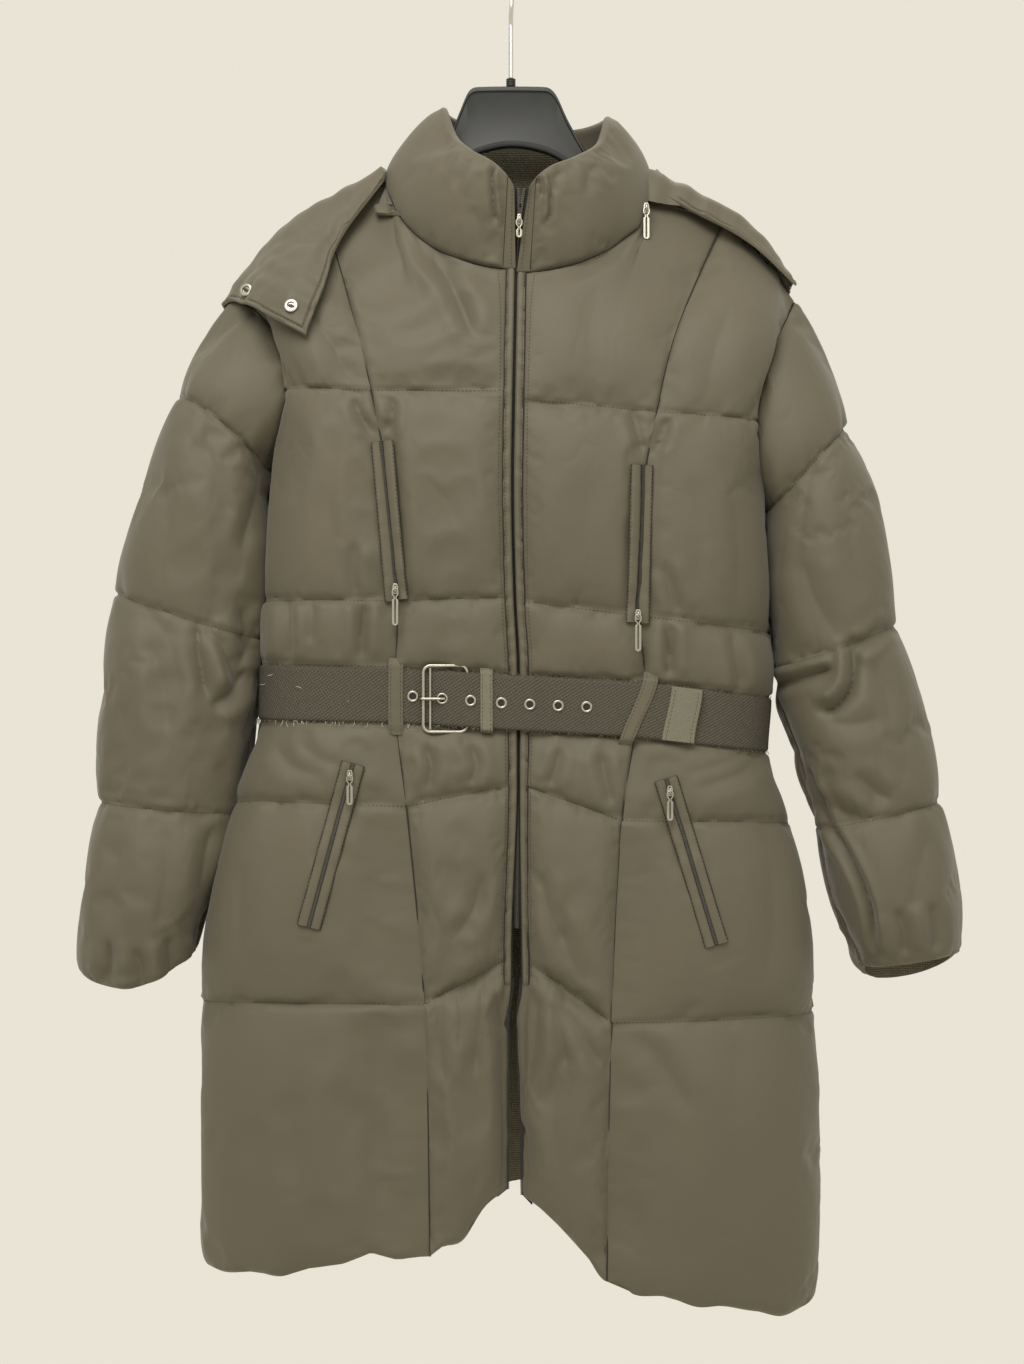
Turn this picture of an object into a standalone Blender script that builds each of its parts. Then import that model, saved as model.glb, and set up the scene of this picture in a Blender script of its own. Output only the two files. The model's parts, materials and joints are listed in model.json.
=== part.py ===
"""Knee-length quilted puffer coat on a black shoulder hanger.

Units are metres and +Z is up.  The origin is the inside top of the hanger's hook.  The front
faces -Y.  "left" and "right" are the wearer's, so the left side lies towards +X.
"""

import math
from collections import namedtuple

import bmesh
import bpy
from mathutils import Matrix, Vector
from mathutils.bvhtree import BVHTree

OBJECT_NAME = "puffer_coat_on_hanger"

# Driving sizes
WALL = 0.003             # quilted cloth at a stitch line
SEAM = 0.00018           # half of the gap between two sewn pieces
LAY = 0.0006             # clearance under a piece that lies on another
ARMHOLE_GAP = 0.0006     # sleeve head to armhole
RIDGE = 1.4              # a wall's depth down from the shoulder ridge, in walls
ROUND = 0.78             # roundness of a half section, 1 is an ellipse
NECK = 0.625             # share of the front's top edge that is the neck curve
BACK_NECK = 0.75
BAND = 0.1               # share of the centre front that is the flat zip band
SIDES = {"right": -1.0, "left": 1.0}
FACES = {"front": -1.0, "back": 1.0}

# The body's sections, hem to shoulder.  The three places across half a front are the zip edge,
# the princess seam and the side seam, which above the underarm is the armhole.
Section = namedtuple(
    "Section", "name zip_x zip_y zip_z princess_x princess_y princess_z side_x side_y side_z sag"
)
BODY = {
    "right": (
        Section("hem", 0.000, -0.070, -1.068, -0.069, -0.085, -1.121, -0.271, 0.0, -1.140, 0.004),
        Section("quilt_4", 0.000, -0.080, -0.868, -0.074, -0.088, -0.907, -0.270, 0.0, -0.914, -0.004),
        Section("quilt_3", 0.005, -0.085, -0.721, -0.089, -0.088, -0.740, -0.242, 0.0, -0.741, -0.004),
        Section("belt_low", 0.005, -0.082, -0.677, -0.097, -0.082, -0.671, -0.220, 0.0, -0.669, 0.0),
        Section("belt_high", 0.005, -0.082, -0.628, -0.098, -0.082, -0.622, -0.219, 0.0, -0.619, 0.0),
        Section("quilt_2", 0.002, -0.085, -0.563, -0.096, -0.085, -0.566, -0.216, 0.0, -0.565, 0.0),
        Section("underarm", 0.000, -0.090, -0.463, -0.105, -0.085, -0.464, -0.203, 0.0, -0.447, 0.0),
        Section("quilt_1", 0.001, -0.088, -0.389, -0.119, -0.082, -0.388, -0.193, -0.050, -0.384, 0.0),
        Section("chest", 0.002, -0.079, -0.337, -0.133, -0.070, -0.331, -0.205, -0.036, -0.334, 0.0),
        Section("shoulder", 0.003, -0.060, -0.282, -0.165, 0.0, -0.221, -0.238, 0.0, -0.295, -0.008),
    ),
    "left": (
        Section("hem", 0.013, -0.070, -1.073, 0.080, -0.085, -1.142, 0.267, 0.0, -1.160, 0.013),
        Section("quilt_4", 0.008, -0.080, -0.868, 0.084, -0.088, -0.923, 0.263, 0.0, -0.923, -0.002),
        Section("quilt_3", 0.006, -0.085, -0.721, 0.093, -0.088, -0.752, 0.242, 0.0, -0.759, -0.003),
        Section("belt_low", 0.006, -0.082, -0.677, 0.103, -0.082, -0.683, 0.222, 0.0, -0.697, 0.0),
        Section("belt_high", 0.006, -0.082, -0.628, 0.113, -0.082, -0.634, 0.225, 0.0, -0.648, 0.0),
        Section("quilt_2", 0.003, -0.085, -0.566, 0.107, -0.085, -0.579, 0.224, 0.0, -0.592, 0.0),
        Section("underarm", 0.001, -0.090, -0.466, 0.111, -0.085, -0.473, 0.214, 0.0, -0.477, 0.0),
        Section("quilt_1", 0.002, -0.088, -0.395, 0.122, -0.082, -0.406, 0.209, -0.050, -0.411, 0.0),
        Section("chest", 0.003, -0.079, -0.340, 0.139, -0.070, -0.339, 0.226, -0.036, -0.345, 0.0),
        Section("shoulder", 0.004, -0.060, -0.285, 0.185, 0.0, -0.230, 0.248, 0.0, -0.301, -0.008),
    ),
}
NECK_SIDE = {"right": (-0.108, -0.193), "left": (0.121, -0.202)}
LEVELS = (-1.12, -0.905, -0.742, -0.678, -0.630, -0.570, -0.462, -0.392, -0.337, -0.25)
HEM, QUILT_4, QUILT_3, BELT_LOW, BELT_HIGH, QUILT_2, UNDERARM, QUILT_1, CHEST, SHOULDER = range(10)

# The back at its middle, at the same sections
BackSection = namedtuple("BackSection", "y z")
BACK = (
    BackSection(0.088, -1.090),
    BackSection(0.088, -0.925),
    BackSection(0.086, -0.752),
    BackSection(0.076, -0.685),
    BackSection(0.076, -0.636),
    BackSection(0.080, -0.578),
    BackSection(0.084, -0.462),
    BackSection(0.084, -0.395),
    BackSection(0.076, -0.330),
    BackSection(0.050, -0.207),
)

# Quilted cells between stitched sections, with the rows of faces in each and the height of the pad
Cell = namedtuple("Cell", "low high rows crown")
CELLS = (
    Cell(HEM, QUILT_4, 5, 0.016),
    Cell(QUILT_4, QUILT_3, 4, 0.015),
    Cell(QUILT_3, BELT_LOW, 3, 0.008),
    Cell(BELT_LOW, BELT_HIGH, 1, 0.0),
    Cell(BELT_HIGH, QUILT_2, 3, 0.008),
    Cell(QUILT_2, QUILT_1, 6, 0.013),
    Cell(QUILT_1, SHOULDER, 6, 0.009),
)
CENTRE_COLUMNS = (0.0, 0.1, 0.21, 0.35, 0.49, NECK, 0.81, 1.0)
SIDE_COLUMNS = (1.0, 1.12, 1.26, 1.4, 1.54, 1.68, 1.82, 2.0)
BACK_COLUMNS = (-2.0, -1.76, -1.45, -1.1, -0.75, -0.38, 0.0)
BACK_COLUMNS = BACK_COLUMNS + tuple(-column for column in BACK_COLUMNS[-2::-1])

# Sleeve sections, head to cuff: the outer and inner edge seen from the front, the half depth,
# the middle's y, and how far the front and the back of the ring ride up
Ring = namedtuple("Ring", "outer_x outer_z inner_x inner_z depth y front_lift back_lift stitched")
SLEEVE = {
    "right": (
        Ring(-0.290, -0.391, -0.2110, -0.455, 0.056, 0.0, 0.012, 0.0, True),
        Ring(-0.317, -0.475, -0.2165, -0.506, 0.057, -0.001, 0.004, 0.0, False),
        Ring(-0.345, -0.558, -0.233, -0.598, 0.055, -0.003, 0.0, 0.0, True),
        Ring(-0.352, -0.651, -0.243, -0.666, 0.054, -0.006, 0.0, 0.0, False),
        Ring(-0.358, -0.739, -0.254, -0.749, 0.053, -0.010, 0.0, 0.0, True),
        Ring(-0.366, -0.817, -0.268, -0.826, 0.052, -0.014, 0.0, 0.0, False),
        Ring(-0.377, -0.878, -0.278, -0.886, 0.046, -0.016, -0.016, -0.010, True),
    ),
    "left": (
        Ring(0.290, -0.413, 0.2225, -0.486, 0.056, 0.0, 0.0, 0.0, True),
        Ring(0.314, -0.492, 0.229, -0.532, 0.057, -0.001, 0.0, 0.0, False),
        Ring(0.334, -0.586, 0.241, -0.622, 0.055, -0.003, 0.0, 0.0, True),
        Ring(0.353, -0.670, 0.250, -0.692, 0.054, -0.006, 0.0, 0.0, False),
        Ring(0.371, -0.739, 0.268, -0.762, 0.053, -0.010, 0.0, 0.0, True),
        Ring(0.380, -0.809, 0.283, -0.826, 0.052, -0.014, 0.0, 0.0, False),
        Ring(0.390, -0.868, 0.306, -0.882, 0.046, -0.016, 0.0, -0.022, True),
    ),
}
SLEEVE_ROWS = (2, 2, 2, 2, 2, 2, 2)
SLEEVE_TURN = 18         # columns round a sleeve, 9 of them on the front
INNER_SEAM = 9
BACK_SEAM = 13
SLEEVE_CROWN = 0.010
SEAM_TURN = 0.013        # half a sleeve seam's gap, in columns

# The stand collar's top edge, from the right front corner round the back to the left one
CollarTop = namedtuple("CollarTop", "share x y z")
COLLAR_TOP = (
    CollarTop(0.00, 0.002, -0.078, -0.212),
    CollarTop(0.05, -0.013, -0.078, -0.197),
    CollarTop(0.13, -0.036, -0.068, -0.182),
    CollarTop(0.21, -0.053, -0.045, -0.164),
    CollarTop(0.30, -0.063, -0.008, -0.133),
    CollarTop(0.38, -0.052, 0.034, -0.134),
    CollarTop(0.50, 0.004, 0.056, -0.140),
    CollarTop(0.62, 0.064, 0.040, -0.141),
    CollarTop(0.70, 0.087, -0.004, -0.140),
    CollarTop(0.79, 0.078, -0.045, -0.171),
    CollarTop(0.87, 0.056, -0.066, -0.187),
    CollarTop(0.95, 0.031, -0.078, -0.199),
    CollarTop(1.00, 0.014, -0.080, -0.213),
)
COLLAR_ROWS = (0.0, 0.12, 0.3, 0.5, 0.7, 0.88, 1.0)
COLLAR_PAD = 0.007
COLLAR_CROWN = 0.013

# Hanger
HOOK_INSIDE = 0.017
WIRE = 0.002
SOCKET_RADIUS = 0.0042
Station = namedtuple("Station", "x top bottom half_depth")
HANGER_NECK = (
    Station(-0.085, -0.188, -0.216, 0.0055),
    Station(-0.070, -0.172, -0.202, 0.0055),
    Station(-0.054, -0.153, -0.188, 0.0055),
    Station(-0.046, -0.134, -0.180, 0.0055),
    Station(-0.038, -0.116, -0.175, 0.0055),
    Station(-0.030, -0.112, -0.171, 0.0055),
    Station(0.000, -0.1115, -0.165, 0.0055),
    Station(0.029, -0.112, -0.170, 0.0055),
    Station(0.038, -0.118, -0.174, 0.0055),
    Station(0.049, -0.141, -0.181, 0.0055),
    Station(0.065, -0.168, -0.193, 0.0055),
    Station(0.082, -0.185, -0.208, 0.0055),
    Station(0.097, -0.199, -0.222, 0.0055),
)
ARM_REACH = {"right": (-0.110, -0.130, -0.152, -0.175, -0.198),
             "left": (0.123, 0.142, 0.165, 0.188, 0.210)}
ARM_HEIGHT = 0.026
ARM_CLEAR = 0.0014
ARM_DEPTH = (0.0055, 0.006, 0.0065, 0.008, 0.009)

# Hood tabs over the shoulders: the ridge seen from the front, and the tab's front edge
TabSection = namedtuple("TabSection", "ridge_x ridge_z front_x front_y front_z back_turn")
TABS = {
    "right": (
        TabSection(-0.118, -0.197, -0.121, -0.030, -0.216, 60),
        TabSection(-0.152, -0.213, -0.142, -0.045, -0.246, 55),
        TabSection(-0.180, -0.228, -0.158, -0.055, -0.273, 52),
        TabSection(-0.209, -0.252, -0.172, -0.060, -0.303, 50),
        TabSection(-0.241, -0.306, -0.190, -0.060, -0.338, 48),
    ),
    "left": (
        TabSection(0.131, -0.206, 0.132, -0.015, -0.213, 60),
        TabSection(0.160, -0.218, 0.160, -0.020, -0.229, 55),
        TabSection(0.188, -0.233, 0.188, -0.025, -0.244, 52),
        TabSection(0.215, -0.254, 0.213, -0.028, -0.262, 50),
        TabSection(0.243, -0.292, 0.245, -0.026, -0.292, 48),
    ),
}
SNAPS = ((0.93, 0.13), (0.93, 0.43))
TAB_THICKNESS = 0.0045
TAB_LAY = 0.0032
TAB_REACH = (-0.12, -0.06, 0.0, 0.06, 0.12)

# Hood, a bag that hangs behind the neck with its mouth up
HOOD_TOP = -0.222
HOOD_BOTTOM = -0.520
HOOD_HALF_WIDTH = 0.178
HOOD_DEPTH = 0.058
HOOD_WALL = 0.003
HOOD_LAY = 0.0008
HOOD_TURN = 24
HOOD_ROWS = (0.0, 0.12, 0.27, 0.43, 0.6, 0.76, 0.89, 1.0)

# Pocket welts: top and bottom of the slit seen from the front
Pocket = namedtuple("Pocket", "top_x top_z bottom_x bottom_z half_width slider_at")
POCKETS = {
    "chest_right": Pocket(-0.1095, -0.432, -0.0975, -0.566, 0.0098, 0.93),
    "chest_left": Pocket(0.1095, -0.452, 0.106, -0.585, 0.0098, 0.95),
    "hip_right": Pocket(-0.134, -0.704, -0.171, -0.841, 0.0098, 0.07),
    "hip_left": Pocket(0.130, -0.717, 0.172, -0.856, 0.0098, 0.07),
}
WELT_LIFTS = (0.0014, 0.0028, 0.0028, 0.0012, 0.0028, 0.0028, 0.0014)
WELT_LAY = 0.0012
WELT_SHARES = (-1.0, -0.8, -0.22, 0.0, 0.22, 0.8, 1.0)

# Belt and its hardware
BELT_THICKNESS = 0.0018
BELT_LAY = 0.0007
BELT_START = -0.030      # x of the end that holds the buckle
BELT_TIP = 0.157
PLACKET_THICKNESS = 0.0022
BELT_OVER = 0.0036       # lift of the outer layer over the inner one
BUCKLE_X = (-0.075, -0.038)
BUCKLE_HALF_HEIGHT = 0.0280
BUCKLE_WIRE = 0.0015
EYELETS_X = (-0.084, -0.059, -0.035, -0.009, 0.015, 0.039, 0.063)
EYELET_RADIUS = 0.0036
EYELET_WIRE = 0.0008

# Zip pull and slider
PULL_LENGTH = 0.022
PULL_WIDTH = 0.0046
PULL_THICKNESS = 0.0012
BRIDGE_RADIUS = 0.0018
BRIDGE_WIRE = 0.0005
COLLAR_SLIDER_RISE = 0.58
TAPE_SHOWING = 0.0032
TAPE_HIDDEN = 0.03       # in shares of the collar
HOOD_SLIDER = (0.1165, -0.224)

COLOURS = {
    "shell": (0.158, 0.136, 0.096, 1.0, 0.48, 0.0),
    "lining": (0.070, 0.062, 0.036, 1.0, 0.80, 0.0),
    "webbing": (0.120, 0.105, 0.070, 1.0, 0.85, 0.0),
    "ribbon": (0.190, 0.180, 0.125, 1.0, 0.70, 0.0),
    "tape": (0.018, 0.017, 0.015, 1.0, 0.80, 0.0),
    "nickel": (0.520, 0.510, 0.460, 1.0, 0.28, 1.0),
    "hanger_plastic": (0.022, 0.024, 0.024, 1.0, 0.35, 0.0),
    "hook_steel": (0.560, 0.560, 0.540, 1.0, 0.30, 1.0),
}


def clear_scene():
    """Remove every object that is in the scene."""
    for thing in list(bpy.data.objects):
        bpy.data.objects.remove(thing, do_unlink=True)


def new_collection(name):
    """A collection of this name in the scene."""
    made = bpy.data.collections.new(name)
    bpy.context.scene.collection.children.link(made)
    return made


def make_material(name):
    """A Principled material from the colour table."""
    red, green, blue, alpha, roughness, metallic = COLOURS[name]
    material = bpy.data.materials.new(name)
    material.use_nodes = True
    shader = material.node_tree.nodes["Principled BSDF"]
    shader.inputs["Base Color"].default_value = (red, green, blue, alpha)
    shader.inputs["Roughness"].default_value = roughness
    shader.inputs["Metallic"].default_value = metallic
    material.diffuse_color = (red, green, blue, alpha)
    return material


def mix(start, end, share):
    """Straight blend of two numbers or vectors."""
    return start + (end - start) * share


def along_numbers(values, places, at):
    """A smooth curve through numbers at given places that never overshoots them, read at one place."""
    last = len(places) - 1
    index = 0
    while index < last - 1 and at > places[index + 1]:
        index += 1
    rises = [(values[i + 1] - values[i]) / (places[i + 1] - places[i]) for i in range(last)]

    def slope(i):
        if i == 0 or i == last:
            return rises[0] if i == 0 else rises[-1]
        before, after = rises[i - 1], rises[i]
        if before * after <= 0.0:
            return 0.0
        return math.copysign(min(abs(before + after) / 2, 2.5 * abs(before), 2.5 * abs(after)), before)

    span = places[index + 1] - places[index]
    share = (at - places[index]) / span
    square = share * share
    cube = square * share
    return (
        values[index] * (2 * cube - 3 * square + 1)
        + slope(index) * span * (cube - 2 * square + share)
        + values[index + 1] * (3 * square - 2 * cube)
        + slope(index + 1) * span * (cube - square)
    )


def along_curve(stations, places, at):
    """A smooth curve through numbers or points at given places, read at one place."""
    if isinstance(stations[0], Vector):
        return Vector([along_numbers([point[axis] for point in stations], places, at) for axis in range(3)])
    return along_numbers(stations, places, at)


# ---------------------------------------------------------------- the body's form


def section_keys(face, side, index, inset):
    """The three points that a half section runs through, moved in by inset."""
    row = BODY[side][index]
    sign = FACES[face]
    if face == "front":
        middle = Vector((row.zip_x, row.zip_y + inset, row.zip_z))
        quarter = Vector((row.princess_x, row.princess_y + inset, row.princess_z))
    else:
        back = BACK[index]
        middle = Vector((0.0, back.y - inset, back.z))
        quarter = Vector((row.side_x * 0.55, back.y * 0.97 - inset, mix(back.z, row.side_z, 0.4)))
    edge = Vector((row.side_x, -row.side_y * sign, row.side_z))
    if index <= UNDERARM and row.side_y == 0.0:
        edge.x -= math.copysign(inset, row.side_x)
        edge.y = sign * SEAM
    if index in (UNDERARM, QUILT_1, CHEST):
        edge = armhole_key(face, side, index, inset)
    return middle, quarter, edge


def armhole_key(face, side, index, inset):
    """A point of the armhole, drawn in towards the armhole's middle within its own surface."""
    row = BODY[side][index]
    low = BODY[side][UNDERARM].side_z
    high = BODY[side][SHOULDER].side_z
    y = -row.side_y * FACES[face] if row.side_y else FACES[face] * SEAM
    point = Vector((0.0, y, row.side_z))
    centre = Vector((0.0, 0.0, 0.5 * (low + high)))
    towards = (centre - point).normalized()
    if index == UNDERARM:
        towards = Vector((0.0, 0.0, 1.0))
    moved = point + towards * inset
    moved.x = armhole_x(side, moved.z)
    return moved


def armhole_x(side, z):
    """How far out the armhole lies at a height."""
    rows = BODY[side][UNDERARM:]
    places = [row.side_z for row in rows]
    return along_curve([row.side_x for row in rows], places, max(places[0], min(places[-1], z)))


def shoulder_key(face, side, column, inset):
    """A point of the top edge: the neck curve, then the shoulder ridge out to its tip."""
    row = BODY[side][SHOULDER]
    neck_x, neck_z = NECK_SIDE[side]
    sign = FACES[face]
    turn_at = NECK if face == "front" else BACK_NECK
    middle_x = row.zip_x if face == "front" else 0.0
    middle_y = row.zip_y if face == "front" else BACK[SHOULDER].y
    middle_z = row.zip_z if face == "front" else BACK[SHOULDER].z
    if column <= turn_at:
        angle = column / turn_at * math.pi / 2
        reach = math.sin(angle)
        rise = math.cos(angle)
        y = middle_y * rise ** 0.8 - sign * inset * rise
        if abs(y) < SEAM:
            y = sign * SEAM
        return Vector((mix(middle_x, neck_x, reach), y, mix(neck_z, middle_z, rise) - inset * reach * RIDGE))
    if column <= 1.0:
        share = (column - turn_at) / (1.0 - turn_at)
        return Vector((mix(neck_x, row.princess_x, share), sign * SEAM,
                       mix(neck_z, row.princess_z, share) - inset * RIDGE))
    share = column - 1.0
    hump = math.sin(share * math.pi) * -row.sag
    return Vector((mix(row.princess_x, row.side_x, share), sign * SEAM,
                   mix(row.princess_z, row.side_z, share) + hump - inset * RIDGE))


def on_section(face, side, index, column, inset):
    """A point of one section; column runs 0 at the middle, 1 at the princess seam, 2 at the side."""
    if index == SHOULDER:
        return shoulder_key(face, side, column, inset)
    middle, quarter, edge = section_keys(face, side, index, inset)
    if column <= 1.0:
        return mix(middle, quarter, column)
    angle = (column - 1.0) * math.pi / 2
    reach = math.sin(angle) ** ROUND
    drop = math.cos(angle) ** ROUND if column < 2.0 else 0.0
    sag = BODY[side][index].sag * math.sin((column - 1.0) * math.pi)
    return Vector((mix(quarter.x, edge.x, reach), mix(edge.y, quarter.y, drop),
                   mix(quarter.z, edge.z, reach) - sag))


def body_base(face, side, column, level, inset=0.0):
    """A point of the body's stitched surface; level counts the sections from the hem."""
    index = min(int(level), SHOULDER - 1)
    first = max(index - 1, 0)
    last = min(index + 2, SHOULDER)
    stations = [on_section(face, side, i, column, inset) for i in range(first, last + 1)]
    height = mix(LEVELS[index], LEVELS[index + 1], level - index)
    point = along_curve(stations, LEVELS[first:last + 1], height)
    if column >= 2.0 and level > UNDERARM:
        point.x = armhole_x(side, point.z)
    return point


def body_normal(face, side, column, level):
    """The outward direction of the stitched surface."""
    step = 0.02
    column = min(column, 1.97)
    low_column = max(column - step, 0.0)
    high_column = column + step
    low_level = max(level - step, 0.0)
    high_level = min(level + step, float(SHOULDER))
    across = body_base(face, side, high_column, level) - body_base(face, side, low_column, level)
    up = body_base(face, side, column, high_level) - body_base(face, side, column, low_level)
    normal = across.cross(up).normalized()
    outward = Vector((0.2 * SIDES[side], FACES[face], 0.0))
    return normal if normal.dot(outward) > 0 else -normal


def swell(share, power):
    """The fullness of a pad across a quilted cell, 0 at its stitches and 1 in its middle."""
    return 1.0 - abs(2.0 * share - 1.0) ** power


def crown_at(level):
    """The height of the pad at a level, from the cell that it is in."""
    for cell in CELLS:
        if cell.low <= level <= cell.high:
            low = LEVELS[cell.low]
            high = LEVELS[cell.high]
            index = min(int(level), SHOULDER - 1)
            height = mix(LEVELS[index], LEVELS[index + 1], level - index)
            return cell.crown * max(swell((height - low) / (high - low), 2.4), 0.0)
    return 0.0


def body_outer(face, side, column, level, lift=0.0):
    """A point of the quilted outside, with an extra lift."""
    if face == "back":
        across = swell(0.5 + column / 4.0, 4.0) * (1.0 - max(column - 1.0, 0.0) ** 3)
    elif column <= 1.0:
        across = swell(max(column - BAND, 0.0) / (1.0 - BAND), 3.0)
    else:
        across = swell(column - 1.0, 3.0) * (1.0 - (column - 1.0) ** 4)
    height = crown_at(level) * max(across, 0.0) + lift
    point = body_base(face, side, column, level)
    if height <= 0.0:
        return point
    return point + body_normal(face, side, column, level) * height


def level_rows():
    """Every level that has a row of points, hem to shoulder."""
    rows = [0.0]
    for cell in CELLS:
        steps = cell.rows
        for step in range(1, steps + 1):
            rows.append(mix(cell.low, cell.high, step / steps))
    return rows


# ---------------------------------------------------------------- mesh helpers


def finish_object(name, mesh, material, smooth_angle=math.radians(50)):
    """An object in the coat's collection, shaded smooth."""
    thing = bpy.data.objects.new(name, mesh)
    thing.data.materials.append(materials[material])
    mesh.shade_smooth()
    mesh.set_sharp_from_angle(angle=smooth_angle)
    parts.objects.link(thing)
    return thing


def rolled_wall(bm, columns, rows, outer, inner, roll):
    """Shape a grid into a wall: its outside from outer(c, r) and its inside from inner(c, r)."""
    column_layer = bm.verts.layers.float.new("column")
    row_layer = bm.verts.layers.float.new("row")
    bmesh.ops.create_grid(bm, x_segments=len(columns) - 1, y_segments=len(rows) - 1, size=0.5)
    for vert in bm.verts:
        column = columns[round((vert.co.x + 0.5) * (len(columns) - 1))]
        row = rows[round((vert.co.y + 0.5) * (len(rows) - 1))]
        vert[column_layer] = column
        vert[row_layer] = row
        vert.co = outer(column, row)
    if roll:
        bmesh.ops.remove_doubles(bm, verts=bm.verts[:], dist=0.00001)
    copied = bmesh.ops.extrude_face_region(bm, geom=bm.faces[:], use_keep_orig=True)
    for vert in copied["geom"]:
        if isinstance(vert, bmesh.types.BMVert):
            vert.co = inner(vert[column_layer], vert[row_layer])
    bmesh.ops.recalc_face_normals(bm, faces=bm.faces[:])


def wall(name, columns, rows, outer, inner, material, roll=False):
    """A cloth wall as an object."""
    bm = bmesh.new()
    rolled_wall(bm, columns, rows, outer, inner, roll)
    mesh = bpy.data.meshes.new(name)
    bm.to_mesh(mesh)
    bm.free()
    if sum((face.normal.dot(face.center) * face.area) for face in mesh.polygons) < 0:
        mesh.flip_normals()
    return finish_object(name, mesh, material)


def tree_of(things):
    """A search tree over the outsides of these objects."""
    points = []
    faces = []
    for thing in things:
        start = len(points)
        points.extend(vert.co.copy() for vert in thing.data.vertices)
        faces.extend([start + i for i in face.vertices] for face in thing.data.polygons)
    return BVHTree.FromPolygons(points, faces)


def front_y(x, z):
    """The y of the cloth that shows from the front at a place."""
    found = []
    for aside in (-3 * SEAM, 3 * SEAM):
        hit = front_tree.ray_cast(Vector((x + aside, -1.0, z)), Vector((0.0, 1.0, 0.0)))
        if hit[0] is not None:
            found.append(hit[0].y)
    return min(found, default=0.0)


def even(count, start=0.0, end=1.0):
    """Evenly spaced numbers, both ends included."""
    return tuple(mix(start, end, i / count) for i in range(count + 1))


def loft(name, rings, material, smooth_angle=math.radians(40)):
    """A closed solid through rings of points, its ends capped."""
    bm = bmesh.new()
    loops = []
    for ring in rings:
        made = bmesh.ops.create_circle(bm, cap_ends=False, segments=len(ring), radius=1.0)
        for vert, point in zip(made["verts"], ring):
            vert.co = point
        loops.append(made["verts"])
    for low, high in zip(loops, loops[1:]):
        for i in range(len(low)):
            follow = (i + 1) % len(low)
            bm.faces.new((low[i], low[follow], high[follow], high[i]))
    for loop in (loops[0], loops[-1]):
        bm.faces.new(loop)
    bmesh.ops.recalc_face_normals(bm, faces=bm.faces[:])
    mesh = bpy.data.meshes.new(name)
    bm.to_mesh(mesh)
    bm.free()
    return finish_object(name, mesh, material, smooth_angle)


# ---------------------------------------------------------------- cloth pieces


def add_body():
    """The two fronts in two panels each, and the back."""
    rows = level_rows()
    made = []
    for side, sign in SIDES.items():
        for name, columns in (("centre", CENTRE_COLUMNS), ("side", SIDE_COLUMNS)):
            def seam_shift(column, edges=(columns[0], columns[-1]), panel=name):
                if panel == "centre" and column == edges[1]:
                    return Vector((-sign * SEAM, 0.0, 0.0))
                if panel == "side" and column == edges[0]:
                    return Vector((sign * SEAM, 0.0, 0.0))
                return Vector()

            made.append(wall(
                f"front_{name}_{side}", columns, rows,
                lambda c, r, s=side, shift=seam_shift: body_outer("front", s, c, r) + shift(c),
                lambda c, r, s=side, shift=seam_shift: body_base("front", s, c, r, WALL) + shift(c),
                "shell"))

    def back_side(column):
        return "right" if column < 0 else "left"

    made.append(wall(
        "back", BACK_COLUMNS, rows,
        lambda c, r: body_outer("back", back_side(c), abs(c), r),
        lambda c, r: body_base("back", back_side(c), abs(c), r, WALL),
        "shell"))
    return made


def sleeve_key(side, index, turn, inset):
    """A point of one sleeve section; turn counts columns from the outer edge over the front."""
    turn = turn % SLEEVE_TURN
    quarter = (SHOULDER - UNDERARM) / INNER_SEAM
    if index == 0:
        face = "front" if turn <= INNER_SEAM else "back"
        away = turn if turn <= INNER_SEAM else SLEEVE_TURN - turn
        level = SHOULDER - quarter * away
        point = body_base(face, side, 2.0, level, inset)
        point.x += SIDES[side] * ARMHOLE_GAP
        return point
    ring = SLEEVE[side][index - 1]
    outer = Vector((ring.outer_x, 0.0, ring.outer_z))
    inner = Vector((ring.inner_x, 0.0, ring.inner_z))
    half = (outer - inner) * 0.5
    half *= (half.length - inset) / half.length
    angle = turn / SLEEVE_TURN * math.tau
    power = 0.9
    cosine = math.copysign(abs(math.cos(angle)) ** power, math.cos(angle))
    sine = math.copysign(abs(math.sin(angle)) ** power, math.sin(angle))
    lift = ring.front_lift * max(sine, 0.0) + ring.back_lift * max(-sine, 0.0)
    point = (outer + inner) * 0.5 + half * cosine
    point.y = ring.y - (ring.depth - inset) * sine
    point.z += lift
    return point


def sleeve_base(side, turn, level, inset=0.0):
    """A point of the sleeve's stitched surface."""
    count = len(SLEEVE[side])
    places = list(range(count + 1))
    stations = [sleeve_key(side, i, turn, inset) for i in places]
    return along_curve(stations, places, level)


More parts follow.
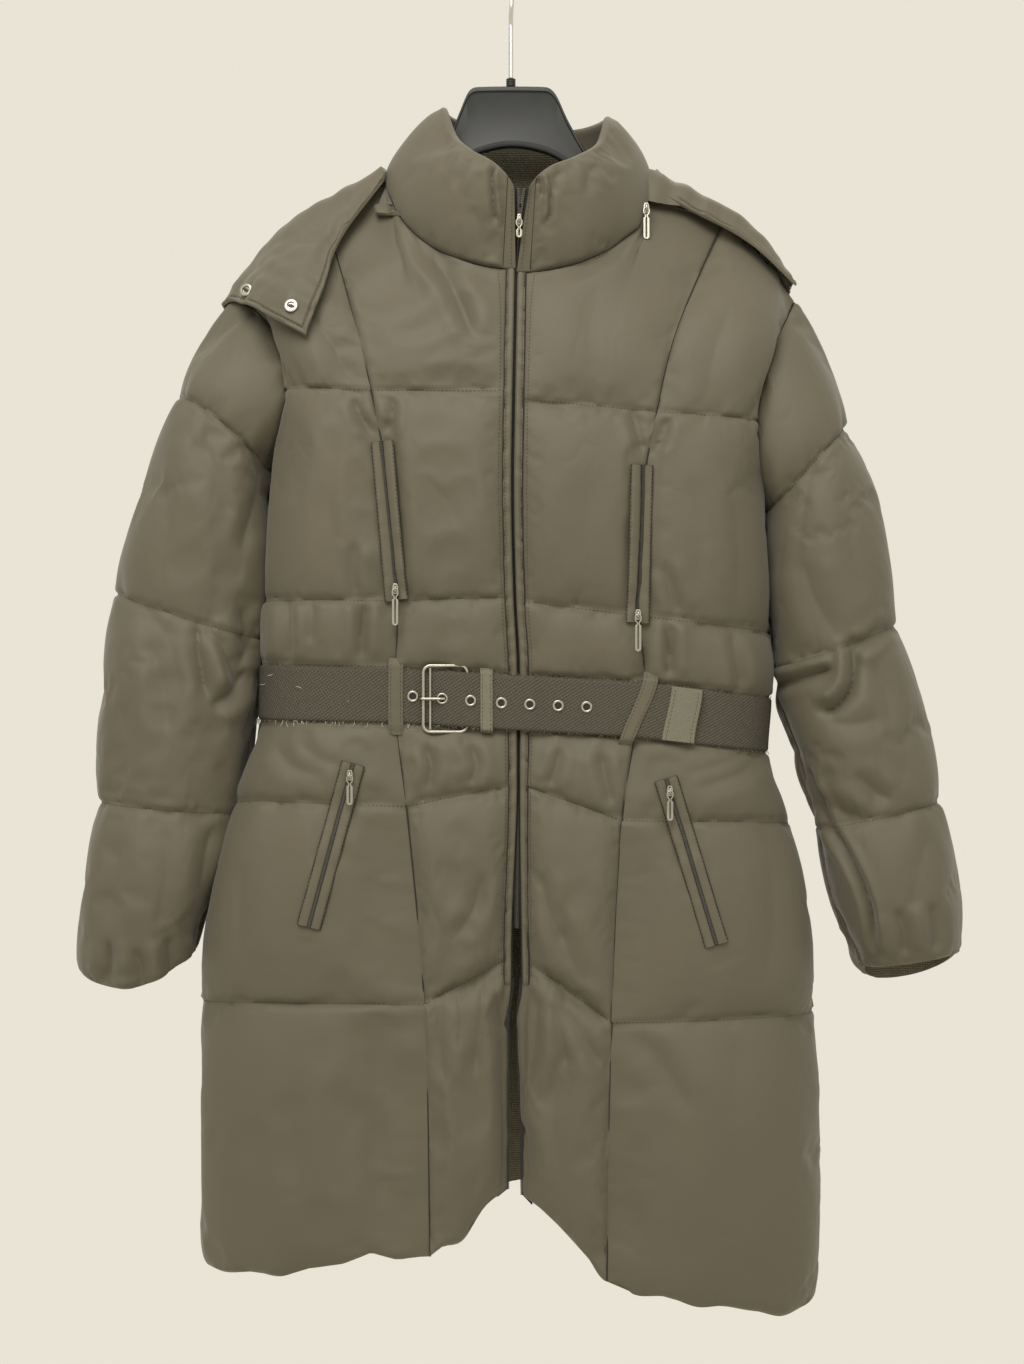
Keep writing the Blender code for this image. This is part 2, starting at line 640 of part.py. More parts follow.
def sleeve_outer(side, turn, level):
    """A point of the quilted outside of a sleeve."""
    rings = SLEEVE[side]
    stops = [0.0] + [i + 1.0 for i, ring in enumerate(rings) if ring.stitched]
    cell = max(i for i, stop in enumerate(stops[:-1]) if level >= stop)
    share = (level - stops[cell]) / (stops[cell + 1] - stops[cell])
    if turn <= INNER_SEAM:
        span = (turn - (BACK_SEAM - SLEEVE_TURN)) / (INNER_SEAM + SLEEVE_TURN - BACK_SEAM)
        across = swell(span, 6.0) * (1.0 - (max(span - 0.6, 0.0) / 0.4) ** 2)
    else:
        across = 0.7 * swell((turn - INNER_SEAM) / (BACK_SEAM - INNER_SEAM), 3.0)
    height = SLEEVE_CROWN * swell(share, 2.4) * max(across, 0.0)
    point = sleeve_base(side, turn, level)
    if height <= 0.0:
        return point
    step = 0.05
    turned = sleeve_base(side, turn + step, level) - sleeve_base(side, turn - step, level)
    last = float(len(rings))
    down = sleeve_base(side, turn, min(level + step, last)) - sleeve_base(side, turn, max(level - step, 0.0))
    normal = turned.cross(down).normalized()
    middle = (sleeve_base(side, 0.0, level) + sleeve_base(side, INNER_SEAM, level)) * 0.5
    if normal.dot(point - middle) < 0:
        normal = -normal
    return point + normal * height


def add_sleeves():
    """Both sleeves, each an upper and an under piece."""
    levels = [0.0]
    for index, steps in enumerate(SLEEVE_ROWS):
        levels.extend(index + (step + 1) / steps for step in range(steps))
    made = []
    upper = [float(i) for i in range(BACK_SEAM - SLEEVE_TURN, INNER_SEAM + 1)]
    under = [float(i) for i in range(INNER_SEAM, BACK_SEAM + 1)]
    for columns in (upper, under):
        columns[0] += SEAM_TURN
        columns[-1] -= SEAM_TURN
    for side in SIDES:
        for name, columns in (("upper", upper), ("under", under)):
            made.append(wall(
                f"sleeve_{name}_{side}", columns, levels,
                lambda c, r, s=side: sleeve_outer(s, c, r),
                lambda c, r, s=side: sleeve_base(s, c, r, WALL),
                "shell"))
    return made


def collar_columns():
    """The collar's columns: they meet the fronts' and the back's own columns at the neck."""
    front = [column / NECK * 0.3 for column in CENTRE_COLUMNS if column <= NECK]
    back = [0.5 + column / BACK_NECK * 0.2 for column in BACK_COLUMNS if abs(column) <= BACK_NECK]
    return tuple(front + back[1:-1] + [1.0 - share for share in reversed(front)])


def neck_edge(share):
    """The point of the neck's edge that a share of the collar stands on, and its outward direction."""
    if share <= 0.3:
        point = shoulder_key("front", "right", share / 0.3 * NECK, 0.0)
    elif share >= 0.7:
        point = shoulder_key("front", "left", (1.0 - share) / 0.3 * NECK, 0.0)
    else:
        column = (share - 0.5) / 0.2 * BACK_NECK
        point = shoulder_key("back", "right" if column < 0 else "left", abs(column), 0.0)
    angle = share * math.tau
    return point, Vector((-math.sin(angle), -math.cos(angle), 0.0))


def collar_base(share, rise, inset):
    """A point of the collar's wall; rise runs 0 at the neck seam to 1 at the top."""
    low, outward = neck_edge(share)
    low = low + Vector((0.0, 0.0, 0.0009)) - outward * inset
    tops = [Vector((top.x, top.y, top.z)) for top in COLLAR_TOP]
    high = along_curve(tops, [top.share for top in COLLAR_TOP], share) - outward * inset
    return mix(low, high, rise)


def collar_outer(share, rise):
    """The collar's padded outside."""
    outward = neck_edge(share)[1]
    ends = swell(max(0.0, min(1.0, (share - 0.04) / 0.92)), 6.0)
    height = COLLAR_CROWN * max(swell(rise, 2.2), 0.0) * max(ends, 0.0)
    return collar_base(share, rise, 0.0) + outward * height


def add_collar():
    """The stand collar, open at the front and at the top."""
    return wall("collar", collar_columns(), COLLAR_ROWS, collar_outer,
                lambda share, rise: collar_base(share, rise, COLLAR_PAD), "shell")


def add_neck_lining():
    """The lining that shows inside the back of the neck."""
    def lined(depth):
        return lambda c, r: body_base("back", "right" if c < 0 else "left", abs(c), r, depth)

    columns = tuple(column for column in BACK_COLUMNS if abs(column) <= 1.0)
    rows = tuple(row for row in level_rows() if 7.9 <= row < 8.9)
    return wall("neck_lining", columns, rows, lined(WALL + LAY), lined(WALL + LAY + 0.0014), "lining")


def add_zip_edges():
    """The bands that cover the zip's edges, and the tapes behind them."""
    rows = level_rows()
    for side, sign in SIDES.items():
        wall(f"placket_{side}", (0.006, BAND * 0.93), rows,
             lambda c, r, s=side: body_outer("front", s, c, r, LAY + PLACKET_THICKNESS),
             lambda c, r, s=side: body_outer("front", s, c, r, LAY), "shell")

        def tape(c, r, s=side, direction=sign, depth=0.0):
            point = body_base("front", s, max(c, 0.0), r, WALL + LAY * 1.5 + depth)
            if c < 0.0:
                open_part = max(0.0, min(1.0, (1.1 - r) / 0.3))
                point.x -= direction * mix(0.0001, 0.0032, open_part)
            return point

        wall(f"zip_tape_{side}", (-0.1, 0.12), rows, tape,
             lambda c, r, t=tape: t(c, r, depth=0.0010), "tape")

    def chain(depth):
        def point(c, r):
            right = body_base("front", "right", 0.0, r, WALL + LAY * 2.6 + 0.0010 + depth)
            left = body_base("front", "left", 0.0, r, WALL + LAY * 2.6 + 0.0010 + depth)
            middle = (right + left) * 0.5
            middle.x += c
            return middle
        return point

    closed = tuple(row for row in rows if 1.15 <= row <= 8.8)
    wall("zip_chain", (-0.0028, 0.0028), closed, chain(0.0), chain(0.0018), "tape")


def collar_gap(rise):
    """The inside of the collar's two front edges at a height, and the width between them."""
    right = collar_base(0.0, rise, COLLAR_PAD)
    left = collar_base(1.0, rise, COLLAR_PAD)
    return right, left, left.x - right.x


def add_collar_zip():
    """The zip's tapes up the collar's front edges, and the closed chain below the slider."""
    rises = (0.03, 0.25, 0.5, 0.75, 0.97)
    for side, sign in SIDES.items():
        def tape(c, r, depth=0.0, s=side, direction=sign):
            hidden = TAPE_HIDDEN * max(c, 0.0)
            share = hidden if s == "right" else 1.0 - hidden
            point = collar_base(share, r, COLLAR_PAD + LAY * 1.5 + depth)
            showing = min(TAPE_SHOWING, 0.5 * collar_gap(r)[2] - 0.0004)
            point.x -= direction * showing * max(-c, 0.0)
            return point

        wall(f"collar_tape_{side}", (-1.0, 0.0, 1.0), rises, tape, lambda c, r, t=tape: t(c, r, 0.0010), "tape")

    def chain(c, r, depth):
        right, left, _ = collar_gap(r)
        middle = (right + left) * 0.5
        return Vector((middle.x + c, max(right.y, left.y) + LAY * 2.6 + 0.0010 + depth, middle.z))

    wall("collar_chain", (-0.0028, 0.0028), (0.05, 0.25, 0.48), lambda c, r: chain(c, r, 0.0),
         lambda c, r: chain(c, r, 0.0018), "tape")


def on_tab(side, place, turn, lift):
    """A point over the shoulder; turn is 0 at the tab's front edge and 1 at its back edge."""
    rows = TABS[side]
    at = place * (len(rows) - 1)
    places = list(range(len(rows)))
    ridge = along_curve([Vector((row.ridge_x, 0.0, row.ridge_z)) for row in rows], places, at)
    front = along_curve([Vector((row.front_x, row.front_y, row.front_z)) for row in rows], places, at)
    back_turn = math.radians(along_curve([float(row.back_turn) for row in rows], places, at))
    axis = ridge + Vector((-SIDES[side] * 0.02, 0.0, -0.055))
    start = front - axis
    up = ridge - axis
    start_angle = math.atan2(-start.y, start.z)

    def direction_at(share):
        angle = mix(start_angle, -back_turn, share)
        lean = mix(start.x, up.x, max(0.0, min(1.0, share * 1.6)))
        return Vector((lean, -math.sin(angle) * 0.06, math.cos(angle) * 0.06)).normalized()

    reach = max(reach_over(axis, direction_at(min(turn + step, 1.0))) for step in TAB_REACH)
    return axis + direction_at(turn) * (reach + lift)


def reach_over(axis, direction):
    """How far the cloth lies from an axis in the shoulder, along a direction."""
    found = []
    for aside in (-3 * SEAM, 3 * SEAM):
        hit = shoulder_tree.ray_cast(axis + direction * 0.4 + Vector((0.0, aside, 0.0)), -direction)
        if hit[0] is not None:
            found.append((hit[0] - axis).length)
    return max(found)


def add_hood_tabs():
    """The hood's two front ends, draped over the shoulders."""
    made = []
    for side in SIDES:
        made.append(wall(
            f"hood_tab_{side}", even(9), even(8),
            lambda p, t, s=side: on_tab(s, p, t, TAB_LAY + TAB_THICKNESS),
            lambda p, t, s=side: on_tab(s, p, t, TAB_LAY), "shell"))
    return made


def behind(x, z):
    """The y of the back's outside at a place."""
    hit = back_tree.ray_cast(Vector((x, 1.0, z)), Vector((0.0, -1.0, 0.0)))
    return hit[0].y if hit[0] is not None else 0.0


def hood_point(turn, drop, inset):
    """A point of the hood bag; turn goes once round from the right end over the outside."""
    angle = turn * math.tau
    half = HOOD_HALF_WIDTH * (1.0 - 0.30 * drop ** 1.6) - inset
    x = -half * math.cos(angle) + 0.006
    mouth = HOOD_TOP - 0.030 * max(math.sin(angle), 0.0) - 0.060 * abs(math.cos(angle)) ** 3
    z = mix(mouth, HOOD_BOTTOM + 0.045 * abs(math.cos(angle)) ** 2, drop)
    if drop == 1.0:
        z += inset
    near = HOOD_LAY + max(behind(x + dx, z + dz) for dx in (-0.012, 0.0, 0.012)
                          for dz in (-0.024, -0.012, 0.0, 0.012, 0.024))
    full = HOOD_DEPTH * max(0.0, 1.0 - drop ** 2.2) ** 0.7 * (0.55 + 0.45 * math.sin(drop * math.pi))
    side_full = abs(math.sin(angle)) ** 0.75
    far = near + full * side_full
    if drop == 1.0:
        return Vector((x, near + inset * 0.5, z))
    if math.sin(angle) > 0.0001:
        return Vector((x, max(far - inset, mix(near, far, 0.5)), z))
    if math.sin(angle) < -0.0001:
        return Vector((x, near + min(inset, 0.5 * (full * side_full)), z))
    return Vector((x, near + inset * 0.5, z))


def add_hood():
    """The hood, a flattened bag behind the back with its mouth open upwards."""
    return wall("hood", even(HOOD_TURN), HOOD_ROWS, lambda t, d: hood_point(t, d, 0.0),
                lambda t, d: hood_point(t, d, HOOD_WALL), "shell", roll=True)


# ---------------------------------------------------------------- pockets and zips


def pocket_point(pocket, share, across, lift):
    """A point over a pocket's slit, seen from the front, lifted off the cloth."""
    top = Vector((pocket.top_x, pocket.top_z))
    bottom = Vector((pocket.bottom_x, pocket.bottom_z))
    down = (bottom - top).normalized()
    side = Vector((-down.y, down.x))
    place = mix(top, bottom, share) + side * across * pocket.half_width
    nearest = min(front_y(place.x + dx, place.y + dz) for dx in (-0.006, 0.0, 0.006)
                  for dz in (-0.009, 0.0, 0.009))
    return Vector((place.x, nearest - lift, place.y))


def add_welts():
    """The four zipped pockets' welts, each a pair of lips with the closed zip between them."""
    made = []
    for name, pocket in POCKETS.items():
        lifts = dict(zip(WELT_SHARES, WELT_LIFTS))
        made.append(wall(
            f"{name}_welt", WELT_SHARES, even(10),
            lambda c, r, p=pocket, t=lifts: pocket_point(p, r, c, WELT_LAY + t[min(t, key=lambda k: abs(k - c))]),
            lambda c, r, p=pocket: pocket_point(p, r, c, WELT_LAY), "shell"))
    return made


def add_box(name, centre, size, material, bevel):
    """A bevelled block as an object."""
    bpy.ops.mesh.primitive_cube_add(size=1.0, location=centre)
    block = bpy.context.active_object
    block.name = name
    for collection in list(block.users_collection):
        collection.objects.unlink(block)
    parts.objects.link(block)
    block.data.transform(Matrix.Diagonal((*size, 1.0)))
    block.data.materials.append(materials[material])
    rounding = block.modifiers.new("edges", "BEVEL")
    rounding.width = bevel
    rounding.segments = 1
    return block


def add_ring(name, centre, radius, wire, axis, material, turns=16, sides=6, collection=None):
    """A torus as an object, its axis along X or Y."""
    rotation = {"X": (0.0, math.pi / 2, 0.0), "Y": (math.pi / 2, 0.0, 0.0), "Z": (0.0, 0.0, 0.0)}[axis]
    bpy.ops.mesh.primitive_torus_add(location=centre, rotation=rotation, major_segments=turns,
                                     minor_segments=sides, major_radius=radius, minor_radius=wire)
    ring = bpy.context.active_object
    ring.name = name
    for owner in list(ring.users_collection):
        owner.objects.unlink(ring)
    (collection or parts).objects.link(ring)
    ring.data.materials.append(materials[material])
    ring.data.shade_smooth()
    return ring


def pull_outline(length):
    """The outline of a pull tab, and of the slot that its bridge runs through."""
    half = PULL_WIDTH / 2
    top = PULL_THICKNESS / 2
    outline = [(-half, top), (-half, -0.0050), (-half * 0.62, -0.0075), (-half, -0.0100),
               (-half, -length + 0.0015), (-half * 0.6, -length), (half * 0.6, -length),
               (half, -length + 0.0015), (half, -0.0100), (half * 0.62, -0.0075), (half, -0.0050),
               (half, top)]
    slot_half = 0.0012
    slot = [(-slot_half, -top), (slot_half, -top), (slot_half, -0.0038), (-slot_half, -0.0038)]
    return outline, slot


def add_pull(name, pivot, length, tilt):
    """A flat pull tab that lies out from its top bar; its origin is on the bar's axis."""
    curve = bpy.data.curves.new(name, "CURVE")
    curve.dimensions = "2D"
    curve.fill_mode = "BOTH"
    curve.extrude = PULL_THICKNESS / 2
    for points in pull_outline(length):
        spline = curve.splines.new("POLY")
        spline.points.add(len(points) - 1)
        for point, (x, y) in zip(spline.points, points):
            point.co = (x, y, 0.0, 1.0)
        spline.use_cyclic_u = True
    curve.materials.append(materials["nickel"])
    pull = bpy.data.objects.new(name, curve)
    pull.rotation_euler = (math.pi / 2 - tilt, 0.0, 0.0)
    pull.location = pivot
    parts.objects.link(pull)
    return pull


def add_zip_slider(name, x, z, seat_y, face_y, length, tilt=0.0, width=0.0066, height=0.009):
    """A slider from its seat out to its face, with the bridge that holds its pull."""
    body = add_box(f"{name}_slider", (x, 0.5 * (seat_y + face_y), z), (width, seat_y - face_y, height),
                   "nickel", 0.0007)
    pivot = Vector((x, face_y - BRIDGE_RADIUS * 0.9, z))
    bridge = add_ring(f"{name}_bridge", pivot, BRIDGE_RADIUS, BRIDGE_WIRE, "X", "nickel",
                      turns=12, sides=5, collection=helpers)
    bridge.hide_render = True
    bridge.display_type = "WIRE"
    join = body.modifiers.new("bridge", "BOOLEAN")
    join.operation = "UNION"
    join.object = bridge
    add_pull(f"{name}_pull", pivot, length, tilt)


def hang_clear(x, z, length):
    """The furthest forward that the cloth comes behind a pull hanging from a place."""
    return min(front_y(x + dx, z - dz * length) for dx in (-0.0025, 0.0025) for dz in (0.2, 0.4, 0.6, 0.8, 1.0))


def add_zips():
    """A slider and a pull on each pocket's zip, at the collar and on the hood's zip."""
    for name, pocket in POCKETS.items():
        place = pocket_point(pocket, pocket.slider_at, 0.0, 0.0)
        seat = min(pocket_point(pocket, pocket.slider_at + ds, da, 0.0).y
                   for ds in (-0.03, 0.03) for da in (-0.35, 0.35)) - WELT_LAY - 0.0032
        clear = hang_clear(place.x, place.z, PULL_LENGTH)
        face = min(seat - 0.0024, clear - 0.0016 + BRIDGE_RADIUS)
        add_zip_slider(name, place.x, place.z, seat, face, PULL_LENGTH)
    right, left, width = collar_gap(COLLAR_SLIDER_RISE)
    seat = min(edge.y for edge in collar_gap(COLLAR_SLIDER_RISE + 0.08)[:2]) + LAY * 0.8
    face = min(right.y, left.y) - COLLAR_PAD - 0.0006
    add_zip_slider("centre", 0.5 * (right.x + left.x), right.z, seat, face, 0.016, width=width - 0.0024)
    x, z = HOOD_SLIDER
    seat = hang_clear(x, z + 0.006, 0.012) - 0.0006
    low = hang_clear(x, z, 0.028)
    face = seat - 0.003
    tilt = math.atan2(max(face - low, 0.0) + 0.001, 0.028)
    add_zip_slider("hood_zip", x, z, seat, face, 0.028, tilt=tilt)


# ---------------------------------------------------------------- belt


def column_at(x, level):
    """The front's side and column at an x, on one level."""
    side = "right" if x < body_base("front", "right", 0.0, level).x else "left"
    low, high = 0.0, 2.0
    for _ in range(40):
        middle = (low + high) / 2
        if abs(body_base("front", side, middle, level).x - 0.0) < abs(x):
            low = middle
        else:
            high = middle
    return side, low


def belt_walk():
    """Every column that the belt passes, from its buckle end once round to its tip.

    A place counts 0 at the left zip edge, 2 at the left side, 4 at the middle of the back,
    6 at the right side, 8 at the right zip edge and on over the left front.
    """
    start = -column_at(BELT_START, 3.5)[1]
    tip = 8.0 + column_at(BELT_TIP, 3.5)[1]
    front = [c for c in CENTRE_COLUMNS if c > 0.0] + [c for c in SIDE_COLUMNS if c > 1.0]
    places = [start] + [-c for c in reversed(front) if 0.0 < c < -start] + [0.0] + front
    places += [4.0 + c for c in BACK_COLUMNS[1:]]
    places += [8.0 - c for c in reversed(front)][1:] + [8.0]
    places += [8.0 + c for c in front if 8.0 + c < tip] + [tip]
    return places


def belt_point(place, share, lift):
    """A point over the waist; share runs 0 at the belt's lower edge to 1 at its upper edge."""
    level = BELT_LOW + share
    if place < 0.0:
        return body_outer("front", "right", -place, level, lift)
    if place <= 2.0:
        return body_outer("front", "left", place, level, lift)
    if place <= 6.0:
        column = place - 4.0
        return body_outer("back", "left" if column < 0 else "right", abs(column), level, lift)
    if place <= 8.0:
        return body_outer("front", "right", 8.0 - place, level, lift)
    return body_outer("front", "left", place - 8.0, level, lift)


def belt_lift(place, x):
    """How far the belt's inside lies off the waist at a place."""
    over_band = max(0.0, min(1.0, 1.0 - (abs(x - 0.0055) - 0.0115) / 0.010)) * PLACKET_THICKNESS
    if 2.0 < place < 6.0:
        return BELT_LAY
    if place <= 2.0:
        return BELT_LAY + over_band
    rise = max(0.0, min(1.0, (x - BUCKLE_X[0] - 0.004) / 0.024))
    hump = max(0.0, 1.0 - abs(x - BUCKLE_X[1]) / 0.028)
    return BELT_LAY + BELT_OVER * rise * rise * (3 - 2 * rise) + 0.0013 * hump + over_band


def strap_top(x):
    """The lift of the outside of the belt at an x on its outer layer."""
    return belt_lift(8.0, x) + BELT_THICKNESS


def add_belt():
    """The webbing belt: one strap from its buckle end round the back to its tip."""
    def layer(extra):
        def point(place, share):
            x = belt_point(place, 0.5, 0.0).x
            return belt_point(place, share, belt_lift(place, x) + extra)
        return point

    return wall("belt", belt_walk(), (0.03, 0.97), layer(BELT_THICKNESS), layer(0.0), "webbing")


def waist_point(x, share, lift):
    """A point over the front of the waist at an x."""
    side, column = column_at(x, BELT_LOW + 0.5)
    return body_outer("front", side, column, BELT_LOW + share, lift)


def add_band_over_belt(name, top_x, bottom_x, width, lift, thickness, reach, material):
    """A narrow band that crosses the belt and dips to the cloth above and below it."""
    shares = (-reach, -0.5 * reach, 0.0, 0.5, 1.0, 1.0 + 0.5 * reach, 1.0 + reach)
    drop = (1.0, 0.55, 0.0, 0.0, 0.0, 0.55, 1.0)
    lifts = dict(zip(shares, drop))

    def point(c, r, extra):
        share = min(shares, key=lambda s: abs(s - r))
        x = mix(bottom_x, top_x, r) + c * width / 2
        height = mix(lift, BELT_LAY + LAY, lifts[share]) + extra
        return waist_point(x, r, height)

    return wall(name, (-1.0, 1.0), shares, lambda c, r: point(c, r, thickness),
                lambda c, r: point(c, r, 0.0), material)


def add_belt_trim():
    """Loops, keeper, tip binding, eyelets, buckle frame and prong."""
    gap = 0.0006
    add_band_over_belt("belt_loop_right", -0.098, -0.099, 0.0115, BELT_LAY + BELT_THICKNESS + gap,
                       0.0014, 0.13, "shell")
    add_band_over_belt("belt_loop_left", 0.113, 0.103, 0.0115, strap_top(0.108) + gap, 0.0014, 0.13,
                       "shell")
    add_band_over_belt("belt_keeper", -0.0215, -0.0215, 0.0105, strap_top(-0.0215) + gap, 0.0014, 0.05,
                       "ribbon")
    tip_lift = strap_top(0.143) + 0.0004
    wall("belt_tip_binding", (0.131, 0.144, 0.1565), (0.04, 0.5, 0.96),
         lambda x, r: waist_point(x, r, tip_lift + 0.0008),
         lambda x, r: waist_point(x, r, tip_lift), "ribbon")
    for number, x in enumerate(EYELETS_X):
        lift = (BELT_LAY + BELT_THICKNESS if x < BUCKLE_X[0] else strap_top(x)) + EYELET_WIRE + 0.0008
        centre = waist_point(x, 0.5, lift)
        add_ring(f"eyelet_{number + 1}", centre, EYELET_RADIUS, EYELET_WIRE, "Y", "nickel", 10, 4)
    add_buckle()


def add_buckle():
    """The rectangular wire frame and its prong."""
    left, right = BUCKLE_X
    left_lift = strap_top(left) + BUCKLE_WIRE + 0.0007
    right_lift = BELT_LAY + BUCKLE_WIRE + 0.0006
    middle = waist_point(0.5 * (left + right), 0.5, 0.0)
    left_y = waist_point(left, 0.5, left_lift).y
    right_y = waist_point(right, 0.5, right_lift).y
    corner = 0.006
    points = []
    for centre_x, sign_x, y in ((left, 1, left_y), (right, -1, right_y)):
        for sign_z in ((1, -1) if sign_x < 0 else (-1, 1)):
            for step in range(4):
                turn = step / 3 * math.pi / 2
                if (sign_x > 0) != (sign_z > 0):
                    turn = math.pi / 2 - turn
                x = centre_x + sign_x * corner * (1 - math.cos(turn))
                z = middle.z + sign_z * (BUCKLE_HALF_HEIGHT - corner * (1 - math.sin(turn)))
                share = (x - left) / (right - left)
                points.append(Vector((x, mix(left_y, right_y, share), z)))
    add_wire("buckle_frame", points, BUCKLE_WIRE, "nickel", cyclic=True)
    prong_y = waist_point(left, 0.5, left_lift + BUCKLE_WIRE + 0.0013 + 0.0003).y
    tip_y = waist_point(EYELETS_X[1], 0.5, strap_top(EYELETS_X[1]) + 2 * EYELET_WIRE + 0.0024).y
    add_wire("buckle_prong", [Vector((left - 0.002, prong_y + 0.0004, middle.z)),
                              Vector((left + 0.003, prong_y, middle.z)),
                              Vector((left + 0.010, mix(prong_y, tip_y, 0.7), middle.z)),
                              Vector((EYELETS_X[1] + 0.002, tip_y, middle.z))], 0.0012, "nickel")


def add_wire(name, points, radius, material, cyclic=False):
    """A round wire through points, as a curve with a bevel."""
    curve = bpy.data.curves.new(name, "CURVE")
    curve.dimensions = "3D"
    curve.bevel_depth = radius
    curve.bevel_resolution = 1
    curve.use_fill_caps = not cyclic
    spline = curve.splines.new("POLY")
    spline.points.add(len(points) - 1)
    for point, place in zip(spline.points, points):
        point.co = (*place, 1.0)
    spline.use_cyclic_u = cyclic
    curve.materials.append(materials[material])
    wire = bpy.data.objects.new(name, curve)
    parts.objects.link(wire)
    return wire


# ---------------------------------------------------------------- hanger


def hanger_ring(x, top, bottom, half_depth):
    """An upright rounded section of the hanger at an x."""
    ring = []
    count = 12
    for step in range(count):
        angle = step / count * math.tau
        z = mix(bottom, top, 0.5 + 0.5 * math.copysign(abs(math.sin(angle)) ** 0.7, math.sin(angle)))
        y = half_depth * math.copysign(abs(math.cos(angle)) ** 0.7, math.cos(angle))
        ring.append(Vector((x, y, z)))
    return ring


def clear_of_walls(point):
    """Whether a point of the hanger lies between the front's and the back's insides."""
    for sign in FACES.values():
        start = Vector((point.x, 0.0, point.z))
        hit = body_tree.ray_cast(start, Vector((0.0, sign, 0.0)), 0.3)
        if hit[0] is not None and abs(hit[0].y) < abs(point.y) + ARM_CLEAR:
            return False
    return True


def arm_station(side, x, half_depth):
    """An arm's section at an x, as high as the shoulder lets it lie."""
    row = BODY[side][SHOULDER]
    neck_x, neck_z = NECK_SIDE[side]
    if abs(x) < abs(row.princess_x):
        ridge = mix(neck_z, row.princess_z, (x - neck_x) / (row.princess_x - neck_x))
    else:
        share = (x - row.princess_x) / (row.side_x - row.princess_x)
        ridge = mix(row.princess_z, row.side_z, share) - row.sag * math.sin(share * math.pi)
    drop = RIDGE * WALL
    while True:
        top = ridge - drop
        ring = hanger_ring(x, top, top - ARM_HEIGHT, half_depth)
        if all(clear_of_walls(point) for point in ring):
            return Station(x, top, top - ARM_HEIGHT, half_depth)
        drop += 0.0003


def add_hanger():
    """The plastic shoulder, its hook socket and the wire hook."""
    arms = {side: [arm_station(side, x, depth) for x, depth in zip(ARM_REACH[side], ARM_DEPTH)]
            for side in SIDES}
    stations = list(reversed(arms["right"])) + list(HANGER_NECK) + arms["left"]
    loft("hanger_shoulder", [hanger_ring(*station) for station in stations], "hanger_plastic")
    bpy.ops.mesh.primitive_cylinder_add(vertices=16, radius=SOCKET_RADIUS, depth=0.0072,
                                        location=(-0.001, 0.0, -0.1075))
    socket = bpy.context.active_object
    socket.name = "hook_socket"
    for owner in list(socket.users_collection):
        owner.objects.unlink(socket)
    parts.objects.link(socket)
    socket.data.materials.append(materials["hanger_plastic"])
    radius = HOOK_INSIDE + WIRE
    stem = [Vector((-0.001, 0.0, z)) for z in (-0.1035, -0.085, -0.072, -0.060)]
    neck = [Vector((-0.001, 0.006, -0.050)), Vector((-0.0005, 0.014, -0.038))]
    arc = []
    for step in range(15):
        angle = math.radians(mix(-28.0, 180.0, step / 14))
        arc.append(Vector((0.0, radius * math.cos(angle), -HOOK_INSIDE + radius * math.sin(angle))))
    tip = [Vector((0.001, -radius + 0.001, -0.027)), Vector((0.002, -radius - 0.001, -0.036))]
    hook = add_wire("hanger_hook", stem + neck + arc + tip, WIRE, "hook_steel")
    hook.data.bevel_resolution = 2


# ---------------------------------------------------------------- small fittings


def add_snaps():
    """Two press studs on the right hood tab."""
    for number, (place, turn) in enumerate(SNAPS):
        ring = add_ring(f"hood_snap_{number + 1}", (0.0, 0.0, 0.0), 0.0046, 0.0016, "Z", "nickel")
        outside = TAB_LAY + TAB_THICKNESS
        centre = on_tab("right", place, turn, outside)
        along = on_tab("right", place + 0.03, turn, outside) - on_tab("right", place - 0.03, turn, outside)
        across = on_tab("right", place, turn + 0.05, outside) - on_tab("right", place, turn - 0.05, outside)
        normal = along.cross(across).normalized()
        normal = normal if normal.y < 0 else -normal
        ring.data.transform(Matrix.Diagonal((1.0, 1.0, 0.55, 1.0)))
        ring.data.transform(Vector((0.0, 0.0, 1.0)).rotation_difference(normal).to_matrix().to_4x4())
        ring.data.transform(Matrix.Translation(centre + normal * 0.0013))


clear_scene()
parts = new_collection(OBJECT_NAME)
helpers = new_collection("joined_helpers")
materials = {name: make_material(name) for name in COLOURS}

body = add_body()
sleeves = add_sleeves()
collar = add_collar()
add_neck_lining()
add_zip_edges()
add_collar_zip()
body_tree = tree_of(body)
back_tree = tree_of(body[-1:])
front_tree = tree_of(body[:-1] + sleeves + [collar])
shoulder_tree = tree_of(body + sleeves)
add_hood_tabs()
add_hood()
add_welts()
add_zips()
add_belt()
add_belt_trim()
add_hanger()
add_snaps()
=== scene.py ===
"""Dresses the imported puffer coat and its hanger: padded quilting, stitching, zips, belt and hardware.

Units are metres, +Z is up and the coat's front faces -Y.  Left and right are the wearer's.
"""

from __future__ import annotations

import json
import logging
import math
from dataclasses import dataclass, field, replace
from enum import Enum
from typing import Callable, Iterable, Sequence

import bmesh
import bpy
import numpy as np
from mathutils import Matrix, Vector
from mathutils.bvhtree import BVHTree

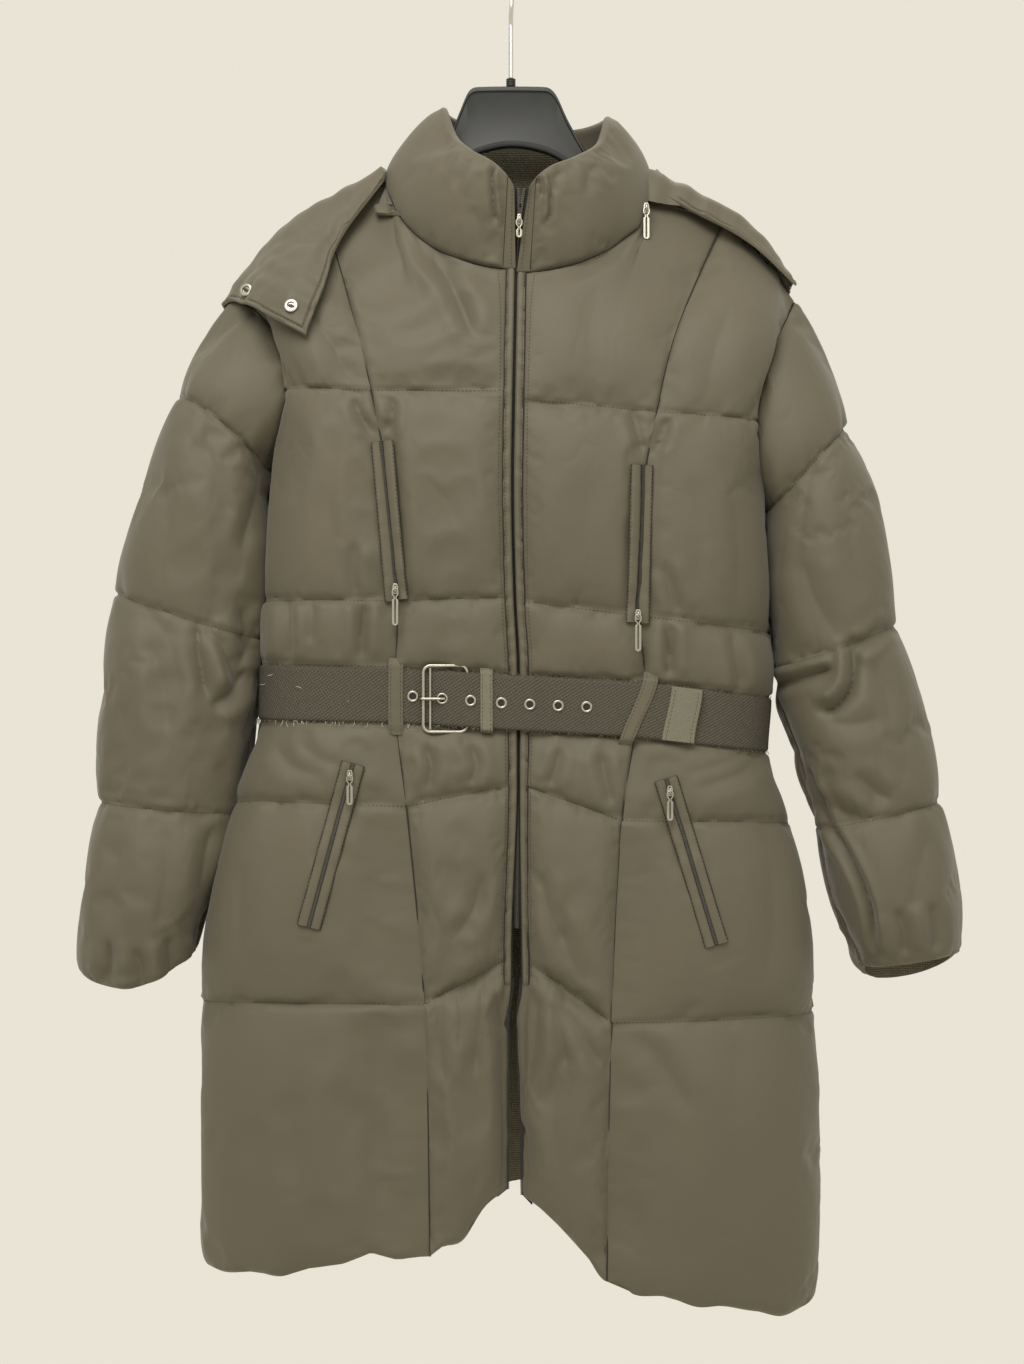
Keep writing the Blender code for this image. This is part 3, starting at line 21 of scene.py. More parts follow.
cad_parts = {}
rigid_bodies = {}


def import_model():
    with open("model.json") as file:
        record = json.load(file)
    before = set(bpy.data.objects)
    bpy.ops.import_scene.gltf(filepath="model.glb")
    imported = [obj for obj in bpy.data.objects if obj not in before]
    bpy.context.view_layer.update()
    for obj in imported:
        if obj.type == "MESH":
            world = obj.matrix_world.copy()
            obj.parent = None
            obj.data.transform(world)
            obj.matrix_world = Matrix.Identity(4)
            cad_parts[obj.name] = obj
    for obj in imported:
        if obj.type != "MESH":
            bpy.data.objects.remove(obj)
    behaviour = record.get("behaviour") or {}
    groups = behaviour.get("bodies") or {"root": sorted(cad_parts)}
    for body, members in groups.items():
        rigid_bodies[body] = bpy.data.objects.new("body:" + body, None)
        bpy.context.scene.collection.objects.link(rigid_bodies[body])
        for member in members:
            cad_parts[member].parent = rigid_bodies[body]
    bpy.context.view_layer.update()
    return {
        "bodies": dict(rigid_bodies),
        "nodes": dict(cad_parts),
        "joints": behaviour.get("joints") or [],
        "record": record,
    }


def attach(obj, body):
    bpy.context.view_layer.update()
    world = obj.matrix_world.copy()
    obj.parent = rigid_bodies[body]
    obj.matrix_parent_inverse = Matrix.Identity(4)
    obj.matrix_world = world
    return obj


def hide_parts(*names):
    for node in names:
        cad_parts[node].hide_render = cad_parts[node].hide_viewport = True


LOG = logging.getLogger("puffer_coat")
COAT = "coat"

Array = np.ndarray
Mesh, Thing, BMesh = bpy.types.Mesh, bpy.types.Object, bmesh.types.BMesh
ACROSS = np.array([1.0, 0.0, 0.0])
FORWARD = np.array([0.0, -1.0, 0.0])
UP = np.array([0.0, 0.0, 1.0])


class Side(Enum):
    """The wearer's two sides, with the sign of x."""

    RIGHT = -1.0
    LEFT = 1.0

    @property
    def word(self) -> str:
        """The side's name as the nodes have it."""
        return self.name.lower()


class Face(Enum):
    """The front and the back of the coat, with the sign of y."""

    FRONT = -1.0
    BACK = 1.0


class Held(Enum):
    """How a sheet of cloth is held."""

    STRETCHED = "stretched"
    HUNG = "hung"


# ---------------------------------------------------------------- number helpers


def mix(start: float | Array | Vector, end: float | Array | Vector, share: float | Array) -> float | Array | Vector:
    """Straight blend of two numbers, arrays or vectors."""
    return start + (end - start) * share


def smooth_step(value: Array | float, low: float, high: float) -> Array | float:
    """0 below low, 1 above high and a soft ramp between."""
    share = np.clip((value - low) / (high - low), 0.0, 1.0)
    return share * share * (3.0 - 2.0 * share)


def smooth_run(values: Sequence, places: Sequence[float], at: Array) -> Array:
    """A curve through values at given places that never overshoots them.

    Args:
        values: K numbers or K arrays of numbers.
        places: the K places, rising.
        at: the N places to read.

    Returns:
        N numbers or arrays.
    """
    values = np.asarray(values, float)
    places = np.asarray(places, float)
    at = np.clip(np.atleast_1d(np.asarray(at, float)), places[0], places[-1])
    tail = (1,) * (values.ndim - 1)
    rises = np.diff(values, axis=0) / np.diff(places).reshape(-1, *tail)
    slopes = np.empty_like(values)
    slopes[0] = rises[0]
    slopes[-1] = rises[-1]
    before, after = rises[:-1], rises[1:]
    size = np.minimum(np.abs(before + after) / 2, 2.5 * np.minimum(np.abs(before), np.abs(after)))
    slopes[1:-1] = np.where(before * after <= 0, 0.0, np.sign(before) * size)
    index = np.clip(np.searchsorted(places, at, side="left") - 1, 0, len(places) - 2)
    span = (places[index + 1] - places[index]).reshape(-1, *tail)
    share = (at - places[index]).reshape(-1, *tail) / span
    square = share * share
    cube = square * share
    return (
        values[index] * (2 * cube - 3 * square + 1)
        + slopes[index] * span * (cube - 2 * square + share)
        + values[index + 1] * (3 * square - 2 * cube)
        + slopes[index + 1] * span * (cube - square)
    )


def steps_between(stops: Sequence[float], counts: Sequence[int]) -> Array:
    """Numbers that run through the stops, with a given count of even steps between each pair.

    Args:
        stops: the numbers to meet.
        counts: the steps between each pair.

    Returns:
        All the numbers.
    """
    runs = [np.linspace(low, high, count, endpoint=False)
            for low, high, count in zip(stops, stops[1:], counts)]
    return np.concatenate(runs + [[stops[-1]]])


def swell(share: Array | float, power: float) -> Array | float:
    """The fullness of a pad across a cell: 0 at its stitches and 1 in its middle."""
    return 1.0 - np.abs(2.0 * share - 1.0) ** power


def unit(vectors: Array) -> Array:
    """Vectors of length 1."""
    return vectors / np.maximum(np.linalg.norm(vectors, axis=-1, keepdims=True), 1e-12)


def grid_normals(points: Array, outward: Array) -> Array:
    """The directions square to a grid of points, turned to agree with rough outward ones.

    Args:
        points: R by C points.
        outward: rough outward directions.

    Returns:
        R by C directions.
    """
    across = np.gradient(points, axis=1)
    up = np.gradient(points, axis=0)
    normals = unit(np.cross(across, up))
    sign = np.sign((normals * outward).sum(-1, keepdims=True))
    return normals * np.where(sign == 0, 1.0, sign)


def soften(field_: Array, rounds: int) -> Array:
    """A grid's values averaged with their neighbours some times, edges kept.

    Args:
        field_: the grid.
        rounds: how many times.

    Returns:
        The softened grid.
    """
    out = field_.copy()
    for _ in range(rounds):
        out[1:-1] = 0.5 * out[1:-1] + 0.25 * (out[2:] + out[:-2])
        out[:, 1:-1] = 0.5 * out[:, 1:-1] + 0.25 * (out[:, 2:] + out[:, :-2])
    return out


def reach_of(points: Array) -> Array:
    """The distance of each point of a line from its first."""
    return np.r_[0.0, np.cumsum(np.linalg.norm(np.diff(points, axis=0), axis=-1))]


def read_along(at: Array, reach: Array, points: Array) -> Array:
    """The points of a line at given distances."""
    return np.stack([np.interp(at, reach, points[:, axis]) for axis in range(3)], -1)


def along_rows(grid: Array, wants: Array) -> Array:
    """Each row of a grid at new distances from its first point."""
    return np.array([read_along(want, reach_of(row), row) for row, want in zip(grid, wants)])


def ripple(at: Array, wave: float, seed: int) -> Array:
    """Smooth random numbers between -1 and 1 along a line, about one rise a wave.

    Args:
        at: the distances along the line.
        wave: the length of a wave.
        seed: for the random numbers.

    Returns:
        A number for each distance.
    """
    rng = np.random.default_rng(seed)
    count = int((at.max() - at.min()) / wave) + 6
    knots = rng.uniform(-1.0, 1.0, count)
    place = (at - at.min()) / wave + 1.0
    base = np.floor(place).astype(int)
    share = place - base
    share = share * share * (3 - 2 * share)
    return knots[base] * (1 - share) + knots[base + 1] * share


def cloudy(points: Array, size: float, seed: int) -> Array:
    """Smooth random numbers in space, from a few turned waves.

    Args:
        points: the points.
        size: the length of a wave.
        seed: for the random numbers.

    Returns:
        A number for each point.
    """
    rng = np.random.default_rng(seed)
    total = np.zeros(points.shape[:-1])
    for _ in range(9):
        direction = unit(rng.normal(size=3)) * math.tau / size * rng.uniform(0.6, 1.5)
        total += np.sin(points @ direction + rng.uniform(0, math.tau))
    return total / 4.5


# ---------------------------------------------------------------- the coat's form

# The wall's thickness, half the gap of a seam, and how far sewn cloth lies off
WALL = 0.003
SEAM = 0.00018
LAY = 0.0006
ARMHOLE_GAP = 0.0006
# How the shoulder's inside drops, and how round a section is
RIDGE = 1.4
ROUND = 0.78
# Columns where the neck ends, and where the band by the zip does
NECK = 0.625
BACK_NECK = 0.75
BAND = 0.076
ZIP_GAP = 0.0008
BAND_WIDTH = 0.0075
# The zip opens below this z, and nothing is stitched there
STITCHED_ABOVE = -0.885
# Stitches in from a sewn edge
TOPSTITCH = 0.0042

# Rows are sections from the hem up; columns are zip edge x, y, z, princess seam x, y, z,
# side seam x, y, z and the section's sag
SECTIONS = {
    Side.RIGHT: (
        (0.000, -0.070, -1.068, -0.069, -0.085, -1.121, -0.271, 0.0, -1.140, 0.004),
        (0.000, -0.080, -0.868, -0.074, -0.088, -0.907, -0.270, 0.0, -0.914, -0.004),
        (0.005, -0.085, -0.721, -0.089, -0.088, -0.740, -0.242, 0.0, -0.741, -0.004),
        (0.005, -0.082, -0.677, -0.097, -0.082, -0.671, -0.220, 0.0, -0.669, 0.0),
        (0.005, -0.082, -0.628, -0.098, -0.082, -0.622, -0.219, 0.0, -0.619, 0.0),
        (0.002, -0.085, -0.563, -0.096, -0.085, -0.566, -0.216, 0.0, -0.565, 0.0),
        (0.000, -0.090, -0.463, -0.105, -0.085, -0.464, -0.203, 0.0, -0.447, 0.0),
        (0.001, -0.088, -0.389, -0.119, -0.082, -0.388, -0.193, -0.050, -0.384, 0.0),
        (0.002, -0.079, -0.337, -0.133, -0.070, -0.331, -0.205, -0.036, -0.334, 0.0),
        (0.003, -0.060, -0.282, -0.165, 0.0, -0.221, -0.238, 0.0, -0.295, -0.008),
    ),
    Side.LEFT: (
        (0.013, -0.070, -1.073, 0.080, -0.085, -1.142, 0.267, 0.0, -1.160, 0.013),
        (0.008, -0.080, -0.868, 0.084, -0.088, -0.923, 0.263, 0.0, -0.923, -0.002),
        (0.006, -0.085, -0.721, 0.093, -0.088, -0.752, 0.242, 0.0, -0.759, -0.003),
        (0.006, -0.082, -0.677, 0.103, -0.082, -0.683, 0.222, 0.0, -0.697, 0.0),
        (0.006, -0.082, -0.628, 0.113, -0.082, -0.634, 0.225, 0.0, -0.648, 0.0),
        (0.003, -0.085, -0.566, 0.107, -0.085, -0.579, 0.224, 0.0, -0.592, 0.0),
        (0.001, -0.090, -0.466, 0.111, -0.085, -0.473, 0.214, 0.0, -0.477, 0.0),
        (0.002, -0.088, -0.395, 0.122, -0.082, -0.406, 0.209, -0.050, -0.411, 0.0),
        (0.003, -0.079, -0.340, 0.139, -0.070, -0.339, 0.226, -0.036, -0.345, 0.0),
        (0.004, -0.060, -0.285, 0.185, 0.0, -0.230, 0.248, 0.0, -0.301, -0.008),
    ),
}
# Where the neck meets each shoulder: x and z
NECK_SIDE = {Side.RIGHT: (-0.108, -0.193), Side.LEFT: (0.121, -0.202)}
LEVELS = (-1.12, -0.905, -0.742, -0.678, -0.630, -0.570, -0.462, -0.392, -0.337, -0.25)
HEM, QUILT_4, QUILT_3, BELT_LOW, BELT_HIGH, QUILT_2, UNDERARM, QUILT_1, CHEST, SHOULDER = range(10)
BACK_YZ = ((0.088, -1.090), (0.088, -0.925), (0.086, -0.752), (0.076, -0.685), (0.076, -0.636),
           (0.080, -0.578), (0.084, -0.462), (0.084, -0.395), (0.076, -0.330), (0.050, -0.207))
# Stitched cells: low section, high section, pad height, fine rows
CELLS = (
    (HEM, QUILT_4, 0.016, 76),
    (QUILT_4, QUILT_3, 0.015, 64),
    (QUILT_3, BELT_LOW, 0.008, 24),
    (BELT_LOW, BELT_HIGH, 0.0, 16),
    (BELT_HIGH, QUILT_2, 0.008, 24),
    (QUILT_2, QUILT_1, 0.013, 76),
    (QUILT_1, SHOULDER, 0.009, 64),
)


class CoatForm:
    """The stitched surface of the coat's body, and how full its pads are."""

    def armhole_x(self, side: Side, z: Array) -> Array:
        """How far out the armhole lies at each height."""
        rows = SECTIONS[side][UNDERARM:]
        return smooth_run([row[6] for row in rows], [row[8] for row in rows], z)

    def edge(self, face: Face, side: Side, index: int, inset: float) -> Array:
        """The outermost point of a half section.

        Args:
            face: front or back.
            side: the wearer's side.
            index: which section.
            inset: how far in, for the wall's inside.

        Returns:
            The point.
        """
        row = SECTIONS[side][index]
        sign = face.value
        side_x, side_y, side_z = row[6:9]
        if index in (UNDERARM, QUILT_1, CHEST):
            low = SECTIONS[side][UNDERARM][8]
            high = SECTIONS[side][SHOULDER][8]
            point = np.array([0.0, -side_y * sign if side_y else sign * SEAM, side_z])
            towards = unit(np.array([0.0, 0.0, 0.5 * (low + high)]) - point)
            if index == UNDERARM:
                towards = UP
            point = point + towards * inset
            point[0] = self.armhole_x(side, point[2])[0]
            return point
        point = np.array([side_x, -side_y * sign, side_z])
        if side_y == 0.0:
            point[0] -= math.copysign(inset, side_x)
            point[1] = sign * SEAM
        return point

    def shoulder(self, face: Face, side: Side, columns: Array, inset: float) -> Array:
        """The top edge: the neck curve, then the shoulder's ridge out to its tip.

        Args:
            face: front or back.
            side: the wearer's side.
            columns: places across.
            inset: how far in, for the wall's inside.

        Returns:
            A point for each column.
        """
        row = SECTIONS[side][SHOULDER]
        neck_x, neck_z = NECK_SIDE[side]
        sign = face.value
        turn_at = NECK if face is Face.FRONT else BACK_NECK
        middle = (row[0], row[1], row[2]) if face is Face.FRONT else (0.0, *BACK_YZ[SHOULDER])
        out = np.zeros((len(columns), 3))
        for i, column in enumerate(columns):
            if column <= turn_at:
                angle = column / turn_at * math.pi / 2
                reach, rise = math.sin(angle), max(math.cos(angle), 0.0)
                y = middle[1] * rise ** 0.8 - sign * inset * rise
                y = sign * SEAM if abs(y) < SEAM else y
                out[i] = (mix(middle[0], neck_x, reach), y, mix(neck_z, middle[2], rise) - inset * reach * RIDGE)
            elif column <= 1.0:
                share = (column - turn_at) / (1.0 - turn_at)
                out[i] = (mix(neck_x, row[3], share), sign * SEAM, mix(neck_z, row[5], share) - inset * RIDGE)
            else:
                share = column - 1.0
                hump = math.sin(share * math.pi) * -row[9]
                out[i] = (mix(row[3], row[6], share), sign * SEAM,
                          mix(row[5], row[8], share) + hump - inset * RIDGE)
        return out

    def section(self, face: Face, side: Side, index: int, columns: Array, inset: float) -> Array:
        """The points of one half section at each column: 0 middle, 1 princess seam, 2 side.

        Args:
            face: front or back.
            side: the wearer's side.
            index: which section.
            columns: places across.
            inset: how far in, for the wall's inside.

        Returns:
            A point for each column.
        """
        if index == SHOULDER:
            return self.shoulder(face, side, columns, inset)
        row = SECTIONS[side][index]
        if face is Face.FRONT:
            middle = np.array([row[0], row[1] + inset, row[2]])
            quarter = np.array([row[3], row[4] + inset, row[5]])
        else:
            back_y, back_z = BACK_YZ[index]
            middle = np.array([0.0, back_y - inset, back_z])
            quarter = np.array([row[6] * 0.55, back_y * 0.97 - inset, mix(back_z, row[8], 0.4)])
        edge = self.edge(face, side, index, inset)
        near = np.clip(columns, 0.0, 1.0)[:, None]
        angle = (np.clip(columns, 1.0, 2.0) - 1.0) * math.pi / 2
        reach = np.sin(angle) ** ROUND
        drop = np.where(columns < 2.0, np.maximum(np.cos(angle), 0.0) ** ROUND, 0.0)
        out = mix(middle, quarter, near)
        far = columns > 1.0
        out[far, 0] = mix(quarter[0], edge[0], reach[far])
        out[far, 1] = mix(edge[1], quarter[1], drop[far])
        sag = row[9] * np.sin((columns - 1.0) * math.pi)
        out[far, 2] = (mix(quarter[2], edge[2], reach) - sag)[far]
        return out

    def surface(self, face: Face, side: Side, columns: Array, levels: Array, inset: float = 0.0) -> Array:
        """The stitched surface on a grid.

        Args:
            face: front or back.
            side: the wearer's side.
            columns: C places across, from 0 at the middle to 2 at the side.
            levels: R places up, counted in sections from the hem.
            inset: how far in, for the wall's inside.

        Returns:
            An array of R by C points.
        """
        columns = np.asarray(columns, float)
        levels = np.asarray(levels, float)
        index = np.minimum(levels.astype(int), SHOULDER - 1)
        low = np.asarray(LEVELS)[index]
        heights = mix(low, np.asarray(LEVELS)[index + 1], levels - index)
        stations = [self.section(face, side, i, columns, inset) for i in range(SHOULDER + 1)]
        grid = smooth_run(stations, LEVELS, heights)
        at_side = columns >= 2.0
        above = levels > UNDERARM
        if at_side.any() and above.any():
            rows = np.nonzero(above)[0]
            for column in np.nonzero(at_side)[0]:
                grid[rows, column, 0] = self.armhole_x(side, grid[rows, column, 2])
        return grid

    def whole_back(self, columns: Array, levels: Array, inset: float) -> Array:
        """The back's surface across both halves, its right columns counted below 0."""
        right = self.surface(Face.BACK, Side.RIGHT, -columns[columns < 0], levels, inset)
        return np.concatenate([right, self.surface(Face.BACK, Side.LEFT, columns[columns >= 0], levels, inset)], 1)

    def crown(self, levels: Array) -> Array:
        """The pad's height at each level.

        Args:
            levels: places up, counted in sections.

        Returns:
            A height for each level.
        """
        out = np.zeros(len(levels))
        index = np.minimum(levels.astype(int), SHOULDER - 1)
        heights = mix(np.asarray(LEVELS)[index], np.asarray(LEVELS)[index + 1], levels - index)
        for low, high, height, _ in CELLS:
            inside = (levels >= low) & (levels <= high)
            share = (heights - LEVELS[low]) / (LEVELS[high] - LEVELS[low])
            out = np.where(inside, height * np.maximum(swell(share, 2.4), 0.0), out)
        return out

    def across(self, face: Face, columns: Array) -> Array:
        """The pad's fullness at each column.

        Args:
            face: front or back.
            columns: places across.

        Returns:
            A share for each column.
        """
        if face is Face.BACK:
            out = swell(0.5 + columns / 4.0, 4.0) * (1.0 - np.maximum(columns - 1.0, 0.0) ** 3)
        else:
            near = swell(np.maximum(columns - BAND, 0.0) / (1.0 - BAND), 3.0)
            far = swell(columns - 1.0, 3.0) * (1.0 - np.maximum(columns - 1.0, 0.0) ** 4)
            out = np.where(columns <= 1.0, near, far)
        return np.maximum(out, 0.0)


COAT_FORM = CoatForm()

# Rows are sleeve sections from the head to the cuff; columns are outer x, z, inner x, z,
# half depth, middle y, and the lifts of the front and of the back
SLEEVE_RINGS = {
    Side.RIGHT: (
        (-0.290, -0.391, -0.2110, -0.455, 0.056, 0.0, 0.012, 0.0),
        (-0.317, -0.475, -0.2165, -0.506, 0.057, -0.001, 0.004, 0.0),
        (-0.345, -0.558, -0.233, -0.598, 0.055, -0.003, 0.0, 0.0),
        (-0.352, -0.651, -0.243, -0.666, 0.054, -0.006, 0.0, 0.0),
        (-0.358, -0.739, -0.254, -0.749, 0.053, -0.010, 0.0, 0.0),
        (-0.366, -0.817, -0.268, -0.826, 0.052, -0.014, 0.0, 0.0),
        (-0.377, -0.878, -0.278, -0.886, 0.046, -0.016, -0.016, -0.010),
    ),
    Side.LEFT: (
        (0.290, -0.413, 0.2225, -0.486, 0.056, 0.0, 0.0, 0.0),
        (0.314, -0.492, 0.229, -0.532, 0.057, -0.001, 0.0, 0.0),
        (0.334, -0.586, 0.241, -0.622, 0.055, -0.003, 0.0, 0.0),
        (0.353, -0.670, 0.250, -0.692, 0.054, -0.006, 0.0, 0.0),
        (0.371, -0.739, 0.268, -0.762, 0.053, -0.010, 0.0, 0.0),
        (0.380, -0.809, 0.283, -0.826, 0.052, -0.014, 0.0, 0.0),
        (0.390, -0.868, 0.306, -0.882, 0.046, -0.016, 0.0, -0.022),
    ),
}
SLEEVE_STOPS = (0.0, 1.0, 3.0, 5.0, 7.0)
SLEEVE_TURN = 18.0
INNER_SEAM = 9.0
BACK_SEAM = 13.0
SLEEVE_CROWN = 0.010
SEAM_TURN = 0.013
# Where each sleeve is pressed to the body: lowest z, full from z, full to z, and how far it gives
SLEEVE_TOUCH = {Side.RIGHT: (-0.86, -0.775, -0.56, 0.0165), Side.LEFT: (-0.70, -0.645, -0.56, 0.0095)}


class SleeveForm:
    """The stitched surface of a sleeve, with its quilted fullness."""

    def surface(self, side: Side, turns: Array, levels: Array, inset: float = 0.0) -> Array:
        """The sleeve's surface on a grid of levels down and turns round.

        Args:
            side: the wearer's side.
            turns: places round.
            levels: places down.
            inset: how far in, for the wall's inside.

        Returns:
            R by C points.
        """
        turns = np.asarray(turns, float)
        rings = SLEEVE_RINGS[side]
        wrapped = turns % SLEEVE_TURN
        quarter = (SHOULDER - UNDERARM) / INNER_SEAM
        head = np.zeros((len(turns), 3))
        for i, turn in enumerate(wrapped):
            face = Face.FRONT if turn <= INNER_SEAM else Face.BACK
            away = turn if turn <= INNER_SEAM else SLEEVE_TURN - turn
            head[i] = COAT_FORM.surface(face, side, [2.0], [SHOULDER - quarter * away], inset)[0, 0]
        head[:, 0] += side.value * ARMHOLE_GAP
        stations = [head]
        angle = wrapped / SLEEVE_TURN * math.tau
        cosine = np.sign(np.cos(angle)) * np.abs(np.cos(angle)) ** 0.9
        sine = np.sign(np.sin(angle)) * np.abs(np.sin(angle)) ** 0.9
        for outer_x, outer_z, inner_x, inner_z, depth, y, front_lift, back_lift in rings:
            outer = np.array([outer_x, 0.0, outer_z])
            inner = np.array([inner_x, 0.0, inner_z])
            half = (outer - inner) * 0.5
            half = half * (np.linalg.norm(half) - inset) / np.linalg.norm(half)
            ring = (outer + inner) * 0.5 + half * cosine[:, None]
            ring[:, 1] = y - (depth - inset) * sine
            ring[:, 2] += front_lift * np.maximum(sine, 0.0) + back_lift * np.maximum(-sine, 0.0)
            stations.append(ring)
        return smooth_run(stations, range(len(stations)), np.asarray(levels, float))

    def crown(self, turns: Array, levels: Array) -> Array:
        """The pad's height on a grid of levels and turns.

        Args:
            turns: places round.
            levels: places down.

        Returns:
            R by C heights.
        """
        levels = np.asarray(levels, float)
        cell = np.clip(np.searchsorted(SLEEVE_STOPS, levels, side="right") - 1, 0, len(SLEEVE_STOPS) - 2)
        stops = np.asarray(SLEEVE_STOPS)
        down = swell((levels - stops[cell]) / (stops[cell + 1] - stops[cell]), 2.4)
        span = (turns - (BACK_SEAM - SLEEVE_TURN)) / (INNER_SEAM + SLEEVE_TURN - BACK_SEAM)
        upper = swell(span, 6.0) * (1.0 - (np.maximum(span - 0.6, 0.0) / 0.4) ** 2)
        under = 0.7 * swell((turns - INNER_SEAM) / (BACK_SEAM - INNER_SEAM), 3.0)
        round_ = np.where(turns <= INNER_SEAM, upper, under)
        return SLEEVE_CROWN * np.maximum(down, 0.0)[:, None] * np.maximum(round_, 0.0)[None, :]


SLEEVE_FORM = SleeveForm()

# The collar's upper edge: share round, x, y and z
COLLAR_TOP = (
    (0.00, 0.002, -0.078, -0.212), (0.05, -0.013, -0.078, -0.197), (0.13, -0.036, -0.068, -0.182),
    (0.21, -0.053, -0.045, -0.164), (0.30, -0.063, -0.008, -0.133), (0.38, -0.052, 0.034, -0.134),
    (0.50, 0.004, 0.056, -0.140), (0.62, 0.064, 0.040, -0.141), (0.70, 0.087, -0.004, -0.140),
    (0.79, 0.078, -0.045, -0.171), (0.87, 0.056, -0.066, -0.187), (0.95, 0.031, -0.078, -0.199),
    (1.00, 0.014, -0.080, -0.213),
)
COLLAR_PAD = 0.007
COLLAR_CROWN = 0.013


class CollarForm:
    """The stand collar's wall; share runs from the right front edge round the back to the left."""

    def neck_edge(self, shares: Array) -> Array:
        """The points of the neck's edge that the collar stands on.

        Args:
            shares: places round, from 0 to 1.

        Returns:
            A point for each share.
        """
        out = np.zeros((len(shares), 3))
        for i, share in enumerate(shares):
            if share <= 0.3:
                args = (Face.FRONT, Side.RIGHT, np.array([share / 0.3 * NECK]), 0.0)
            elif share >= 0.7:
                args = (Face.FRONT, Side.LEFT, np.array([(1.0 - share) / 0.3 * NECK]), 0.0)
            else:
                column = (share - 0.5) / 0.2 * BACK_NECK
                args = (Face.BACK, Side.RIGHT if column < 0 else Side.LEFT, np.array([abs(column)]), 0.0)
            out[i] = COAT_FORM.shoulder(*args)[0]
        return out

    def outward(self, shares: Array) -> Array:
        """The collar's outward directions."""
        angle = np.asarray(shares) * math.tau
        return np.stack([-np.sin(angle), -np.cos(angle), np.zeros_like(angle)], -1)

    def surface(self, shares: Array, rises: Array, inset: float = 0.0) -> Array:
        """The collar's wall on a grid of rises up and shares round.

        Args:
            shares: places round, from 0 to 1.
            rises: places up, from 0 to 1.
            inset: how far in, for the wall's inside.

        Returns:
            R by C points.
        """
        shares = np.asarray(shares, float)
        outward = self.outward(shares)
        low = self.neck_edge(shares) + np.array([0.0, 0.0, 0.0009]) - outward * inset
        tops = np.asarray(COLLAR_TOP)
        high = smooth_run(tops[:, 1:], tops[:, 0], shares) - outward * inset
        return mix(low[None], high[None], np.asarray(rises)[:, None, None])


COLLAR_FORM = CollarForm()


# ---------------------------------------------------------------- finishes


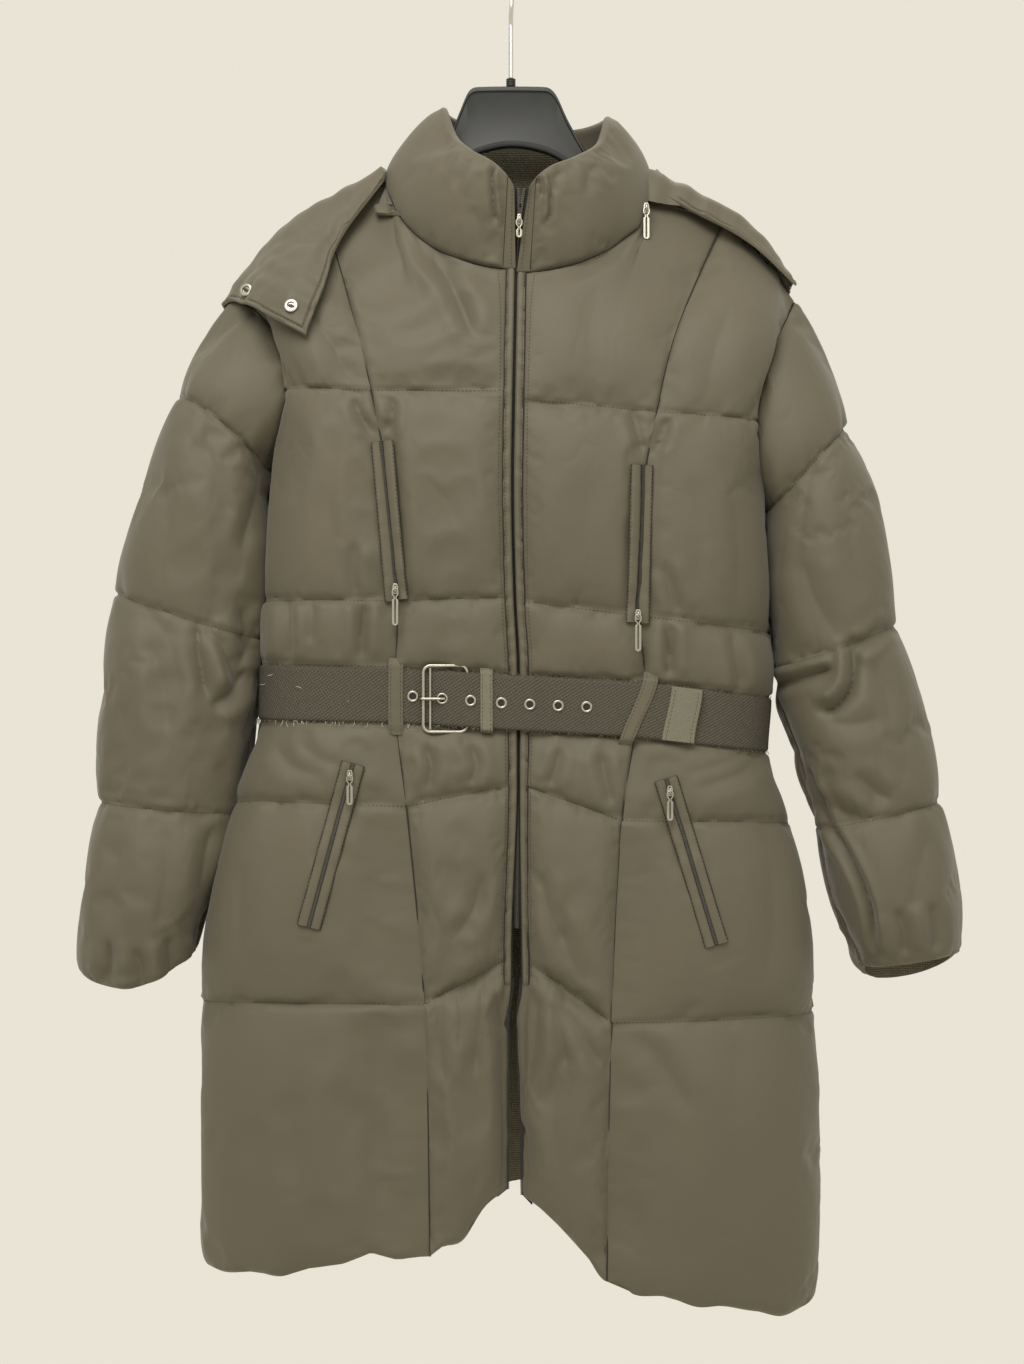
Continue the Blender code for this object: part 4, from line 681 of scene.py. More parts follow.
@dataclass(frozen=True)
class Finish:
    """A procedural finish.

    Attributes:
        name: the material's name.
        slot: the record's material slot; not used.
        low: the darker colour, linear.
        high: the lighter colour, linear.
        roughness: the surface's roughness.
        metallic: 1 for metal.
        mottle: how many colour patches a metre.
        weave: threads a metre, 0 for none.
        weave_depth: the strength of the weave's bump.
        crease: the strength of the fine creases' bump.
        sheen: the cloth's sheen.
        twill: the weave's slant, in radians.
        gloss: the specular level.
        tint: how much darker the weave's hollows are painted, as painted shade in the weave.
        follows: whether the weave follows the piece's own UV map, in metres.
    """

    name: str
    slot: str
    low: tuple[float, float, float]
    high: tuple[float, float, float]
    roughness: float
    metallic: float = 0.0
    mottle: float = 30.0
    weave: float = 0.0
    weave_depth: float = 0.15
    crease: float = 0.0
    sheen: float = 0.0
    twill: float = 0.0
    follows: bool = False
    gloss: float = 0.5
    tint: float = 0.0

    def make(self) -> bpy.types.Material:
        """The material of this finish, made once.

        Returns:
            The material.
        """
        known = bpy.data.materials.get(self.name)
        if known is not None:
            return known
        material = bpy.data.materials.new(self.name)
        material.use_nodes = True
        tree = material.node_tree
        shader = tree.nodes["Principled BSDF"]
        for socket, value in (("Metallic", self.metallic), ("Sheen Weight", self.sheen), ("Sheen Roughness", 0.5),
                              ("Specular IOR Level", self.gloss)):
            shader.inputs[socket].default_value = value
        place = tree.nodes.new("ShaderNodeTexCoord")
        patches = self._noise(tree, place, self.mottle, 4.0)
        ends = {6: (*self.low, 1.0), 7: (*self.high, 1.0)}
        colour = self._node(tree, "Mix", ends, {0: patches}, data_type="RGBA").outputs[2]
        spread = {"To Min": self.roughness - 0.06, "To Max": self.roughness + 0.06}
        rough = self._node(tree, "MapRange", spread, {"Value": patches})
        tree.links.new(rough.outputs["Result"], shader.inputs["Roughness"])
        # The weave's hollows are painted darker: painted shade laid into the colour.
        if self.tint:
            hollow = self._node(tree, "MapRange", {"To Min": 1.0 - self.tint}, {"Value": self._threads(tree, place)})
            colour = self._node(tree, "VectorMath", {}, {0: colour, "Scale": hollow.outputs["Result"]},
                                operation="SCALE").outputs["Vector"]
        tree.links.new(colour, shader.inputs["Base Color"])
        if self.crease:
            self._bump(tree, self._noise(tree, place, 55.0, 6.0), self.crease, 0.004, shader)
        if self.weave:
            self._bump(tree, self._threads(tree, place), self.weave_depth, 0.6 / self.weave, shader)
        return material

    def _node(self, tree: bpy.types.NodeTree, kind: str, values: dict[str | int, object],
              links: dict[str | int, bpy.types.NodeSocket], **settings: str) -> bpy.types.Node:
        """A new node.

        Args:
            tree: the material's nodes.
            kind: the node's kind.
            values: what its sockets are set to.
            links: what its sockets are fed with.
            settings: its other settings.

        Returns:
            The node.
        """
        node = tree.nodes.new(f"ShaderNode{kind}")
        for setting, value in settings.items():
            setattr(node, setting, value)
        for socket, value in values.items():
            node.inputs[socket].default_value = value
        for socket, source in links.items():
            tree.links.new(source, node.inputs[socket])
        return node

    def _noise(self, tree: bpy.types.NodeTree, place: bpy.types.Node, scale: float,
               detail: float) -> bpy.types.NodeSocket:
        """Noise on the object's own coordinates."""
        values = {"Scale": scale, "Detail": detail}
        return self._node(tree, "TexNoise", values, {"Vector": place.outputs["Object"]}).outputs["Fac"]

    def _bump(self, tree: bpy.types.NodeTree, height: bpy.types.NodeSocket, strength: float,
              distance: float, shader: bpy.types.Node) -> None:
        """Lay a bump over those that the shader has.

        Args:
            tree: the material's nodes.
            height: the height that it shows.
            strength: its strength.
            distance: its depth.
            shader: the material's shader.
        """
        links = {"Height": height}
        if shader.inputs["Normal"].is_linked:
            links["Normal"] = shader.inputs["Normal"].links[0].from_socket
        bump = self._node(tree, "Bump", {"Strength": strength, "Distance": distance}, links)
        tree.links.new(bump.outputs["Normal"], shader.inputs["Normal"])

    def _threads(self, tree: bpy.types.NodeTree, place: bpy.types.Node) -> bpy.types.NodeSocket:
        """The height of a weave of crossing threads, slanted for a twill.

        Args:
            tree: the material's nodes.
            place: the node of the surface's coordinates.

        Returns:
            The height.
        """
        turn = (0.0, 0.0, self.twill) if self.follows else (0.0, self.twill, 0.0)
        source = place.outputs["UV" if self.follows else "Object"]
        values = {"Scale": self.weave * math.tau / 20.0, "Distortion": 0.0}
        waves = {}
        for number, axis in enumerate(("X", "Y" if self.follows else "Z")):
            slant = self._node(tree, "Mapping", {"Rotation": turn}, {"Vector": source})
            wave = self._node(tree, "TexWave", values, {"Vector": slant.outputs["Vector"]},
                              wave_type="BANDS", bands_direction=axis, wave_profile="SIN")
            waves[number] = wave.outputs["Fac"]
        return self._node(tree, "Math", {}, waves, operation="MULTIPLY").outputs["Value"]


SHELL = Finish("olive_satin_nylon", "shell", (0.078, 0.068, 0.045), (0.095, 0.083, 0.055), 0.62,
               mottle=7.0, weave=1100.0, weave_depth=0.12, crease=0.10, sheen=0.14, gloss=0.36)
LINING = Finish("olive_knit_lining", "lining", (0.092, 0.084, 0.055), (0.160, 0.147, 0.100), 0.85,
                mottle=220.0, weave=480.0, weave_depth=0.7)
WEBBING = Finish("olive_twill_webbing", "webbing", (0.075, 0.066, 0.046), (0.150, 0.133, 0.098), 0.85,
                 mottle=420.0, weave=420.0, weave_depth=1.0, twill=0.6, follows=True, tint=0.5)
RIBBED = Finish("worn_ribbed_tape", "tape", (0.060, 0.055, 0.042), (0.21, 0.19, 0.155), 0.9,
                mottle=520.0, weave=620.0, weave_depth=0.9, follows=True)
RIBBON = Finish("pale_ribbon", "ribbon", (0.115, 0.108, 0.076), (0.165, 0.157, 0.112), 0.75,
                mottle=400.0, weave=700.0, weave_depth=0.6, follows=True)
LINT = Finish("pale_lint", "ribbon", (0.38, 0.36, 0.29), (0.56, 0.53, 0.44), 0.9, mottle=300.0)
# Black zip tape; also the black disc of painted shade in each eyelet's hole.
BLACK_TAPE_AND_HOLE_SHADE = Finish("black_zip_tape", "tape", (0.010, 0.009, 0.008), (0.022, 0.020, 0.018), 0.85,
              mottle=260.0, weave=700.0, weave_depth=0.6)
NICKEL = Finish("bright_nickel", "nickel", (0.32, 0.305, 0.26), (0.46, 0.44, 0.385), 0.36, metallic=1.0,
                mottle=90.0)
# The thread's olive is darkened below its own colour to carry the small shadows of the stitches: part real colour,
# part painted shade.
THREAD = Finish("olive_thread", "shell", (0.026, 0.023, 0.016), (0.048, 0.042, 0.030), 0.8, mottle=300.0)
# Near-black wire laid along seams and welt edges: painted shade for the shadow in their grooves.
PAINTED_SEAM_SHADE = Finish("drawn_in_thread", "shell", (0.010, 0.009, 0.007), (0.022, 0.019, 0.014), 0.9, mottle=300.0)
# Black satin plastic; also the black slot of painted shade in each press stud.
BLACK_PLASTIC_AND_SLOT_SHADE = Finish("black_satin_plastic", "hanger_plastic", (0.012, 0.0135, 0.0135), (0.030, 0.032, 0.032),
                       0.50, mottle=45.0, gloss=0.35)
GUNMETAL = Finish("dark_zip_teeth", "nickel", (0.050, 0.048, 0.042), (0.105, 0.10, 0.088), 0.45, metallic=0.8,
                  mottle=300.0)
STEEL = Finish("bright_wire", "hook_steel", (0.55, 0.54, 0.50), (0.66, 0.65, 0.61), 0.24, metallic=1.0)


# ---------------------------------------------------------------- mesh helpers


def add_piece(name: str, mesh: Mesh, finishes: Sequence[Finish], body: str = COAT,
              replaces: Sequence[str] = ()) -> Thing:
    """Link a finished mesh as a piece that rides on a body.

    Args:
        name: the piece's name.
        mesh: its mesh, in place.
        finishes: one for each of the mesh's material indices.
        body: the body that it rides on.
        replaces: the nodes that it stands for.

    Returns:
        The piece.
    """
    thing = bpy.data.objects.new(name, mesh)
    bpy.context.scene.collection.objects.link(thing)
    for finish in finishes:
        mesh.materials.append(finish.make())
    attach(thing, body)
    if replaces:
        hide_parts(*replaces)
    LOG.info("%s: %d faces", name, len(mesh.polygons))
    return thing


def stand_in(node: str, ending: str, mesh: Mesh, finishes: Sequence[Finish], body: str = COAT) -> Thing:
    """Link a finished mesh in place of one node, named after it."""
    return add_piece(f"{node}_{ending}", mesh, finishes, body, (node,))


def read_points(mesh: Mesh) -> Array:
    """A mesh's points.

    Args:
        mesh: the mesh.

    Returns:
        N points.
    """
    flat = np.empty(len(mesh.vertices) * 3, np.float32)
    mesh.vertices.foreach_get("co", flat)
    return flat.reshape(-1, 3).astype(float)


def write_points(mesh: Mesh, points: Array) -> None:
    """Put a mesh's points in place."""
    mesh.vertices.foreach_set("co", points.astype(np.float32).ravel())
    mesh.update()


def node_points(node: Thing) -> Array:
    """The points of one of the frame's nodes, in place."""
    return np.array([node.matrix_world @ vert.co for vert in node.data.vertices])


def grid_places(points: Array, grid: Array) -> tuple[Array, Array]:
    """The row and the column in a grid for each point of a unit square."""
    row, column = (np.rint((points[:, axis] + 0.5) * (grid.shape[1 - axis] - 1)).astype(int) for axis in (1, 0))
    return row, column


def mesh_from(bm: BMesh, name: str, smooth: bool = True, angle: float = 50.0) -> Mesh:
    """A mesh from a bmesh, which is freed.

    Args:
        bm: the bmesh.
        name: the mesh's name.
        smooth: whether it is shaded smooth.
        angle: edges sharper than this stay sharp, in degrees.

    Returns:
        The mesh.
    """
    mesh = bpy.data.meshes.new(name)
    bm.to_mesh(mesh)
    bm.free()
    if smooth:
        mesh.shade_smooth()
        mesh.set_sharp_from_angle(angle=math.radians(angle))
    return mesh


def signed_volume(mesh: Mesh) -> float:
    """Six times the volume inside a closed mesh, negative if it faces inwards.

    Args:
        mesh: the mesh.

    Returns:
        The volume.
    """
    mesh.calc_loop_triangles()
    count = len(mesh.loop_triangles)
    corners = np.empty(count * 3, np.int32)
    mesh.loop_triangles.foreach_get("vertices", corners)
    a, b, c = read_points(mesh)[corners.reshape(-1, 3)].transpose(1, 0, 2)
    return float((a * np.cross(b, c)).sum())


def layered_wall(name: str, outer: Array, inner: Array, angle: float = 60.0) -> Mesh:
    """A closed wall between a fine outer grid and an inner grid of fewer points.

    Args:
        name: the mesh's name.
        outer: R by C points of the outside.
        inner: the inside's points; its steps divide the outside's.
        angle: edges sharper than this stay sharp, in degrees.

    Returns:
        The closed mesh; faces of the inside have material index 1.
    """
    rows, columns = outer.shape[:2]
    in_rows, in_columns = inner.shape[:2]
    finer = (rows - 1) // (in_rows - 1)
    assert (rows - 1) % (in_rows - 1) == 0 and (columns - 1) == finer * (in_columns - 1)
    bm = bmesh.new()
    bmesh.ops.create_grid(bm, x_segments=in_columns - 1, y_segments=in_rows - 1, size=0.5)
    for face in bm.faces:
        face.material_index = 1
    copied = bmesh.ops.extrude_face_region(bm, geom=bm.faces[:], use_keep_orig=True)
    top_verts = [v for v in copied["geom"] if isinstance(v, bmesh.types.BMVert)]
    bmesh.ops.translate(bm, verts=top_verts, vec=(0.0, 0.0, 1.0))
    for face in copied["geom"]:
        if isinstance(face, bmesh.types.BMFace):
            face.material_index = 0
    if finer > 1:
        top_edges = [e for e in bm.edges if all(v.co.z > 0.5 for v in e.verts)]
        bmesh.ops.subdivide_edges(bm, edges=top_edges, cuts=finer - 1, use_grid_fill=True)
    mesh = bpy.data.meshes.new(name)
    bm.to_mesh(mesh)
    bm.free()
    place = read_points(mesh)
    is_top = place[:, 2] > 0.5
    points = np.empty_like(place)
    for mask, grid in ((is_top, outer), (~is_top, inner)):
        points[mask] = grid[grid_places(place[mask], grid)]
    runs = [reach_of(line) for line in (outer[rows // 2], outer[:, columns // 2])]
    flat = np.stack([np.interp(place[:, axis] + 0.5, np.linspace(0.0, 1.0, len(run)), run)
                     for axis, run in enumerate(runs)], -1)
    corners = np.empty(len(mesh.loops), np.int32)
    mesh.loops.foreach_get("vertex_index", corners)
    mesh.uv_layers.new(name="cloth").data.foreach_set("uv", flat[corners].astype(np.float32).ravel())
    write_points(mesh, points)
    if signed_volume(mesh) < 0:
        mesh.flip_normals()
    mesh.shade_smooth()
    mesh.set_sharp_from_angle(angle=math.radians(angle))
    return mesh


def finer_grid(grid: Array, times: int = 2) -> Array:
    """A grid with more points, on smooth curves through the given ones.

    Args:
        grid: R by C points.
        times: how many steps each step becomes.

    Returns:
        The finer grid.
    """
    def along(values: Array) -> Array:
        """The values refined along their first axis.

        Args:
            values: the values.

        Returns:
            The refined values.
        """
        padded = np.concatenate([2 * values[:1] - values[1:2], values, 2 * values[-1:] - values[-2:-1]])
        p0, p1, p2, p3 = padded[:-3], padded[1:-2], padded[2:-1], padded[3:]
        out = np.empty(((len(values) - 1) * times + 1, *values.shape[1:]))
        for step in range(times):
            t = step / times
            out[step:-1:times] = 0.5 * (
                2 * p1 + (p2 - p0) * t + (2 * p0 - 5 * p1 + 4 * p2 - p3) * t * t
                + (3 * p1 - p0 - 3 * p2 + p3) * t ** 3
            )
        out[-1] = values[-1]
        return out

    return along(along(grid).swapaxes(0, 1)).swapaxes(0, 1)


@dataclass
class Padding:
    """How a padded sheet fills out when it is blown up between its stitches.

    Attributes:
        pressure: the fill's pressure.
        fullness: how much larger the cloth is than its pattern.
        frames: the steps of the simulation.
        bend: the cloth's stiffness against bending.
    """

    pressure: float = 3.0
    fullness: float = 0.004
    frames: int = 12
    bend: float = 2.5

    def fill(self, start: Array, pinned: Array) -> Array:
        """Fill a sheet and return where its points end.

        Args:
            start: R by C points before filling.
            pinned: R by C weights, 1 where stitched.

        Returns:
            R by C points.
        """
        rows, columns = start.shape[:2]
        bm = bmesh.new()
        bmesh.ops.create_grid(bm, x_segments=columns - 1, y_segments=rows - 1, size=0.5)
        mesh = bpy.data.meshes.new("filling")
        bm.to_mesh(mesh)
        bm.free()
        row, column = grid_places(read_points(mesh), start)
        write_points(mesh, start[row, column])
        thing = bpy.data.objects.new("filling", mesh)
        bpy.context.scene.collection.objects.link(thing)
        group = thing.vertex_groups.new(name="stitched")
        weights = pinned[row, column]
        for weight in np.unique(np.round(weights, 2)):
            if weight > 0:
                group.add([int(i) for i in np.nonzero(np.round(weights, 2) == weight)[0]], float(weight), "REPLACE")
        cloth = thing.modifiers.new("cloth", "CLOTH")
        stitched = {"vertex_group_mass": "stitched", "quality": 4, "mass": 0.2, "tension_stiffness": 20.0,
                    "compression_stiffness": 12.0, "shear_stiffness": 6.0, "bending_stiffness": self.bend,
                    "air_damping": 3.0, "use_pressure": True, "uniform_pressure_force": self.pressure,
                    "shrink_min": -self.fullness}
        for setting, value in stitched.items():
            setattr(cloth.settings, setting, value)
        cloth.settings.effector_weights.gravity = 0.0
        cloth.collision_settings.use_collision = False
        cloth.collision_settings.use_self_collision = False
        cloth.point_cache.frame_start = 1
        cloth.point_cache.frame_end = self.frames
        scene = bpy.context.scene
        for frame in range(1, self.frames + 1):
            scene.frame_set(frame)
        graph = bpy.context.evaluated_depsgraph_get()
        points = read_points(thing.evaluated_get(graph).to_mesh())
        thing.evaluated_get(graph).to_mesh_clear()
        bpy.data.objects.remove(thing, do_unlink=True)
        bpy.data.meshes.remove(mesh)
        scene.frame_set(1)
        out = start.copy()
        out[row, column] = points
        return out


# ---------------------------------------------------------------- small makers


def joined_grid(points: Array, join: bool = False) -> BMesh:
    """A bmesh grid with its points in place.

    Args:
        points: R by C points.
        join: whether points that fall together are merged.

    Returns:
        The bmesh.
    """
    rows, columns = points.shape[:2]
    bm = bmesh.new()
    bmesh.ops.create_grid(bm, x_segments=columns - 1, y_segments=rows - 1, size=0.5)
    for vert in bm.verts:
        row = round((vert.co.y + 0.5) * (rows - 1))
        column = round((vert.co.x + 0.5) * (columns - 1))
        vert.co = points[row, column]
    if join:
        bmesh.ops.remove_doubles(bm, verts=bm.verts[:], dist=1e-6)
    return bm


def tube(rings: Array, closed: bool = False) -> BMesh:
    """A closed skin through rings of points, its ends filled unless it closes on itself.

    Args:
        rings: R by C points.
        closed: whether it closes on itself.

    Returns:
        The bmesh.
    """
    points = np.concatenate([rings, rings[:, :1]], 1)
    if closed:
        points = np.concatenate([points, points[:1]], 0)
    bm = joined_grid(points, join=True)
    if not closed:
        rim = [edge for edge in bm.edges if edge.is_boundary]
        bmesh.ops.holes_fill(bm, edges=rim, sides=0)
    bmesh.ops.recalc_face_normals(bm, faces=bm.faces[:])
    return bm


def circle(count: int) -> Array:
    """Points round a circle of radius 1 in x and y."""
    angle = np.arange(count) / count * math.tau
    return np.stack([np.cos(angle), np.sin(angle), np.zeros(count)], -1)


def turned(profile: Sequence[tuple[float, float]], place: Matrix, steps: int = 24) -> BMesh:
    """A turned shape from (radius, height) points, its axis on the place's z.

    Args:
        profile: the points from end to end.
        place: its frame.
        steps: how many points go round.

    Returns:
        The bmesh.
    """
    round_ = circle(steps)
    rings = np.array([round_ * [max(radius, 1e-7), max(radius, 1e-7), 0] + [0, 0, height]
                      for radius, height in profile])
    bm = tube(rings)
    bmesh.ops.transform(bm, matrix=place, verts=bm.verts[:])
    return bm


def wire(points: Array, radius: float, sides: int = 8, closed: bool = False) -> BMesh:
    """A round wire through points.

    Args:
        points: its middle line.
        radius: its radius.
        sides: how many sides it has.
        closed: whether it closes on itself.

    Returns:
        The bmesh.
    """
    points = np.asarray(points, float)
    if closed:
        tangent = unit(np.roll(points, -1, 0) - np.roll(points, 1, 0))
    else:
        tangent = unit(np.gradient(points, axis=0))
    side = np.cross(tangent[0], [0.3, 0.2, 0.93])
    frames = []
    for direction in tangent:
        side = unit(side - direction * (side @ direction))
        frames.append((side, np.cross(direction, side)))
    round_ = circle(sides)
    rings = np.array([point + radius * (round_[:, :1] * a + round_[:, 1:2] * b)
                      for point, (a, b) in zip(points, frames)])
    return tube(rings, closed)


def curve_through(points: Sequence, count: int, closed: bool = False) -> Array:
    """Evenly counted points on a smooth curve through the given ones.

    Args:
        points: the points.
        count: how many points.
        closed: whether it closes on itself.

    Returns:
        The points of the curve.
    """
    points = np.asarray(points, float)
    if closed:
        points = np.concatenate([points[-2:], points, points[:2]])
        places = np.arange(len(points)) - 2.0
        return smooth_run(points, places, np.linspace(0.0, len(points) - 4.0, count, endpoint=False))
    return smooth_run(points, range(len(points)), np.linspace(0.0, len(points) - 1.0, count))


def basis(place: Array, across: Array, out: Array) -> Matrix:
    """A frame at a place whose x runs across and whose z points out.

    Args:
        place: its origin.
        across: the way its x leans.
        out: the way its z points.

    Returns:
        The frame.
    """
    z = Vector(out).normalized()
    x = (Vector(across) - z * Vector(across).dot(z)).normalized()
    y = z.cross(x)
    return Matrix.Translation(Vector(place)) @ Matrix((x, y, z)).transposed().to_4x4()


def gather(parts: Iterable[tuple[BMesh, int]], name: str, angle: float = 40.0) -> Mesh:
    """One mesh from several bmeshes, each with its material index.

    Args:
        parts: the bmeshes, which are freed.
        name: the mesh's name.
        angle: edges sharper than this stay sharp, in degrees.

    Returns:
        The mesh.
    """
    meshes = []
    for bm, index in parts:
        for face in bm.faces:
            face.material_index = index
        meshes.append(bpy.data.meshes.new("part"))
        bm.to_mesh(meshes[-1])
        bm.free()
    return gather_kept(meshes, name, angle)


def gather_kept(meshes: Sequence[Mesh], name: str, angle: float = 60.0) -> Mesh:
    """One mesh from several that keeps their material indices.

    Args:
        meshes: the meshes, which are removed.
        name: the mesh's name.
        angle: edges sharper than this stay sharp, in degrees.

    Returns:
        The mesh.
    """
    whole = bmesh.new()
    for mesh in meshes:
        whole.from_mesh(mesh)
        bpy.data.meshes.remove(mesh)
    return mesh_from(whole, name, angle=angle)


def from_mesh(mesh: Mesh) -> BMesh:
    """A bmesh of a mesh, which is removed.

    Args:
        mesh: the mesh.

    Returns:
        The bmesh.
    """
    bm = bmesh.new()
    bm.from_mesh(mesh)
    bpy.data.meshes.remove(mesh)
    return bm


def copies(shape: BMesh, frames: Iterable[Matrix]) -> BMesh:
    """One bmesh with a shape copied into each of many frames.

    Args:
        shape: the shape, which is freed.
        frames: where the copies go.

    Returns:
        The bmesh.
    """
    one = bpy.data.meshes.new("shape")
    shape.to_mesh(one)
    shape.free()
    corners = read_points(one)
    whole = bmesh.new()
    for frame in frames:
        write_points(one, corners @ np.array(frame.to_3x3()).T + np.array(frame.translation))
        whole.from_mesh(one)
    bpy.data.meshes.remove(one)
    return whole


@dataclass
class Sewing:
    """All the visible stitches, and the dark wires of painted shade along the seams, gathered into one piece."""

    runs: list[tuple[Array, Array]] = field(default_factory=list)
    # Dark wires of painted shade along the seams, each with its radius.
    seams: list[tuple[Array, float]] = field(default_factory=list)
    length: float = 0.0025
    pitch: float = 0.0034
    radius: float = 0.00034

    def run(self, points: Array, normals: Array) -> None:
        """Add a row of stitches along points of a surface."""
        self.runs.append((np.asarray(points, float), np.asarray(normals, float)))

    def seam(self, points: Array, radius: float = 0.0004) -> None:
        """Add a dark wire along a seam, painted shade that stands for the shadow in its groove."""
        self.seams.append((np.asarray(points, float), radius))

    def build(self) -> Thing:
        """The piece.

        Returns:
            The piece.
        """
        frames = []
        for points, normals in self.runs:
            reach = reach_of(points)
            starts = np.arange(0.0, reach[-1] - self.length, self.pitch)
            first, last, out = (read_along(at, reach, values) for at, values in (
                (starts, points), (starts + self.length, points), (starts + self.length / 2, normals)))
            for start, end, away in zip(first, last, unit(out)):
                place = basis(0.5 * (start + end) + away * self.radius * 0.3, end - start, away)
                size = Matrix.Diagonal((np.linalg.norm(end - start) / 2, self.radius, self.radius, 1.0))
                frames.append(place @ size)
        stitch = bmesh.new()
        bmesh.ops.create_uvsphere(stitch, u_segments=5, v_segments=3, radius=1.0)
        parts = [(copies(stitch, frames), 0)]
        # The seams' dark wires are painted shade.
        parts += [(wire(points, radius, 5), 1) for points, radius in self.seams]
        return add_piece("stitching", gather(parts, "stitching", angle=80.0), (THREAD, PAINTED_SEAM_SHADE))


@dataclass(frozen=True)
class Crease:
    """A fold in the cloth, seen from the front or from behind.

    Attributes:
        face: the side of the coat that it is on.
        path: its (x, z) points.
        width: how far its hollow reaches.
        depth: how deep it is.
        lean: how much more one side swells than the other, from -1 to 1.
    """

    face: Face
    path: tuple[tuple[float, float], ...]
    width: float
    depth: float
    lean: float = 0.0

    def lift(self, points: Array) -> Array:
        """How far it moves each point out.

        Args:
            points: the points.

        Returns:
            A height for each point.
        """
        path = smooth_run(self.path, range(len(self.path)), np.linspace(0, len(self.path) - 1, 12))
        place = points[..., (0, 2)]
        best = np.full(place.shape[:-1], np.inf)
        turn = np.zeros(best.shape)
        along = np.zeros(best.shape)
        for number, (start, end) in enumerate(zip(path, path[1:])):
            run = end - start
            offset = place - start
            share = np.clip(offset @ run / (run @ run), 0.0, 1.0)
            away = np.linalg.norm(offset - share[..., None] * run, axis=-1)
            nearer = away < best
            best = np.where(nearer, away, best)
            cross = run[0] * offset[..., 1] - run[1] * offset[..., 0]
            turn = np.where(nearer, np.sign(cross), turn)
            along = np.where(nearer, (number + share) / 11.0, along)
        taper = smooth_step(np.minimum(along, 1.0 - along), -0.02, 0.22)
        hollow = np.exp(-(best / self.width) ** 1.25)
        swell_ = np.exp(-((best - 2.3 * self.width) / (1.3 * self.width)) ** 2) * (1.0 + self.lean * turn)
        return self.depth * taper * (0.45 * swell_ - hollow)


def creases(*rows: tuple[int, ...]) -> tuple[Crease, ...]:
    """Folds of the front from rows of width, depth (0.01 mm), lean (tenths) and the path's x and z (mm)."""
    return tuple(Crease(Face.FRONT, tuple((x / 1000, z / 1000) for x, z in zip(path[::2], path[1::2])),
                        width / 1e5, depth / 1e5, lean / 10) for width, depth, lean, *path in rows)


# The body's main folds
BODY_CREASES = creases(
    (600, 490, 0, -71, -259, -48, -304, -30, -349), (450, 630, 0, -127, -562, -127, -591, -128, -620),
    (450, 630, 0, 132, -581, 133, -608, 133, -633), (500, 420, 0, -193, -562, -191, -591, -192, -620),
    (450, 350, 0, -169, -564, -170, -583, -172, -604), (500, 420, 0, 188, -589, 192, -616, 197, -643),
    (400, 420, 0, -135, -394, -128, -410, -118, -426), (350, 390, 0, -101, -394, -101, -410, -106, -427),
    (400, 420, 0, 101, -404, 106, -422, 111, -444), (400, 390, 0, 132, -410, 127, -427, 118, -446),
    (1200, 210, 0, -150, -422, -154, -481, -143, -559), (500, 390, 0, -132, -515, -135, -540, -132, -566),
    (1200, 210, 0, 150, -456, 160, -515, 152, -571), (1000, 210, 0, 179, -431, 191, -498, 194, -581),
    (500, 420, 0, 125, -532, 135, -557, 142, -579), (1400, 150, 0, -61, -465, -56, -515, -61, -559),
    (1400, 150, 0, 68, -456, 62, -515, 71, -566), (600, 240, 0, -206, -687, -186, -706, -152, -716),
    (500, 200, 0, -181, -686, -164, -699, -143, -706), (600, 300, 0, 218, -696, 191, -714, 149, -726),
    (500, 240, 0, 206, -689, 181, -703, 145, -714), (450, 420, 0, -74, -686, -68, -706, -71, -728),
    (450, 390, 0, -35, -686, -30, -706, -37, -723), (450, 390, 0, 41, -689, 37, -708, 30, -724),
    (500, 450, 0, 74, -691, 79, -718, 84, -741), (700, 320, 0, -61, -903, -34, -892, -5, -868),
    (800, 290, 0, -69, -819, -56, -861, -61, -897), (700, 360, 0, 24, -875, 52, -903, 78, -932),
    (800, 290, 0, 41, -819, 46, -861, 66, -895), (1100, 180, 0, -37, -912, -27, -971, -30, -1030),
    (1100, 180, 0, 41, -937, 34, -1005, 46, -1072), (1500, 180, 0, -179, -912, -187, -988, -179, -1089),
    (1400, 170, 0, -128, -912, -118, -988, -123, -1072), (1500, 180, 0, 125, -929, 132, -1005, 122, -1106),
    (1500, 180, 0, 192, -929, 186, -1005, 196, -1106), (1000, 180, 0, -230, -785, -233, -836, -225, -891),
    (1100, 170, 0, -137, -768, -128, -819, -132, -891), (1000, 180, 0, 218, -777, 223, -836, 214, -903),
    (1100, 170, 0, 116, -777, 111, -836, 118, -912), (800, 320, 0, -179, -313, -154, -346, -135, -383),
    (1300, 180, 0, 74, -287, 68, -338, 74, -390), (1000, 210, 0, 188, -313, 172, -355, 164, -404),
    (550, 400, 0, -59, -890, -61, -930, -55, -981), (600, 400, 0, -24, -881, -27, -930, -32, -973),
    (450, 340, 0, -15, -895, -10, -914, -6, -934), (600, 300, 0, -46, -890, -43, -919, -46, -946),
    (550, 420, 0, 22, -895, 19, -937, 13, -979), (500, 380, 0, 34, -903, 41, -934, 47, -962),
    (600, 420, 0, 41, -905, 59, -934, 79, -966), (450, 300, 0, 51, -895, 66, -908, 78, -922),
    (800, 340, 0, 101, -929, 125, -956, 154, -1003), (800, 300, 0, -99, -916, -105, -954, -98, -996),
    (600, 340, 0, 7, -1005, 15, -1038, 14, -1065), (1000, 300, 0, -135, -979, -118, -1030, -111, -1081),
    (1000, 300, 0, 108, -1013, 98, -1064, 108, -1114), (600, 360, 0, 24, -792, 30, -827, 47, -861),
    (600, 360, 0, -22, -792, -32, -827, -52, -856),
)
